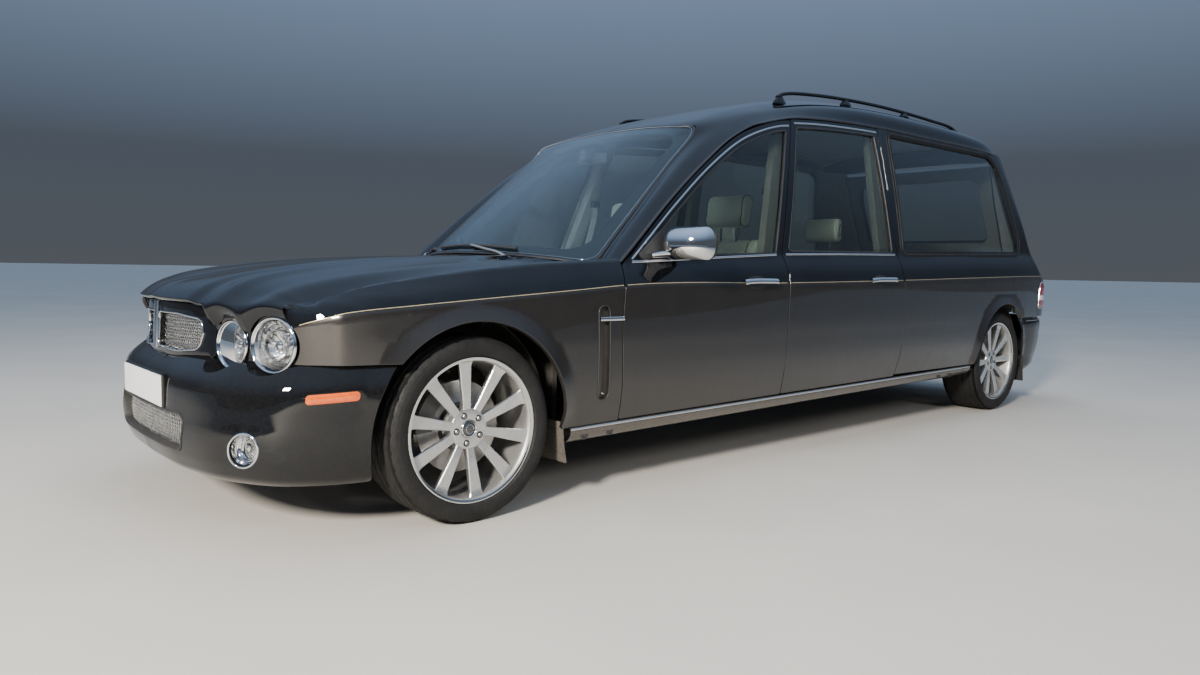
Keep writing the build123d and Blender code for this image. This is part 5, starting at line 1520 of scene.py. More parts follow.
# shelf that closes the bumper's top back to the grille and lamps
us_ = np.linspace(-1.14, 1.14, 240)
shelf_z = bumper_top(us_)
outer = bumper_map(np.stack([us_, shelf_z - 0.002], 1))
inner_pts = outer.copy()
cx = np.abs(outer[:, 0])
shelf_y = np.interp(cx, [0, 0.372, 0.47, 0.575, 0.68, 0.76, 0.84, 0.90], [-0.770, -0.700, -0.672, -0.640, -0.600, -0.560, -0.44, -0.23])
inner_pts = np.stack([outer[:, 0] * 0.955, shelf_y - MID, shelf_z + 0.005], 1)
rows = np.array([outer * (1 - t) + inner_pts * t + [0, 0, 0.003 * sin(pi * t)] for t in np.linspace(0, 1, 6)])
d = grid_data(rows, depth=0.004)
if d[2][200, 2] < 0:
    d = grid_data(rows, depth=0.004, flip=True)
make("front_bumper_shelf", d, BUMPER_BLACK, "body")

fb, fl, fw, fc = [], [], [], []
for u, z in FOG_UV:
    uv = np.array([[u, z]])
    c, n = bumper_map(uv)[0], frame_at(bumper_map, uv, 1)[0]
    loop = circle(u, z, FOG_R - 0.001, 64)
    mouth = bumper_map(loop)
    sgn = 1 if u > 0 else -1
    ahead_ = unit(np.array([sgn * sin(radians(24)), -cos(radians(24)), 0.03]))
    c = c - n * 0.030 - ahead_ * 0.004 + np.array([-sgn * 0.004, 0, 0])
    n = ahead_
    b, l, w, bu, ri = lamp_parts(1, c, n, 0.039, dome=0.008, depth=0.030)
    fb += [b]
    fl += [l]
    fw += [w, ]
    fc += [bu]
    ax = n
    ac = unit(np.cross([0, 0, 1.0], ax))
    rot = np.stack([ax, ac, np.cross(ax, ac)], 1)
    ring_a = np.array([c + rot[:, 1] * 0.0475 * cos(t_) + rot[:, 2] * 0.0475 * sin(t_) for t_ in 2 * pi * np.arange(64) / 64])
    start = int(np.argmin(np.linalg.norm(ring_a - mouth[0], axis=1)))
    ring_a = np.roll(ring_a, -start, 0)
    if np.linalg.norm(ring_a[10] - mouth[10]) > np.linalg.norm(np.roll(ring_a[::-1], 1, 0)[10] - mouth[10]):
        ring_a = np.roll(ring_a[::-1], 1, 0)
    rows = np.array([mouth * (1 - t) + ring_a * t - n * 0.010 * sin(pi * t) for t in np.linspace(0, 1, 8)])
    d = grid_data(rows, closed_u=True)
    if ((c - d[0]) * d[2]).sum() < 0:
        d = grid_data(rows, closed_u=True, flip=True)
    fb.append(d)
    p_, a_, n_ = surface_line(bumper_map, circle(u, z, FOG_R, 72), 1, closed=True)
    fb.append(sweep_data(p_, a_, n_, [(-0.004, -0.002), (-0.004, 0.0015), (0.0, 0.003), (0.003, 0.0015), (0.003, -0.002)], closed=True))
make("fog_bezels", join_data(fb), CHROME, "body", "fog_lamps")
make("fog_lenses", join_data(fl), LAMP_GLASS, "body", "fog_lamps")
make("fog_bowls", join_data(fw + fc), LAMP_BOWL, "body", "fog_lamps", flat=True)

for sgn, hand in ((1, "left"), (-1, "right")):
    m = MARK * [sgn, 1] if sgn > 0 else (MARK * [sgn, 1])[::-1]

    def lens_map(uv, sgn=sgn):
        a = np.clip(np.minimum(np.minimum(np.abs(uv[:, 0]) - 0.902, 1.065 - np.abs(uv[:, 0])), 0.017 - np.abs(uv[:, 1] - 0.502 - 0.057 * (np.abs(uv[:, 0]) - 0.983))) / 0.014, 0, 1)
        return bumper_map(uv) + frame_at(bumper_map, uv, 1) * (0.001 + 0.004 * np.sqrt(a))[:, None]
    ob = panel(f"side_marker_{hand}", lens_map, m, ORANGE, step=0.01, edge=0.006, depth=0.008, lip=0.001, sign=1, inner=0)
    put(ob, "body")

# lower intake mesh and its frame
def intake_map(uv):
    p = fb_net(np.abs(uv[:, 0]), uv[:, 1])
    return np.stack([np.sign(uv[:, 0]) * p[:, 0], p[:, 1] + 0.030, p[:, 2]], 1)


wires = []
lo_int = rounded([(-0.40, 0.288), (0.40, 0.288), (0.43, 0.425), (-0.43, 0.425)], 0.02, 4)
for u in np.arange(-0.42, 0.4201, 0.016):
    zz_ = np.linspace(0.285, 0.43, 18)
    line = np.stack([np.full_like(zz_, u), zz_], 1)
    line = line[inside(dense(lo_int, 0.02), line)]
    if len(line) < 4:
        continue
    p, a, n = surface_line(intake_map, line, 1)
    wires.append(sweep_data(p, a, n, [(-0.0022, -0.001), (-0.0022, 0.0016), (0.0022, 0.0016), (0.0022, -0.001)]))
for z in np.arange(0.294, 0.424, 0.0125):
    line = np.stack([np.linspace(-0.425, 0.425, 84), np.full(84, z)], 1)
    line = line[inside(dense(lo_int, 0.02), line)]
    p, a, n = surface_line(intake_map, line, 1)
    wires.append(sweep_data(p + n * 0.0012, a, n, [(-0.0020, -0.001), (-0.0020, 0.0016), (0.0020, 0.0016), (0.0020, -0.001)]))
make("intake_mesh", join_data(wires), MESH_METAL, "body")


def intake_back(uv):
    return intake_map(uv) + np.array([0, 0.05, 0])


ob = panel("intake_back", intake_back, rounded([(-0.45, 0.26), (0.45, 0.26), (0.47, 0.45), (-0.47, 0.45)], 0.02), LINER, step=0.08, edge=0.04,
           depth=0.003, sign=1, inner=0)
put(ob, "body")
frames = []
p, a, n = surface_line(bumper_map, dense(INTAKE, 0.015), 1, closed=True)
frames.append(sweep_data(p, a, n, [(-0.004, -0.028), (-0.004, 0.0015), (0.0, 0.003), (0.004, 0.0015), (0.004, -0.028)], closed=True))
make("intake_frame", join_data(frames), TRIM, "body")

# front plate, blank, on its pad
make("front_plate_pad_trim", box_data((-0.268, -0.880 - MID + 0.0, 0.422), (0.268, -0.850 - MID, 0.546), 0.006), BUMPER_BLACK, "body")
make("front_plate_blank", box_data((-0.260, -0.8835 - MID, 0.4285), (0.260, -0.8800 - MID, 0.5395), 0.0012), PLATE, "body")


# ---------------------------------------------------------------- wheels and tyres

def tyre_profile():
    """Half section of the tyre from the tread's middle out over the side wall to the bead: x from the middle, radius."""
    return [(0.000, 0.3435), (0.060, 0.3430), (0.095, 0.3405), (0.108, 0.3375), (0.1175, 0.3310), (0.1235, 0.3210),
            (0.1268, 0.3080), (0.1275, 0.2970), (0.1262, 0.2860), (0.1225, 0.2765), (0.1170, 0.2715), (0.1120, 0.2700),
            (0.1060, 0.2702), (0.1000, 0.2660)]


def tyre_data(n=204):
    prof = curve(np.array(tyre_profile()), 3)
    x, r = prof[:, 0], prof[:, 1]
    # fill the tread band closely so that its grooves are cut sharply
    band = np.arange(0, 0.112, 0.0038)
    rb = np.interp(band, x, r)
    keep = x > 0.1125
    x, r = np.concatenate([band, x[keep]]), np.concatenate([rb, r[keep]])
    x = np.concatenate([-x[:0:-1], x])
    r = np.concatenate([r[:0:-1], r])
    th = 2 * pi * np.arange(n) / n
    X, TH = np.meshgrid(x, th, indexing="ij")
    R = np.repeat(r[:, None], n, 1)
    k = np.arange(n)[None, :]
    cut = np.zeros_like(R)
    for c in (-0.068, -0.023, 0.023, 0.068):
        cut = np.maximum(cut, 0.0062 * (np.abs(X - c) < 0.0045))
    # slanted sipes across the shoulder blocks, fine ones on the ribs
    for lo, hi, pitch, slant, wide in ((0.073, 0.118, 6, 26, 1), (-0.118, -0.073, 6, -26, 1)):
        inb = (X > lo) & (X < hi)
        ph = (k + np.round(np.abs(X) * slant * 9).astype(int)) % pitch
        cut = np.maximum(cut, 0.0040 * (inb & (ph < wide)))
    for lo, hi, slant in ((0.028, 0.063, 300), (-0.063, -0.028, -300), (-0.018, 0.018, 240)):
        inb = (X > lo) & (X < hi)
        ph = (k + np.round((X - lo) * slant).astype(int)) % 6
        cut = np.maximum(cut, 0.0028 * (inb & (ph < 1)))
    R = R - cut
    # shoulder ribs and side wall rings
    aw = np.abs(X)
    R = R - 0.0015 * ((aw > 0.1205) & (aw < 0.1232))
    side_bulge = np.where(aw > 0.12, 1, 0) * 0.0008 * np.cos(TH * 51)
    X = X + np.sign(X) * side_bulge * ((R > 0.312) & (R < 0.326))
    X = X + np.sign(X) * 0.0010 * ((R > 0.2745) & (R < 0.2785) & (aw > 0.1215))
    X = X + np.sign(X) * 0.0009 * ((R > 0.3035) & (R < 0.3060) & (aw > 0.12))
    p = np.stack([X, R * np.cos(TH), R * np.sin(TH)], -1)
    return p


def smooth_normals(p, closed_cols=True):
    pu = np.roll(p, -1, 1) - np.roll(p, 1, 1)
    pv = np.gradient(p, axis=0)
    n = unit(np.cross(pv, pu))
    c = p.copy()
    c[..., 0] = 0
    if (n * c).sum(-1).mean() < 0:
        n = -n
    return n


tyre_grid = tyre_data()
tyre_norm = smooth_normals(tyre_grid)
rows_, cols_ = tyre_grid.shape[:2]
tv = tyre_grid.reshape(-1, 3)
idx = np.arange(rows_ * cols_).reshape(rows_, cols_)
nx_ = np.roll(idx, -1, 1)
q_ = np.stack([idx[:-1], nx_[:-1], nx_[1:], idx[1:]], -1).reshape(-1, 4)
t_faces = [tuple(q) for q in q_]
fn = np.cross(tv[t_faces[900][1]] - tv[t_faces[900][0]], tv[t_faces[900][2]] - tv[t_faces[900][1]])
if fn @ tyre_norm.reshape(-1, 3)[t_faces[900][0]] < 0:
    t_faces = [q[::-1] for q in t_faces]
TYRE = (tv, t_faces, None)


def ring_profile(profile, n=120):
    return revolve_data(profile, n)


# rim: x outwards from the wheel's middle
BARREL = [(0.1120, 0.2560), (0.1135, 0.2610), (0.1150, 0.2650), (0.1145, 0.2678), (0.1120, 0.2688), (0.1085, 0.2680),
          (0.1070, 0.2640), (0.1060, 0.2585), (0.1010, 0.2530), (0.0900, 0.2500), (0.0700, 0.2480), (0.0300, 0.2440),
          (-0.0400, 0.2380), (-0.0900, 0.2400), (-0.1050, 0.2500), (-0.1080, 0.2640)]
BARREL_BACK = [(-0.1080, 0.2640), (-0.1110, 0.2640), (-0.1090, 0.2530), (-0.0930, 0.2440), (-0.0400, 0.2420), (0.0300, 0.2480),
               (0.0900, 0.2545), (0.1030, 0.2590), (0.1120, 0.2560)]


def spoke(angle, n=15):
    """One flat-faced spoke from the hub to the rim."""
    r = np.concatenate([np.linspace(0.050, 0.075, 3), np.linspace(0.085, 0.232, n), [0.242, 0.250]])
    half = np.interp(r, [0.050, 0.075, 0.10, 0.235, 0.250], [0.0185, 0.0165, 0.0168, 0.0250, 0.0310])
    face = np.interp(r, [0.050, 0.075, 0.12, 0.20, 0.235, 0.250], [0.0730, 0.0780, 0.0835, 0.0890, 0.0915, 0.0960])
    deep = np.interp(r, [0.050, 0.10, 0.235, 0.250], [0.034, 0.030, 0.022, 0.020])
    rows = []
    for rr, h, x, d in zip(r, half, face, deep):
        b = 0.0028
        rows.append([(x, -h + b, rr), (x, h - b, rr), (x - b, h, rr), (x - d, h * 0.80, rr), (x - d - 0.004, h * 0.5, rr),
                     (x - d - 0.004, -h * 0.5, rr), (x - d, -h * 0.80, rr), (x - b, -h, rr)])
    rows = np.array(rows)
    v = rows.reshape(-1, 3)
    faces = []
    k = 8
    for i in range(len(rows) - 1):
        for j in range(k):
            faces.append((i * k + j, i * k + (j + 1) % k, (i + 1) * k + (j + 1) % k, (i + 1) * k + j))
    faces.append(tuple(range(k))[::-1])
    faces.append(tuple(range((len(rows) - 1) * k, len(rows) * k)))
    rot = np.array([[1, 0, 0], [0, cos(angle), -sin(angle)], [0, sin(angle), cos(angle)]])
    return v @ rot.T, faces


def flat_object(name, parts, mat, body, replaces=(), angle=35):
    """Joined plain meshes, smooth below an angle."""
    vs, fs, base = [], [], 0
    for v, f in parts:
        vs.append(np.asarray(v, float))
        fs += [tuple(i + base for i in q) for q in f]
        base += len(v)
    v = np.vstack(vs)
    me = bpy.data.meshes.new(name)
    me.from_pydata([tuple(map(float, q)) for q in v], [], [tuple(map(int, q)) for q in fs])
    me.materials.append(mat)
    me.update()
    import bmesh
    bm = bmesh.new()
    bm.from_mesh(me)
    bmesh.ops.remove_doubles(bm, verts=bm.verts, dist=1e-6)
    bmesh.ops.recalc_face_normals(bm, faces=bm.faces)
    for e_ in bm.edges:
        e_.smooth = len(e_.link_faces) == 2 and e_.calc_face_angle(0) < radians(angle)
    for f_ in bm.faces:
        f_.smooth = True
    bm.to_mesh(me)
    bm.free()
    ob = bpy.data.objects.new(name, me)
    bpy.context.scene.collection.objects.link(ob)
    PIECES[name] = ob
    return put(ob, body, replaces)


def plain(data):
    return data[0], data[1]


RIM_EDGE = surface("polished_rim_edge", (0.72, 0.72, 0.70), 0.14, metal=1.0, vary=0.05, rough_vary=0.05, bump=0.03, bump_scale=300)
CAP_DARK = surface("centre_cap_gloss", (0.03, 0.03, 0.032), 0.18, coat=1.0, vary=0.1, bump=0.03, bump_scale=200)
CALIPER = surface("caliper_paint", (0.10, 0.10, 0.10), 0.45, metal=0.7, vary=0.2, bump=0.3, bump_scale=140, dust=0.3, dust_top=1.0)

CENTRES = {"front": 0.778, "rear": 0.773}
for place_, yc in (("front", -MID), ("rear", WHEELBASE - MID)):
    for side, hand in SIDES:
        c = np.array([side * CENTRES[place_], yc, TYRE_R])
        body = f"{place_}_wheel_{hand}"
        flip_ = np.diag([side, 1.0, 1.0])
        phase = 0.10 if place_ == "front" else 0.35

        def at(v, f, m=flip_, cc=c):
            f = [q[::-1] for q in f] if side < 0 else f
            return v @ m.T + cc, f
        v, f = at(TYRE[0], TYRE[1])
        nn = tyre_norm.reshape(-1, 3) @ flip_.T
        ob = as_object(f"tyre_{place_}_{hand}_tread", v, f, RUBBER, None, None)
        me = ob.data
        import bmesh
        bm = bmesh.new()
        bm.from_mesh(me)
        for e_ in bm.edges:
            e_.smooth = len(e_.link_faces) == 2 and e_.calc_face_angle(0) < radians(32)
        bm.to_mesh(me)
        bm.free()
        put(ob, body, f"tyre_{place_}_{hand}")
        w = f"wheel_{place_}_{hand}"
        parts = [at(*spoke(phase + 2 * pi * k / 10)) for k in range(10)]
        # the hub's face is a ring drawn between its cap and rim; the stud holes in it are dark gloss discs round the
        # nuts, painted shade
        flat_object(f"{w}_spokes", parts, ALLOY, body, w)
        hub_ring = revolve_data([(0.0745, 0.0335), (0.0775, 0.0350), (0.0780, 0.0420), (0.0782, 0.0690), (0.0770, 0.0745), (0.0730, 0.0775), (0.0600, 0.0785), (0.0350, 0.0780)], 80)
        flat_object(f"{w}_hub", [at(*plain(hub_ring))], ALLOY, body)
        flat_object(f"{w}_barrel", [at(*plain(revolve_data(BARREL[6:], 120))), at(*plain(revolve_data(BARREL_BACK, 96)))], ALLOY_DARK,
                    body)
        flat_object(f"{w}_lip", [at(*plain(revolve_data(BARREL[:8], 160)))], RIM_EDGE, body)
        cap = revolve_data([(0.0840, 1e-4), (0.0838, 0.012), (0.0825, 0.0200), (0.0800, 0.0245), (0.0760, 0.0255), (0.0700, 0.0255)], 64)
        capring = revolve_data([(0.0740, 0.0335), (0.0790, 0.0335), (0.0815, 0.0315), (0.0820, 0.0285), (0.0795, 0.0262), (0.0740, 0.0258)], 64)
        flat_object(f"{w}_cap", [at(*plain(cap))], CAP_DARK, body)
        small = revolve_data([(0.0850, 0.0150), (0.0856, 0.0158), (0.0850, 0.0166), (0.0835, 0.0166)], 48)
        flat_object(f"{w}_cap_ring", [at(*plain(capring)), at(*plain(small))], RIM_EDGE, body)
        # dark gloss discs round each nut stand for the shaded insides of the stud holes: painted shade
        painted_hole_shades, nuts = [], []
        for k in range(5):
            a = phase + pi / 10 + 2 * pi * k / 5
            o = np.array([0, 0.0535 * cos(a + pi / 2), 0.0535 * sin(a + pi / 2)])
            wv, wf, _ = revolve_data([(0.0780, 0.0135), (0.0796, 0.0130), (0.0800, 0.0118), (0.0788, 0.0104), (0.0785, 1e-4)], 28)
            painted_hole_shades.append(at(wv + o, wf))
            nv, nf, _ = revolve_data([(0.0780, 0.0082), (0.0830, 0.0080), (0.0846, 0.0062), (0.0850, 1e-4)], 6)
            nuts.append(at(nv + o, nf))
        flat_object(f"{w}_stud_wells", painted_hole_shades, CAP_DARK, body)
        flat_object(f"{w}_nuts", nuts, STEEL, body, angle=20)
        disc = revolve_data([(-0.0260, 0.070), (-0.0260, 0.172), (0.0020, 0.172), (0.0020, 0.095), (0.0050, 0.090), (0.0300, 0.085), (0.0360, 0.070), (0.0360, 1e-4)], 96)
        dv, df = at(*plain(disc))
        flat_object(f"{w}_disc", [(dv, df)], STEEL, body)
        valve = revolve_data([(0.0, 0.004), (0.02, 0.004), (0.022, 0.0025), (0.022, 1e-4)], 12)
        vv = valve[0] + np.array([0.078, 0.2400 * cos(phase + pi / 10 + pi / 2), 0.2400 * sin(phase + pi / 10 + pi / 2)])
        flat_object(f"{w}_valve", [at(vv, valve[1])], TRIM, body)

# calipers: the front pair steers with the knuckles, the rear pair is fixed to the body
for side, hand in SIDES:
    for place_, yc, body in (("front", -MID, f"steer_{hand}"), ("rear", WHEELBASE - MID, "body")):
        xc = CENTRES[place_]
        parts = []
        a0, a1 = (0.62 * pi, 1.02 * pi) if place_ == "front" else (-0.02 * pi, 0.30 * pi)
        sect = [(0.014, 0.118), (0.014, 0.182), (-0.004, 0.190), (-0.030, 0.190), (-0.052, 0.180), (-0.052, 0.118), (-0.030, 0.110), (-0.0300, 0.178), (0.006, 0.178), (0.006, 0.118), (0.014, 0.118)]
        v, f, _ = revolve_data(sect, 20, a0=a0, a1=a1)
        flat_object(f"caliper_{place_}_{hand}", [(v @ np.diag([side, 1, 1]) + np.array([side * xc, yc, TYRE_R]), f)], CALIPER, body)


# ---------------------------------------------------------------- windscreen, scuttle and wipers

SCREEN_N = [(0.0, 0.475, 1.002, 1.366, 1.676), (0.20, 0.494, 0.999, 1.372, 1.673), (0.40, 0.555, 0.990, 1.392, 1.664),
            (0.56, 0.632, 0.976, 1.420, 1.646), (0.715, 0.724, 0.958, 1.456, 1.614)]


us_edge = np.linspace(0.0, 0.96, 60)
EDGE_P = roof_net(us_edge, np.full(60, 0.195)) + [0, MID, 0]
EDGE_T = (EDGE_P[:, 2] - EDGE_P[0, 2]) / (EDGE_P[-1, 2] - EDGE_P[0, 2])
vs_edge = np.linspace(0.195, 0.82, 40)
HEAD_P = (roof_net(np.full(40, 0.96), vs_edge) + [0, MID, 0])[::-1]


def screen_base(a, t):
    xb, xt = 0.700 * a, 0.610 * a
    rb, rt = table(SCREEN_N, np.abs(xb)), table(SCREEN_N, np.abs(xt))
    y = rb[:, 0] * (1 - t) + rt[:, 2] * t
    z = rb[:, 1] * (1 - t) + rt[:, 3] * t
    belly = 0.016 * 4 * np.clip(t * (1 - t), -0.1, 1)
    return np.stack([xb * (1 - t) + xt * t, y - belly * 0.6, z + belly * 0.78], 1)


def screen_map(uv):
    """The screen's face, whose sides and head meet the pillars and the roof."""
    a, t = uv[:, 0] / 0.66, uv[:, 1] / 0.95
    tc = np.clip(t, 0, 1)
    p = screen_base(a, t)
    one = np.ones_like(a)
    rim = np.stack([np.interp(tc, EDGE_T, EDGE_P[:, k]) for k in range(3)], 1)
    gap = rim - screen_base(one, tc)
    w = np.abs(a)[:, None] ** 3
    p = p + gap * [1, 1, 1] * w * np.stack([np.sign(a), one, one], 1)
    # the head, measured after the sides have been drawn in
    at = np.clip(np.abs(a), 0, 1)
    q = screen_base(at, one)
    g1 = np.array([np.interp(1.0, EDGE_T, EDGE_P[:, k]) for k in range(3)]) - screen_base(np.ones(1), np.ones(1))[0]
    q = q + g1 * at[:, None] ** 3
    head = np.stack([np.interp(q[:, 0], HEAD_P[:, 0], HEAD_P[:, k]) for k in range(3)], 1)
    g2 = head - q
    g2[:, 0] = 0
    p = p + g2 * (np.clip(t, 0, 1.02) ** 4)[:, None]
    return p - [0, MID, 0]


def pushed(f, by, sign=1):
    def g(uv):
        return f(uv) + frame_at(f, uv, sign) * by
    return g


W_OUT = rounded([(-0.655, 0.006), (0.655, 0.006), (0.655, 0.944), (-0.655, 0.944)], [0.05, 0.05, 0.035, 0.035], 8)
W_IN = rounded([(-0.595, 0.060), (0.595, 0.060), (0.600, 0.885), (-0.600, 0.885)], [0.10, 0.10, 0.09, 0.09], 8)
ob = panel("windscreen_glass_pane", pushed(screen_map, 0.001), W_OUT, SCREEN_GLASS, step=0.06, edge=0.02, depth=0.0048, lip=0.001, sign=1, inner=0)
put(ob, "body", "windscreen")
FRIT = surface("screen_frit_black", (0.006, 0.006, 0.006), 0.35, vary=0.2, bump=0.05, bump_scale=400)
ob = panel("windscreen_frit", pushed(screen_map, -0.0065), W_OUT, FRIT, holes=[W_IN], step=0.05, edge=0.02, depth=0.0012, lip=0.0005, sign=1, inner=0)
put(ob, "body")
ob = strip("windscreen_seal", screen_map, dense(rounded([(-0.660, 0.0), (0.660, 0.0), (0.660, 0.950), (-0.660, 0.950)], [0.055, 0.055, 0.038, 0.038], 8), 0.02), 1, SEAL,
           0.012, 0.004, closed=True)
put(ob, "body")
ob = strip("windscreen_bright_edge", screen_map, dense(rounded([(-0.652, 0.010), (0.652, 0.010), (0.652, 0.940), (-0.652, 0.940)], [0.05, 0.05, 0.034, 0.034], 8), 0.02), 1,
           CHROME, 0.0030, 0.0042, closed=True)
put(ob, "body")
for side, hand in SIDES:
    for nm, box in (("head", [(0.585, 0.860), (0.667, 0.860), (0.667, 0.958), (0.585, 0.958)]), ("foot", [(0.585, -0.006), (0.667, -0.006), (0.667, 0.090), (0.585, 0.090)])):
        o_ = np.array(box) * [side, 1]
        ob = panel(f"screen_corner_{nm}_{hand}", pushed(screen_map, -0.0095), o_ if side > 0 else o_[::-1], BLACK, step=0.02, edge=0.01, depth=0.001,
                   lip=0.0003, sign=1, inner=0)
        put(ob, "body")
# mirror and its foot inside the screen
foot = screen_map(np.array([[0.0, 0.80]]))[0]
data = box_data((-0.115, -0.012, -0.032), (0.115, 0.012, 0.032), 0.010)
make("inside_mirror", moved(data, shift=foot + np.array([0, 0.085, -0.055])), DASH, "body")
make("inside_mirror_foot", moved(box_data((-0.018, -0.004, -0.03), (0.018, 0.07, 0.03), 0.008), shift=foot + np.array([0, 0.010, -0.04])), DASH, "body")

scx = np.linspace(-0.742, 0.742, 61)
row_b, row_w = [], []
for x in scx:
    ax = abs(x)
    y = float(np.interp(ax, [0, 0.4, 0.739], [0.405, 0.500, 0.588]))
    r = table(BONNET, [y])[0]
    z = float((basis([0, 0.45, 0.8, 1], [min(ax / 0.739, 1)]) @ r[1:5])[0])
    row_b.append((x, y - 0.012 - MID, z - 0.030))
    b = table(SCREEN_N, [min(ax, 0.70)])[0]
    row_w.append((x, b[0] + 0.004 - MID + max(0, ax - 0.70) * 0.6, b[1] - 0.004 - max(0, ax - 0.70) * 0.15))
row_b, row_w = np.array(row_b), np.array(row_w)
rows = np.array([row_b * (1 - t) + row_w * t + [0, 0, -0.014 * sin(pi * min(1, t * 1.0))] for t in np.linspace(0, 1, 10)])
d = grid_data(rows, depth=0.005)
if d[2][300, 2] < 0:
    d = grid_data(rows, depth=0.005, flip=True)
make("scuttle_panel", d, BLACK, "body")
slots = []
for k in range(26):
    x = -0.46 + 0.92 * k / 25
    i = int(np.argmin(np.abs(scx - x)))
    p0, p1 = rows[3, i], rows[8, i]
    slots.append(box_data(p0 + [-0.006, 0, -0.002], [p0[0] + 0.006, p1[1], max(p0[2], p1[2]) + 0.004], 0.002))
make("scuttle_louvres", join_data(slots), TRIM, "body")
# panel between the bonnet's rear corner, the wing and the screen pillar
for side, hand in SIDES:
    f = wing_map(side)
    wtop = f(np.stack([np.linspace(0.56, 0.712, 14), crest_z(np.linspace(0.56, 0.712, 14)) + over_width(np.linspace(0.56, 0.712, 14)) * 0.96], 1))
    inner = wtop.copy()
    inner[:, 0] = side * np.linspace(0.742, 0.706, 14)
    inner[:, 1] = np.linspace(0.585, 0.735, 14) - MID
    inner[:, 2] = np.linspace(0.936, 0.958, 14) - 0.014 * np.clip(1 - np.linspace(0, 1, 14) / 0.35, 0, 1)
    rows = np.array([wtop * (1 - t) + inner * t for t in np.linspace(-0.1, 1.1, 6)]) + [0, 0, -0.002]
    d = grid_data(rows, depth=0.004)
    if d[2][:, 2].mean() < 0 or d[2][10, 2] < 0:
        d = grid_data(rows, depth=0.004, flip=True)
    make(f"scuttle_corner_{hand}", d, BLACK, "body")

WIPER = surface("wiper_silver", (0.30, 0.30, 0.31), 0.38, metal=0.8, coat=0.3, vary=0.12, bump=0.1, bump_scale=300)
for k, (px, reach, rot) in enumerate(((-0.30, 0.52, 0), (0.38, 0.50, 0))):
    # arm lies just over the foot of the screen, the blade rests along it
    a0 = px
    base = screen_map(np.array([[a0 / 0.700 * 0.66 if abs(a0) < 0.7 else 0, -0.028]]))[0] + [0, -0.02, 0.004]
    tip_uv = np.array([[(a0 - 0.30) / 0.7 * 0.66, 0.034]])
    tip = screen_map(tip_uv)[0] + frame_at(screen_map, tip_uv, 1)[0] * 0.0155
    line = curve(np.array([base, base * 0.75 + tip * 0.25 + [0, -0.004, 0.012], base * 0.4 + tip * 0.6 + [0, 0, 0.006], tip]), 8)
    t = unit(np.gradient(line, axis=0))
    upv = np.tile([0, -0.5, 0.86], (len(line), 1))
    ac = unit(np.cross(t, upv))
    out_ = unit(np.cross(ac, t))
    wdt = np.linspace(0.011, 0.005, len(line))[:, None, None]
    arm = sweep_data(line, ac, out_, [(-0.0065, -0.003), (-0.0065, 0.002), (-0.004, 0.0045), (0.004, 0.0045), (0.0065, 0.002), (0.0065, -0.003)])
    make(f"wiper_arm_{k}", arm, WIPER, "body")
    make(f"wiper_hub_{k}", moved((lambda d_: (d_[0][:, [1, 2, 0]], d_[1], d_[2][:, [1, 2, 0]]))(revolve_data([(-0.02, 0.016), (0.006, 0.016), (0.012, 0.012), (0.014, 1e-4)], 28)), shift=base), WIPER, "body")
    us_ = np.linspace((a0 - 0.60) / 0.7 * 0.66, (a0 - 0.02) / 0.7 * 0.66, 26)
    uvb = np.stack([us_, np.full(26, 0.026) + 0.012 * np.cos(np.linspace(-1.2, 1.2, 26))], 1)
    p, a, n = surface_line(screen_map, uvb, 1)
    blade = sweep_data(p, a, n, [(-0.0012, 0.001), (-0.003, 0.006), (-0.007, 0.008), (-0.006, 0.012), (0, 0.0145), (0.006, 0.012), (0.007, 0.008), (0.003, 0.006), (0.0012, 0.001)])
    make(f"wiper_blade_{k}", blade, TRIM, "body")


# ---------------------------------------------------------------- window seals, bright strips and handles

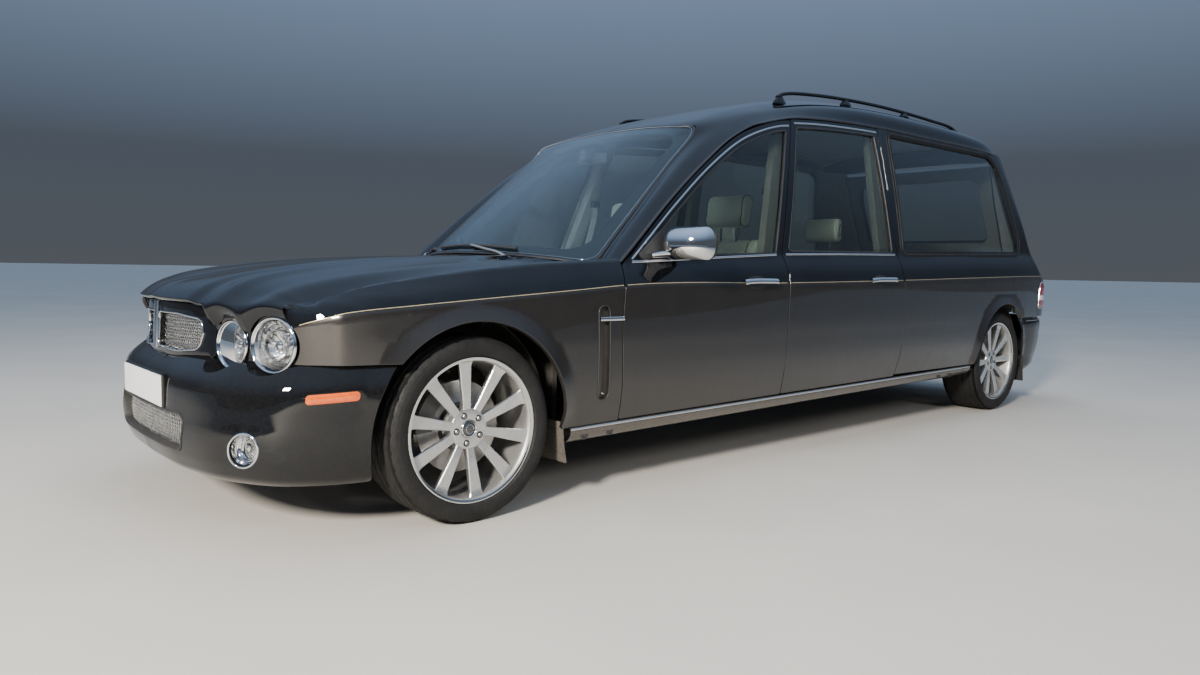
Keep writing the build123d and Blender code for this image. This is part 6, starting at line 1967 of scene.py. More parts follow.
CHROME_TOP_F = mm([(770, 972), (779, 979), (838, 1029), (1077, 1229), (1338, 1422), (1597, 1573), (1798, 1648), (1942, 1684), (2000, 1692)])
CHROME_TOP_R = mm([(2050, 1712), (2242, 1731), (2705, 1756), (2866, 1761)])
for side, hand in SIDES:
    f = side_map(side)
    for name, hole, body in (("front_door", F_WIN, f"front_door_{hand}"), ("rear_door", R_WIN, f"rear_door_{hand}"), ("deck", D_WIN, "body")):
        loop = dense(hole, 0.012)
        if area(loop) < 0:
            loop = loop[::-1]
        if name != "deck":
            p, a, n = surface_line(f, loop, side, closed=True)
            prof = [(-0.0045, -0.012), (-0.0045, 0.0008), (-0.002, 0.0022), (0.002, 0.0022), (0.0055, 0.0006), (0.0055, -0.012)]
            d = sweep_data(p, a, n, prof, closed=True)
            make(f"{name}_window_seal_{hand}", d, SEAL, body)
    parts = {"front": [], "rear": []}
    strip("", f, dense(curve(CHROME_TOP_F[1:], 6), 0.012, False), side, CHROME, 0.0095, 0.0042, parts=parts["front"])
    strip("", f, dense(mm([(776, 967.5), (846, 970), (1260, 994), (1763, 1020.5)]), 0.02, False), side, CHROME, 0.0105, 0.0045, parts=parts["front"])
    strip("", f, dense(curve(CHROME_TOP_R, 6), 0.012, False), side, CHROME, 0.0095, 0.0042, parts=parts["rear"])
    strip("", f, dense(mm([(1838, 1024), (2300, 1036), (2883, 1046.5)]), 0.02, False), side, CHROME, 0.0105, 0.0045, parts=parts["rear"])
    make(f"front_door_bright_{hand}", join_data(parts["front"]), CHROME, f"front_door_{hand}")
    make(f"rear_door_bright_{hand}", join_data(parts["rear"]), CHROME, f"rear_door_{hand}")
    # coachline just over the lower colour, panel by panel
    for name, lo, hi, body in (("wing", -0.640, 0.706, "body"), ("front_door", 0.722, 1.815, f"front_door_{hand}"),
                               ("rear_door", 1.832, 2.926, f"rear_door_{hand}"), ("quarter", 2.942, 4.93, "body")):
        ya = np.arange(lo, hi, 0.02)
        g = wing_map(side) if name == "wing" else (quarter_map(side) if name == "quarter" else f)
        zl = (wing_swage(ya) if name == "wing" else swage_z(ya)) + 0.0035
        uv = np.stack([ya, zl], 1)
        if name == "quarter":
            uu = np.arange(lo, 5.19, 0.02)
            yy = quarter_map(1)(np.stack([uu, np.full_like(uu, 0.92)], 1))[:, 1] + MID
            uv = np.stack([uu, swage_z(np.minimum(yy, 4.95)) + 0.0035], 1)
        d = []
        strip("", g, uv, side, PIN, 0.0030, 0.0010, parts=d)
        make(f"{name}_coachline_{hand}", join_data(d), PIN, body)
    # handles
    for name, y0, y1, z, body in (("front_door", 1.472, 1.722, 0.884, f"front_door_{hand}"), ("rear_door", 2.574, 2.828, 0.896, f"rear_door_{hand}")):
        cx, half = (y0 + y1) / 2, (y1 - y0) / 2
        cup = np.array([(cx - 0.03 + 0.078 * cos(a_), z + 0.030 * sin(a_)) for a_ in 2 * pi * np.arange(40) / 40])

        def cup_map(uv, f=f, cx=cx, z=z, side=side):
            q = ((uv[:, 0] - cx + 0.03) / 0.078) ** 2 + ((uv[:, 1] - z) / 0.030) ** 2
            return f(uv) - frame_at(f, uv, side) * (-0.0012 + 0.0005 * np.clip(1 - q, 0, 1))[:, None]
        ob = panel(f"{name}_handle_cup_{hand}", cup_map, cup, TRIM, step=0.012, edge=0.008, depth=0.002, lip=0.0006, sign=side, inner=0)
        put(ob, body)
        line = np.stack([np.linspace(y0, y1, 26), np.full(26, z)], 1)
        p, a, n = surface_line(f, line, side)
        s = np.abs(np.linspace(-1, 1, 26))
        lift = 0.004 + 0.030 * np.clip(1 - s ** 5, 0, 1)
        p = p + n * lift[:, None]
        hw, hh = 0.0125, 0.0065
        prof = [(hw * cos(a_), hh * sin(a_)) for a_ in 2 * pi * np.arange(14) / 14]
        make(f"{name}_handle_{hand}", sweep_data(p, a, n, prof), CHROME, body)
        lock = circle(y1 - 0.016 if name == "front_door" else y0 + 0.012, z - 0.001, 0.008, 20)

# ---------------------------------------------------------------- door mirrors

def mirror_shell(side, k0, k1, inset=0.0, rows=26, cols=64):
    """Part of the mirror's rounded body between two levels, 0 at its foot and 1 at its crown."""
    out = []
    for i in range(rows):
        t = k0 + (k1 - k0) * i / (rows - 1)
        z = 0.976 + 0.148 * t
        g = (max(1e-4, 1 - abs(2 * t - 0.92) ** 2.6 / (1.08 if t > 0.46 else 0.93) ** 2.6)) ** 0.5
        row = []
        for j in range(cols):
            a = 2 * pi * j / cols
            ca, sa = cos(a), sin(a)
            e = 2.6
            rad = (abs(ca) ** e + abs(sa) ** e) ** (-1 / e)
            px, py = rad * ca, rad * sa
            hx = (0.1035 - inset) * (0.62 + 0.38 * g)
            hy = (0.088 - inset) * g
            x = 0.9880 + hx * px
            y = 1.026 + hy * (py * (1.05 - 0.16 * px) if py < 0 else py * 0.72) + 0.030 * (px * 0.55 + 0.1)
            row.append((side * x, y - MID, z))
        out.append(row)
    return np.array(out)


for side, hand in SIDES:
    body = f"front_door_{hand}"
    for nm, k0, k1, mat, sl in (("cap", 0.40, 0.999, CHROME, "chrome"), ("base", 0.04, 0.385, CHROME, "chrome")):
        p = mirror_shell(side, k0, k1)
        d = grid_data(p, closed_u=True)
        c = p.reshape(-1, 3).mean(0)
        if ((d[0] - c) * d[2]).sum() < 0:
            d = grid_data(p, closed_u=True, flip=True)
        make(f"mirror_{nm}_{hand}", d, mat, body, f"mirror_{hand}")
    p = mirror_shell(side, 0.375, 0.41, inset=0.004, rows=4)
    d = grid_data(p, closed_u=True)
    if ((d[0] - p.reshape(-1, 3).mean(0)) * d[2]).sum() < 0:
        d = grid_data(p, closed_u=True, flip=True)
    make(f"mirror_joint_{hand}", d, TRIM, body)
    # glass in the rear face
    gl = rounded([(0.915, 0.998), (1.070, 0.998), (1.078, 1.095), (0.925, 1.100)], 0.024, 6)

    def face_map(uv, side=side):
        return np.stack([side * uv[:, 0], 1.083 + 0.045 * (uv[:, 0] - 0.993) - MID + 0.0 * uv[:, 1], uv[:, 1]], 1)
    ob = panel(f"mirror_glass_{hand}", face_map, gl, MIRROR_GLASS, step=0.04, edge=0.01, depth=0.004, lip=0.001, sign=-side, inner=0)
    put(ob, body)
    ob = panel(f"mirror_frame_{hand}", face_map, rounded([(0.906, 0.989), (1.079, 0.989), (1.088, 1.104), (0.916, 1.109)], 0.030, 6), TRIM,
               holes=[gl], step=0.03, edge=0.01, depth=0.012, lip=0.002, sign=-side, inner=0)
    put(ob, body)
    # foot on the door
    foot = [np.array([side * x, y - MID, z]) for x, y, z in ((0.862, 0.925, 0.998), (0.885, 0.945, 1.004), (0.915, 0.975, 1.008), (0.950, 1.005, 1.010))]
    line = curve(np.array(foot), 6)
    t = unit(np.gradient(line, axis=0))
    ac = unit(np.cross(t, np.tile([0, 0, 1.0], (len(line), 1))))
    up_ = unit(np.cross(ac, t))
    prof = [(0.050 * cos(a_), 0.017 * sin(a_)) for a_ in 2 * pi * np.arange(28) / 28]
    make(f"mirror_foot_{hand}", sweep_data(line, ac, up_, prof), CHROME, body)
    sail = rounded(mm([(800, 985), (965, 990), (1010, 1060), (980, 1118), (880, 1045)]), 0.012, 4)
    ob = panel(f"mirror_sail_{hand}", pushed(side_map(side), 0.0015, side), sail, TRIM, step=0.03, edge=0.01, depth=0.006, lip=0.0015, sign=side, inner=0)
    put(ob, body)

# ---------------------------------------------------------------- rear quarters

def y_to_u(y, z):
    y, z = np.asarray(y, float), np.asarray(z, float)
    ys, yr = table(CORNER, z).T
    l1 = ys - TURN_S
    xs = side_x(ys, z)
    l2 = 0.92 * (np.abs(xs - CORNER_X) + (yr - ys)) * 0.86
    return np.where(y <= TURN_S, y, TURN_S + TURN_L * (y - TURN_S) / (l1 + l2))


RB_Z = 0.643
a0r = -degrees(atan2(TYRE_R - 0.349, sqrt(ARCH_R ** 2 - (TYRE_R - 0.349) ** 2)))
a1r = degrees(atan2(RB_Z - TYRE_R, sqrt(ARCH_R ** 2 - (RB_Z - TYRE_R) ** 2)))
arc = arc_points(WHEELBASE, TYRE_R, ARCH_R, a1r, 180 - a0r, 60)
arc[:, 0] = y_to_u(arc[:, 0], arc[:, 1])
U_END = TURN_S + TURN_L
q_top = np.stack([np.linspace(2.892, U_END, 60), np.interp(np.linspace(2.892, U_END, 60), [2.89, 3.4, 3.9, 4.30, 4.40, 4.50, 4.62, U_END], [1.786, 1.790, 1.792, 1.791, 1.789, 1.785, 1.781, 1.776])], 1)
Q_OUT = np.vstack([curve(mm([(2894, 349), (2904, 399), (2938, 658)]), 4), curve(mm([(2938, 658), (2938, 904), (2915, 1050), (2892, 1786)]), 4)[1:],
                   q_top[1:], dense([(U_END, 1.766), (U_END, RB_Z)], 0.02, False)[1:], dense([(U_END, RB_Z), (arc[0, 0], RB_Z)], 0.02, False)[1:-1], arc])
TAIL = rounded([(4.812, 0.702), (5.140, 0.702), (5.140, 0.893), (4.838, 0.893)], [0.02, 0.02, 0.03, 0.05], 6)


def quarter_zone(uv):
    y = quarter_map(1)(uv)[:, 1] + MID
    return (uv[:, 1] < swage_z(np.minimum(y, 4.95))).astype(int) * 2


uu = np.linspace(2.90, U_END, 120)
yy = quarter_map(1)(np.stack([uu, np.full_like(uu, 0.92)], 1))[:, 1] + MID
sw = swage_z(np.minimum(yy, 4.95))
q_lines = [np.stack([uu, sw + dz], 1) for dz in (0.0, -0.007, -0.016, -0.034, 0.006)]
ys2 = table(SIDE, np.minimum(yy, 4.95))
q_lines += [np.stack([uu, ys2[:, 2]], 1), np.stack([uu[:80], ys2[:80, 10]], 1)]
for rad_ in (FLARE_R - 0.002, 0.432):
    ar = arc_points(WHEELBASE, TYRE_R, rad_, a1r + 2, 180 - a0r - 2, 60)
    ar[:, 0] = y_to_u(ar[:, 0], ar[:, 1])
    q_lines.append(ar)
for side, hand in SIDES:
    f = quarter_map(side)
    ob = panel(f"rear_quarter_{hand}_skin", f, Q_OUT, [BLACK, LINING, GRAPHITE], holes=[D_WIN, TAIL], step=0.034, edge=0.016, lines=q_lines,
               depth=0.030, sign=side, zone=quarter_zone, inner=1)
    put(ob, "body", "rear_quarters")
    # deck glass, its thick rubber and a black bead in it
    g = side_map(side)
    glass_pane(f"deck_window_{hand}", g, D_WIN, side, DECK_WINDOW_GLASS, "body", "deck_side_glass", inset=0.006, thick=0.005)
    inner_loop = dense(D_WIN, 0.014)
    if area(inner_loop) < 0:
        inner_loop = inner_loop[::-1]
    p, a, n = surface_line(g, inner_loop, side, closed=True)
    prof = [(-0.030, -0.008), (-0.030, 0.001), (-0.024, 0.0045), (-0.010, 0.006), (0.006, 0.005), (0.012, 0.0015), (0.012, -0.008)]
    make(f"deck_window_rubber_{hand}", sweep_data(p, a, n, prof, closed=True), GLASS_RUBBER, "body")
    prof = [(-0.0135, 0.004), (-0.0135, 0.0068), (-0.0110, 0.0078), (-0.0085, 0.0068), (-0.0085, 0.004)]
    make(f"deck_window_bead_{hand}", sweep_data(p, a, n, prof, closed=True), TRIM, "body")
    # seal between the quarter's head and the roof
    line = q_top[(q_top[:, 0] > 3.95)]
    p, a, n = surface_line(f, line, side)
    up_sign = 1 if a[:, 2].mean() > 0 else -1
    prof = [(-0.010, -0.014), (-0.010, -0.007), (0.016, -0.010), (0.016, -0.017)]
    make(f"roof_seal_{hand}", fix_winding(sweep_data(p, a * up_sign, n, prof)), GLASS_RUBBER, "body")
    # fuel flap
    flap = rounded([(4.655, 0.745), (4.790, 0.745), (4.790, 0.880), (4.655, 0.880)], 0.02, 6)
    if side < 0:
        loop = dense(flap, 0.01)
        p, a, n = surface_line(f, loop[::-1] if area(loop) < 0 else loop, side, closed=True)
        make("fuel_flap_joint", sweep_data(p, a, n, [(-0.0015, -0.004), (-0.0015, 0.0004), (0.0015, 0.0004), (0.0015, -0.004)], closed=True), TRIM, "body")
    # tail lamp
    def lens_f(uv, f=f, side=side):
        d_ = np.minimum(np.minimum(uv[:, 0] - 4.80, 5.150 - uv[:, 0]), np.minimum(uv[:, 1] - 0.696, 0.899 - uv[:, 1]))
        return f(uv) + frame_at(f, uv, side) * (0.010 * np.sqrt(np.clip(d_ / 0.05, 0, 1)) - 0.004)[:, None]
    ob = panel(f"tail_lamp_{hand}", lens_f, TAIL, [RED, CLEAR_LENS], step=0.014, edge=0.008, depth=0.012, lip=0.001, sign=side,
               lines=[np.stack([np.linspace(4.80, 5.15, 34), np.full(34, zt)], 1) for zt in (0.760, 0.795)],
               zone=lambda m: ((m[:, 1] > 0.760) & (m[:, 1] < 0.795)).astype(int), inner=0)
    put(ob, "body", "tail_lamps")
    loop = dense(TAIL, 0.012)
    p, a, n = surface_line(f, loop if area(loop) > 0 else loop[::-1], side, closed=True)
    make(f"tail_lamp_rim_{hand}", sweep_data(p, a, n, [(-0.004, -0.01), (-0.004, 0.0015), (0, 0.003), (0.004, 0.0015), (0.004, -0.01)], closed=True), CHROME, "body")
    tl = []
    for zt in (0.730, 0.820, 0.850):
        line = np.stack([np.linspace(4.842, 5.128, 30), np.full(30, zt)], 1)
        p, a, n = surface_line(lens_f, line, side)
        tl.append(sweep_data(p, a, n, [(-0.0018, -0.001), (-0.0012, 0.0016), (0.0012, 0.0016), (0.0018, -0.001)]))
    make(f"tail_lamp_ribs_{hand}", join_data(tl), RED, "body")

# ---------------------------------------------------------------- tailgate

GATE = [(0.640, 5.202), (0.660, 5.204), (0.720, 5.209), (0.800, 5.211), (0.860, 5.208), (0.900, 5.192), (0.930, 5.163), (0.960, 5.129),
        (1.000, 5.088), (1.050, 5.040), (1.100, 4.996), (1.200, 4.926), (1.300, 4.879), (1.500, 4.778), (1.700, 4.699), (1.765, 4.672),
        (1.80, 4.655)]


def gate_map(uv):
    x, z = uv[:, 0], uv[:, 1]
    y = table(GATE, z)[:, 0] + 0.010 * (1 - (x / 0.6) ** 2)
    return np.stack([-x, y - MID, z], 1)


G_OUT = rounded([(-0.5955, 0.650), (0.5955, 0.650), (0.5955, 1.750), (-0.5955, 1.750)], 0.015, 4)
G_WIN = rounded([(-0.515, 1.200), (0.515, 1.200), (0.500, 1.665), (-0.500, 1.665)], [0.06, 0.06, 0.08, 0.08], 8)
g_lines = [np.stack([np.linspace(-0.6, 0.6, 40), np.full(40, z)], 1) for z in (0.896, 0.932, 0.944, 0.925)]
ob = panel("tailgate_skin", gate_map, G_OUT, [BLACK, DOOR_CARD, GRAPHITE], holes=[G_WIN], step=0.035, edge=0.016, lines=g_lines, depth=0.035, sign=1,
           zone=lambda m: (m[:, 1] < 0.932).astype(int) * 2, inner=1)
put(ob, "tailgate", "tailgate")


def gate_in(by):
    def g(uv):
        return gate_map(uv) - frame_at(gate_map, uv, 1) * by
    return g


ob = panel("tailgate_window", gate_in(0.008), G_WIN, WINDOW, step=0.06, edge=0.02, depth=0.005, lip=0.001, sign=1, inner=0)
put(ob, "tailgate", "tailgate_glass")
loop = dense(G_WIN, 0.014)
p, a, n = surface_line(gate_map, loop if area(loop) > 0 else loop[::-1], 1, closed=True)
make("tailgate_window_rubber", sweep_data(p, a, n, [(-0.020, -0.008), (-0.020, 0.001), (-0.014, 0.004), (0.006, 0.004), (0.012, 0.001), (0.012, -0.008)], closed=True), SEAL, "tailgate")
line = np.stack([np.linspace(-0.36, 0.36, 40), np.full(40, 0.868)], 1)
p, a, n = surface_line(gate_map, line, 1)
make("tailgate_plate_bar", sweep_data(p, a, n, [(-0.018, -0.002), (-0.018, 0.010), (-0.012, 0.018), (0.008, 0.020), (0.018, 0.008), (0.018, -0.002)]), CHROME, "tailgate")
make("rear_plate_blank", box_data((-0.260, 5.2285 - MID, 0.722), (0.260, 5.232 - MID, 0.833), 0.0012), PLATE_YELLOW, "tailgate")
make("rear_plate_holder", box_data((-0.268, 5.204 - MID, 0.716), (0.268, 5.2283 - MID, 0.839), 0.004), TRIM, "tailgate")
line = np.stack([np.linspace(-0.597, 0.597, 60), np.full(60, 0.9355)], 1)
p, a, n = surface_line(gate_map, line, 1)
make("tailgate_coachline", sweep_data(p, a, n, [(-0.0015, -0.001), (-0.001, 0.001), (0.001, 0.001), (0.0015, -0.001)]), PIN, "tailgate")
# high brake lamp over the window, wiperless glass
line = np.stack([np.linspace(-0.16, 0.16, 24), np.full(24, 1.715)], 1)
p, a, n = surface_line(gate_map, line, 1)
make("high_brake_lamp", sweep_data(p, a, n, [(-0.011, -0.004), (-0.011, 0.003), (-0.007, 0.006), (0.007, 0.006), (0.011, 0.003), (0.011, -0.004)]), RED, "tailgate")

# ---------------------------------------------------------------- rear bumper

RBU = [0.0, 0.40, 0.70, 0.88, 1.05, 1.38]
RBT = [
    (0.236, [(0, 5.150), (0.392, 5.138), (0.660, 5.074), (0.778, 4.990), (0.822, 4.890), (0.838, 4.690)]),
    (0.254, [(0, 5.205), (0.398, 5.193), (0.676, 5.126), (0.796, 5.030), (0.842, 4.914), (0.858, 4.698)]),
    (0.330, [(0, 5.275), (0.400, 5.263), (0.690, 5.190), (0.812, 5.085), (0.858, 4.942), (0.876, 4.668)]),
    (0.420, [(0, 5.318), (0.400, 5.306), (0.700, 5.230), (0.822, 5.120), (0.868, 4.960), (0.890, 4.640)]),
    (0.520, [(0, 5.330), (0.400, 5.317), (0.700, 5.241), (0.828, 5.128), (0.878, 4.960), (0.900, 4.615)]),
    (0.584, [(0, 5.335), (0.400, 5.322), (0.700, 5.246), (0.830, 5.131), (0.884, 4.960), (0.906, 4.602)]),
    (0.606, [(0, 5.326), (0.400, 5.313), (0.698, 5.238), (0.827, 5.126), (0.882, 4.958), (0.905, 4.600)]),
    (0.634, [(0, 5.286), (0.398, 5.274), (0.688, 5.200), (0.812, 5.102), (0.870, 4.950), (0.898, 4.600)]),
]
rb_net = Net(RBU, [r[0] for r in RBT], np.array([[(x, a - MID, z) for x, a in half] for z, half in RBT]))


def rear_bumper_map(uv):
    u, z = uv[:, 0], uv[:, 1]
    p = rb_net(np.abs(u), z)
    rr = np.hypot(p[:, 1] + MID - WHEELBASE, z - TYRE_R)
    t = np.clip((FLARE_R - rr) / (FLARE_R - ARCH_R), 0, 1.3)
    x = p[:, 0] + 0.012 * t ** 1.15 * (np.abs(u) > 0.8)
    return np.stack([-np.sign(u) * x, p[:, 1], p[:, 2]], 1)


def solve_rear(z, want):
    lo, hi = np.full(len(z), 0.9), np.full(len(z), 1.55)
    for _ in range(40):
        m = (lo + hi) / 2
        y = rear_bumper_map(np.stack([m, z], 1))[:, 1] + MID
        lo, hi = np.where(y > want, m, lo), np.where(y > want, hi, m)
    return (lo + hi) / 2


zz = np.linspace(0.240, 0.636, 26)
ue = solve_rear(zz, WHEELBASE + np.sqrt(ARCH_R ** 2 - (zz - TYRE_R) ** 2))
redge = np.stack([ue, zz], 1)
RB_OUT = np.vstack([dense([(-0.9, 0.239), (0.9, 0.239)], 0.03, False), redge, (redge * [-1, 1])[::-1]])
pipes = [rounded([(s_ * 0.525 - 0.062, 0.246), (s_ * 0.525 + 0.062, 0.246), (s_ * 0.525 + 0.062, 0.292), (s_ * 0.525 - 0.062, 0.292)], 0.018, 5) for s_ in (1, -1)]
rb_lines = [np.stack([np.linspace(-1.2, 1.2, 90), np.full(90, z)], 1) for z in (0.254, 0.584, 0.606)]
ob = panel("rear_bumper_skin", rear_bumper_map, RB_OUT, [BUMPER_BLACK, TRIM], holes=pipes, step=0.034, edge=0.016, lines=rb_lines, depth=0.012, sign=1, inner=1)
put(ob, "body", "rear_bumper")
us_ = np.linspace(-1.20, 1.20, 80)
outer = rear_bumper_map(np.stack([us_, np.full(80, 0.634)], 1))
ax_ = np.abs(outer[:, 0])
inner_y = np.interp(ax_, [0, 0.60, 0.72, 0.80, 0.86, 0.91], [5.180, 5.175, 5.10, 5.02, 4.90, 4.60])
inner_p = np.stack([outer[:, 0] * 0.955, inner_y - MID, np.full(80, 0.640)], 1)
rows = np.array([outer * (1 - t) + inner_p * t for t in np.linspace(0, 1, 5)])
d = grid_data(rows, depth=0.004)
if d[2][200, 2] < 0:
    d = grid_data(rows, depth=0.004, flip=True)
make("rear_bumper_shelf", d, BUMPER_BLACK, "body")
for s_, hand in ((1, "right"), (-1, "left")):
    line = np.stack([s_ * np.linspace(0.60, 1.28, 50), np.full(50, 0.612)], 1)
    p, a, n = surface_line(rear_bumper_map, line, 1)
    make(f"rear_bumper_line_{hand}", sweep_data(p, a, n, [(-0.003, -0.001), (-0.002, 0.0016), (0.002, 0.0016), (0.003, -0.001)]), CHROME, "body")
    rl = rounded([(0.615, 0.330), (0.730, 0.330), (0.730, 0.372), (0.615, 0.372)], 0.012, 5) * [s_, 1]
    ob = panel(f"rear_reflector_{hand}", pushed(rear_bumper_map, 0.002), rl if s_ > 0 else rl[::-1], RED, step=0.02, edge=0.01, depth=0.005, lip=0.001, sign=1, inner=0)
    put(ob, "body")

# ---------------------------------------------------------------- sills and mud flaps

for side, hand in SIDES:
    ya = np.linspace(0.440, 3.850, 90)
    k = (ya - 0.425) / (3.868 - 0.425)
    zb, zt = 0.238 + (0.282 - 0.238) * k, 0.300 + (0.338 - 0.300) * k
    prof = []
    for y, b, t in zip(ya, zb, zt):
        h = t - b
        q = curve(np.array([(0.806, t), (0.860, t + 0.001), (0.900, t), (0.9065, t - 0.008), (0.9075, t - 0.018), (0.900, b + 0.45 * h), (0.880, b + 0.12 * h), (0.862, b), (0.806, b)]), 4)
        prof.append([(side * x, y - MID, z) for x, z in q])
    d = grid_data(np.array(prof))
    c = np.array(prof)[:, :, 0].mean()
    if (d[2][:, 0] * (d[0][:, 0] - c)).sum() < 0:
        d = grid_data(np.array(prof), flip=True)
    make(f"sill_{hand}_skin", d, surface(f"sill_paint_{hand}", (0.050, 0.042, 0.034), 0.42, metal=0.45, coat=0.8, coat_rough=0.08, vary=0.12, flake=0.4, dust=0.5, dust_top=0.5, bump=0.05, bump_scale=300),
         "body", "sills")
    line = np.stack([np.full(90, side * 0.9055), ya - MID, zt - 0.004], 1)
    ac = np.tile([0, 0, 1.0], (90, 1))
    out_ = np.tile([side * 1.0, 0, 0], (90, 1))
    make(f"sill_bright_{hand}", sweep_data(line, ac, out_, [(-0.0045, -0.002), (-0.0045, 0.0018), (0, 0.0032), (0.0045, 0.0018), (0.0045, -0.002)]), CHROME, "body")
    bungs = []
    for y in (0.516, 0.652, 3.44, 3.58):
        i = int(np.argmin(np.abs(ya - y)))
        bungs.append(moved(revolve_data([(0.0, 0.019), (0.004, 0.018), (0.0045, 0.014), (0.002, 0.012), (0.002, 1e-4)], 28, side=side), shift=(side * 0.899, y - MID, zb[i] + 0.45 * (zt[i] - zb[i]))))
    make(f"sill_bungs_{hand}", join_data(bungs), TRIM, "body")
    for nm, y, z0, z1 in (("front", 0.412, 0.165, 0.330), ("rear", WHEELBASE + 0.412, 0.175, 0.360)):
        rows = []
        for t in np.linspace(0, 1, 12):
            z = z1 - (z1 - z0) * t
            yy_ = y - MID - 0.004 + 0.020 * t ** 2
            wv = [(side * (0.735 + 0.165 * s), yy_ + 0.004 * sin(pi * s), z) for s in np.linspace(0, 1, 14)]
            rows.append(wv)
        d = grid_data(np.array(rows), depth=0.006)
        make(f"mud_flap_{nm}_{hand}", fix_winding(d), TRIM if nm == "rear" else surface(f"mud_flap_rubber_{hand}", (0.035, 0.032, 0.028), 0.7, vary=0.2, bump=0.3, bump_scale=200, dust=0.6, dust_top=0.6), "body")

# ---------------------------------------------------------------- roof rails

RAIL = mm([(2075, 1866), (2105, 1884), (2150, 1896), (2400, 1925), (3000, 1955), (3400, 1957), (3700, 1951), (4000, 1937), (4042, 1926), (4060, 1916)])
for side, hand in SIDES:
    line = dense(curve(RAIL, 5), 0.02, False)
    pts = np.stack([np.full(len(line), side * 0.618), line[:, 0] - MID, line[:, 1]], 1)
    t = unit(np.gradient(pts, axis=0))
    ac = np.tile([1.0, 0, 0], (len(pts), 1))
    up_ = unit(np.cross(ac, t))
    prof = [(0.013 * cos(a_), 0.0105 * sin(a_)) for a_ in 2 * pi * np.arange(16) / 16]
    parts = [sweep_data(pts, ac, up_, prof)]
    RAIL_DARK = BUMPER_BLACK
    for y in (2.095, 2.72, 3.38, 4.035):
        zt = float(np.interp(y, line[:, 0], line[:, 1]))
        u_ = np.interp(y, [2.0, 2.25, 2.7, 3.05, 3.4, 3.75, 4.1], [1.32, 1.62, 2.05, 2.40, 2.75, 3.10, 3.45])
        pr = roof_net([u_], [0.195])[0]
        zb_ = pr[2] - 0.004
        rows = []
        for s in np.linspace(0, 1, 8):
            z = zb_ + (zt - zb_) * s
            wy, wx = 0.055 - 0.035 * smooth(s) , 0.022 - 0.011 * smooth(s)
            rows.append([(side * 0.618 + wx * cos(a_), y - MID + wy * sin(a_), z) for a_ in 2 * pi * np.arange(20) / 20])
        d = grid_data(np.array(rows), closed_u=True)
        if ((d[0] - d[0].mean(0)) * d[2])[:, :2].sum() < 0:
            d = grid_data(np.array(rows), closed_u=True, flip=True)
        parts.append(d)
    make(f"roof_rail_{hand}", join_data(parts), BUMPER_BLACK, "body", "roof_rails")

# rubber line in the gutter, and the lining under the roof
for side, hand in SIDES:
    uu = np.linspace(0.02, 3.9, 150)
    p = roof_net(uu, np.full(150, 0.004)) * [side, 1, 1]
    e1 = roof_net(uu, np.full(150, 0.03)) * [side, 1, 1]
    t = unit(np.gradient(p, axis=0))
    ac = unit(e1 - p)
    out_ = unit(np.cross(ac, t)) * (1 if side > 0 else -1)
    if (out_[:, 0] * side).mean() < 0:
        out_ = -out_
    make(f"gutter_rubber_{hand}", sweep_data(p, ac, out_, [(-0.010, -0.004), (-0.010, 0.0), (-0.006, 0.0025), (0.002, 0.0025), (0.004, 0.0), (0.004, -0.004)]), SEAL, "body")
us_l = np.linspace(1.0, ROOF_END - 0.25, 44)
vs_l = np.linspace(0.10, 0.82, 18)
pl = net_grid(roof_net, us_l, vs_l)
nl = net_normals(roof_net, us_l, vs_l, 1)
if nl[..., 2].mean() < 0:
    nl = -nl
pl = pl - nl * 0.040
make("roof_lining", both(fix_winding(grid_data(pl, depth=0.004, normals=nl))), LINING, "body")


# ---------------------------------------------------------------- seats

def pad_mesh(outline, x0, x1, radius=0.035, end=0.05, n_x=26, bolster=None):
    """A cushion's closed form before it is filled: an outline (length, height) carried across with rounded ends."""
    loop = dense(rounded(outline, radius, 6), 0.016)
    c = loop.mean(0)
    rows = []
    half = (x1 - x0) / 2
    for s in np.sin(np.linspace(-pi / 2, pi / 2, n_x)):
        x = (x0 + x1) / 2 + half * s
        e = max(0.0, (abs(s) * half - (half - end)) / end)
        inset = end * 0.55 * (1 - sqrt(max(0.0, 1 - e * e)))
        d = c - loop
        dl = np.linalg.norm(d, axis=1, keepdims=True)
        q = loop + d / dl * np.minimum(inset, dl * 0.6)
        row = np.stack([np.full(len(q), x), q[:, 0] - MID, q[:, 1]], 1)
        if bolster:
            row = bolster(row, s)
        rows.append(row)
    p = np.array(rows)
    r, k = p.shape[:2]
    v = p.reshape(-1, 3)
    faces = []
    for i in range(r - 1):
        for j in range(k):
            faces.append((i * k + j, i * k + (j + 1) % k, (i + 1) * k + (j + 1) % k, (i + 1) * k + j))
    faces.append(tuple(range(k))[::-1])
    faces.append(tuple(range((r - 1) * k, r * k)))
    return v, faces


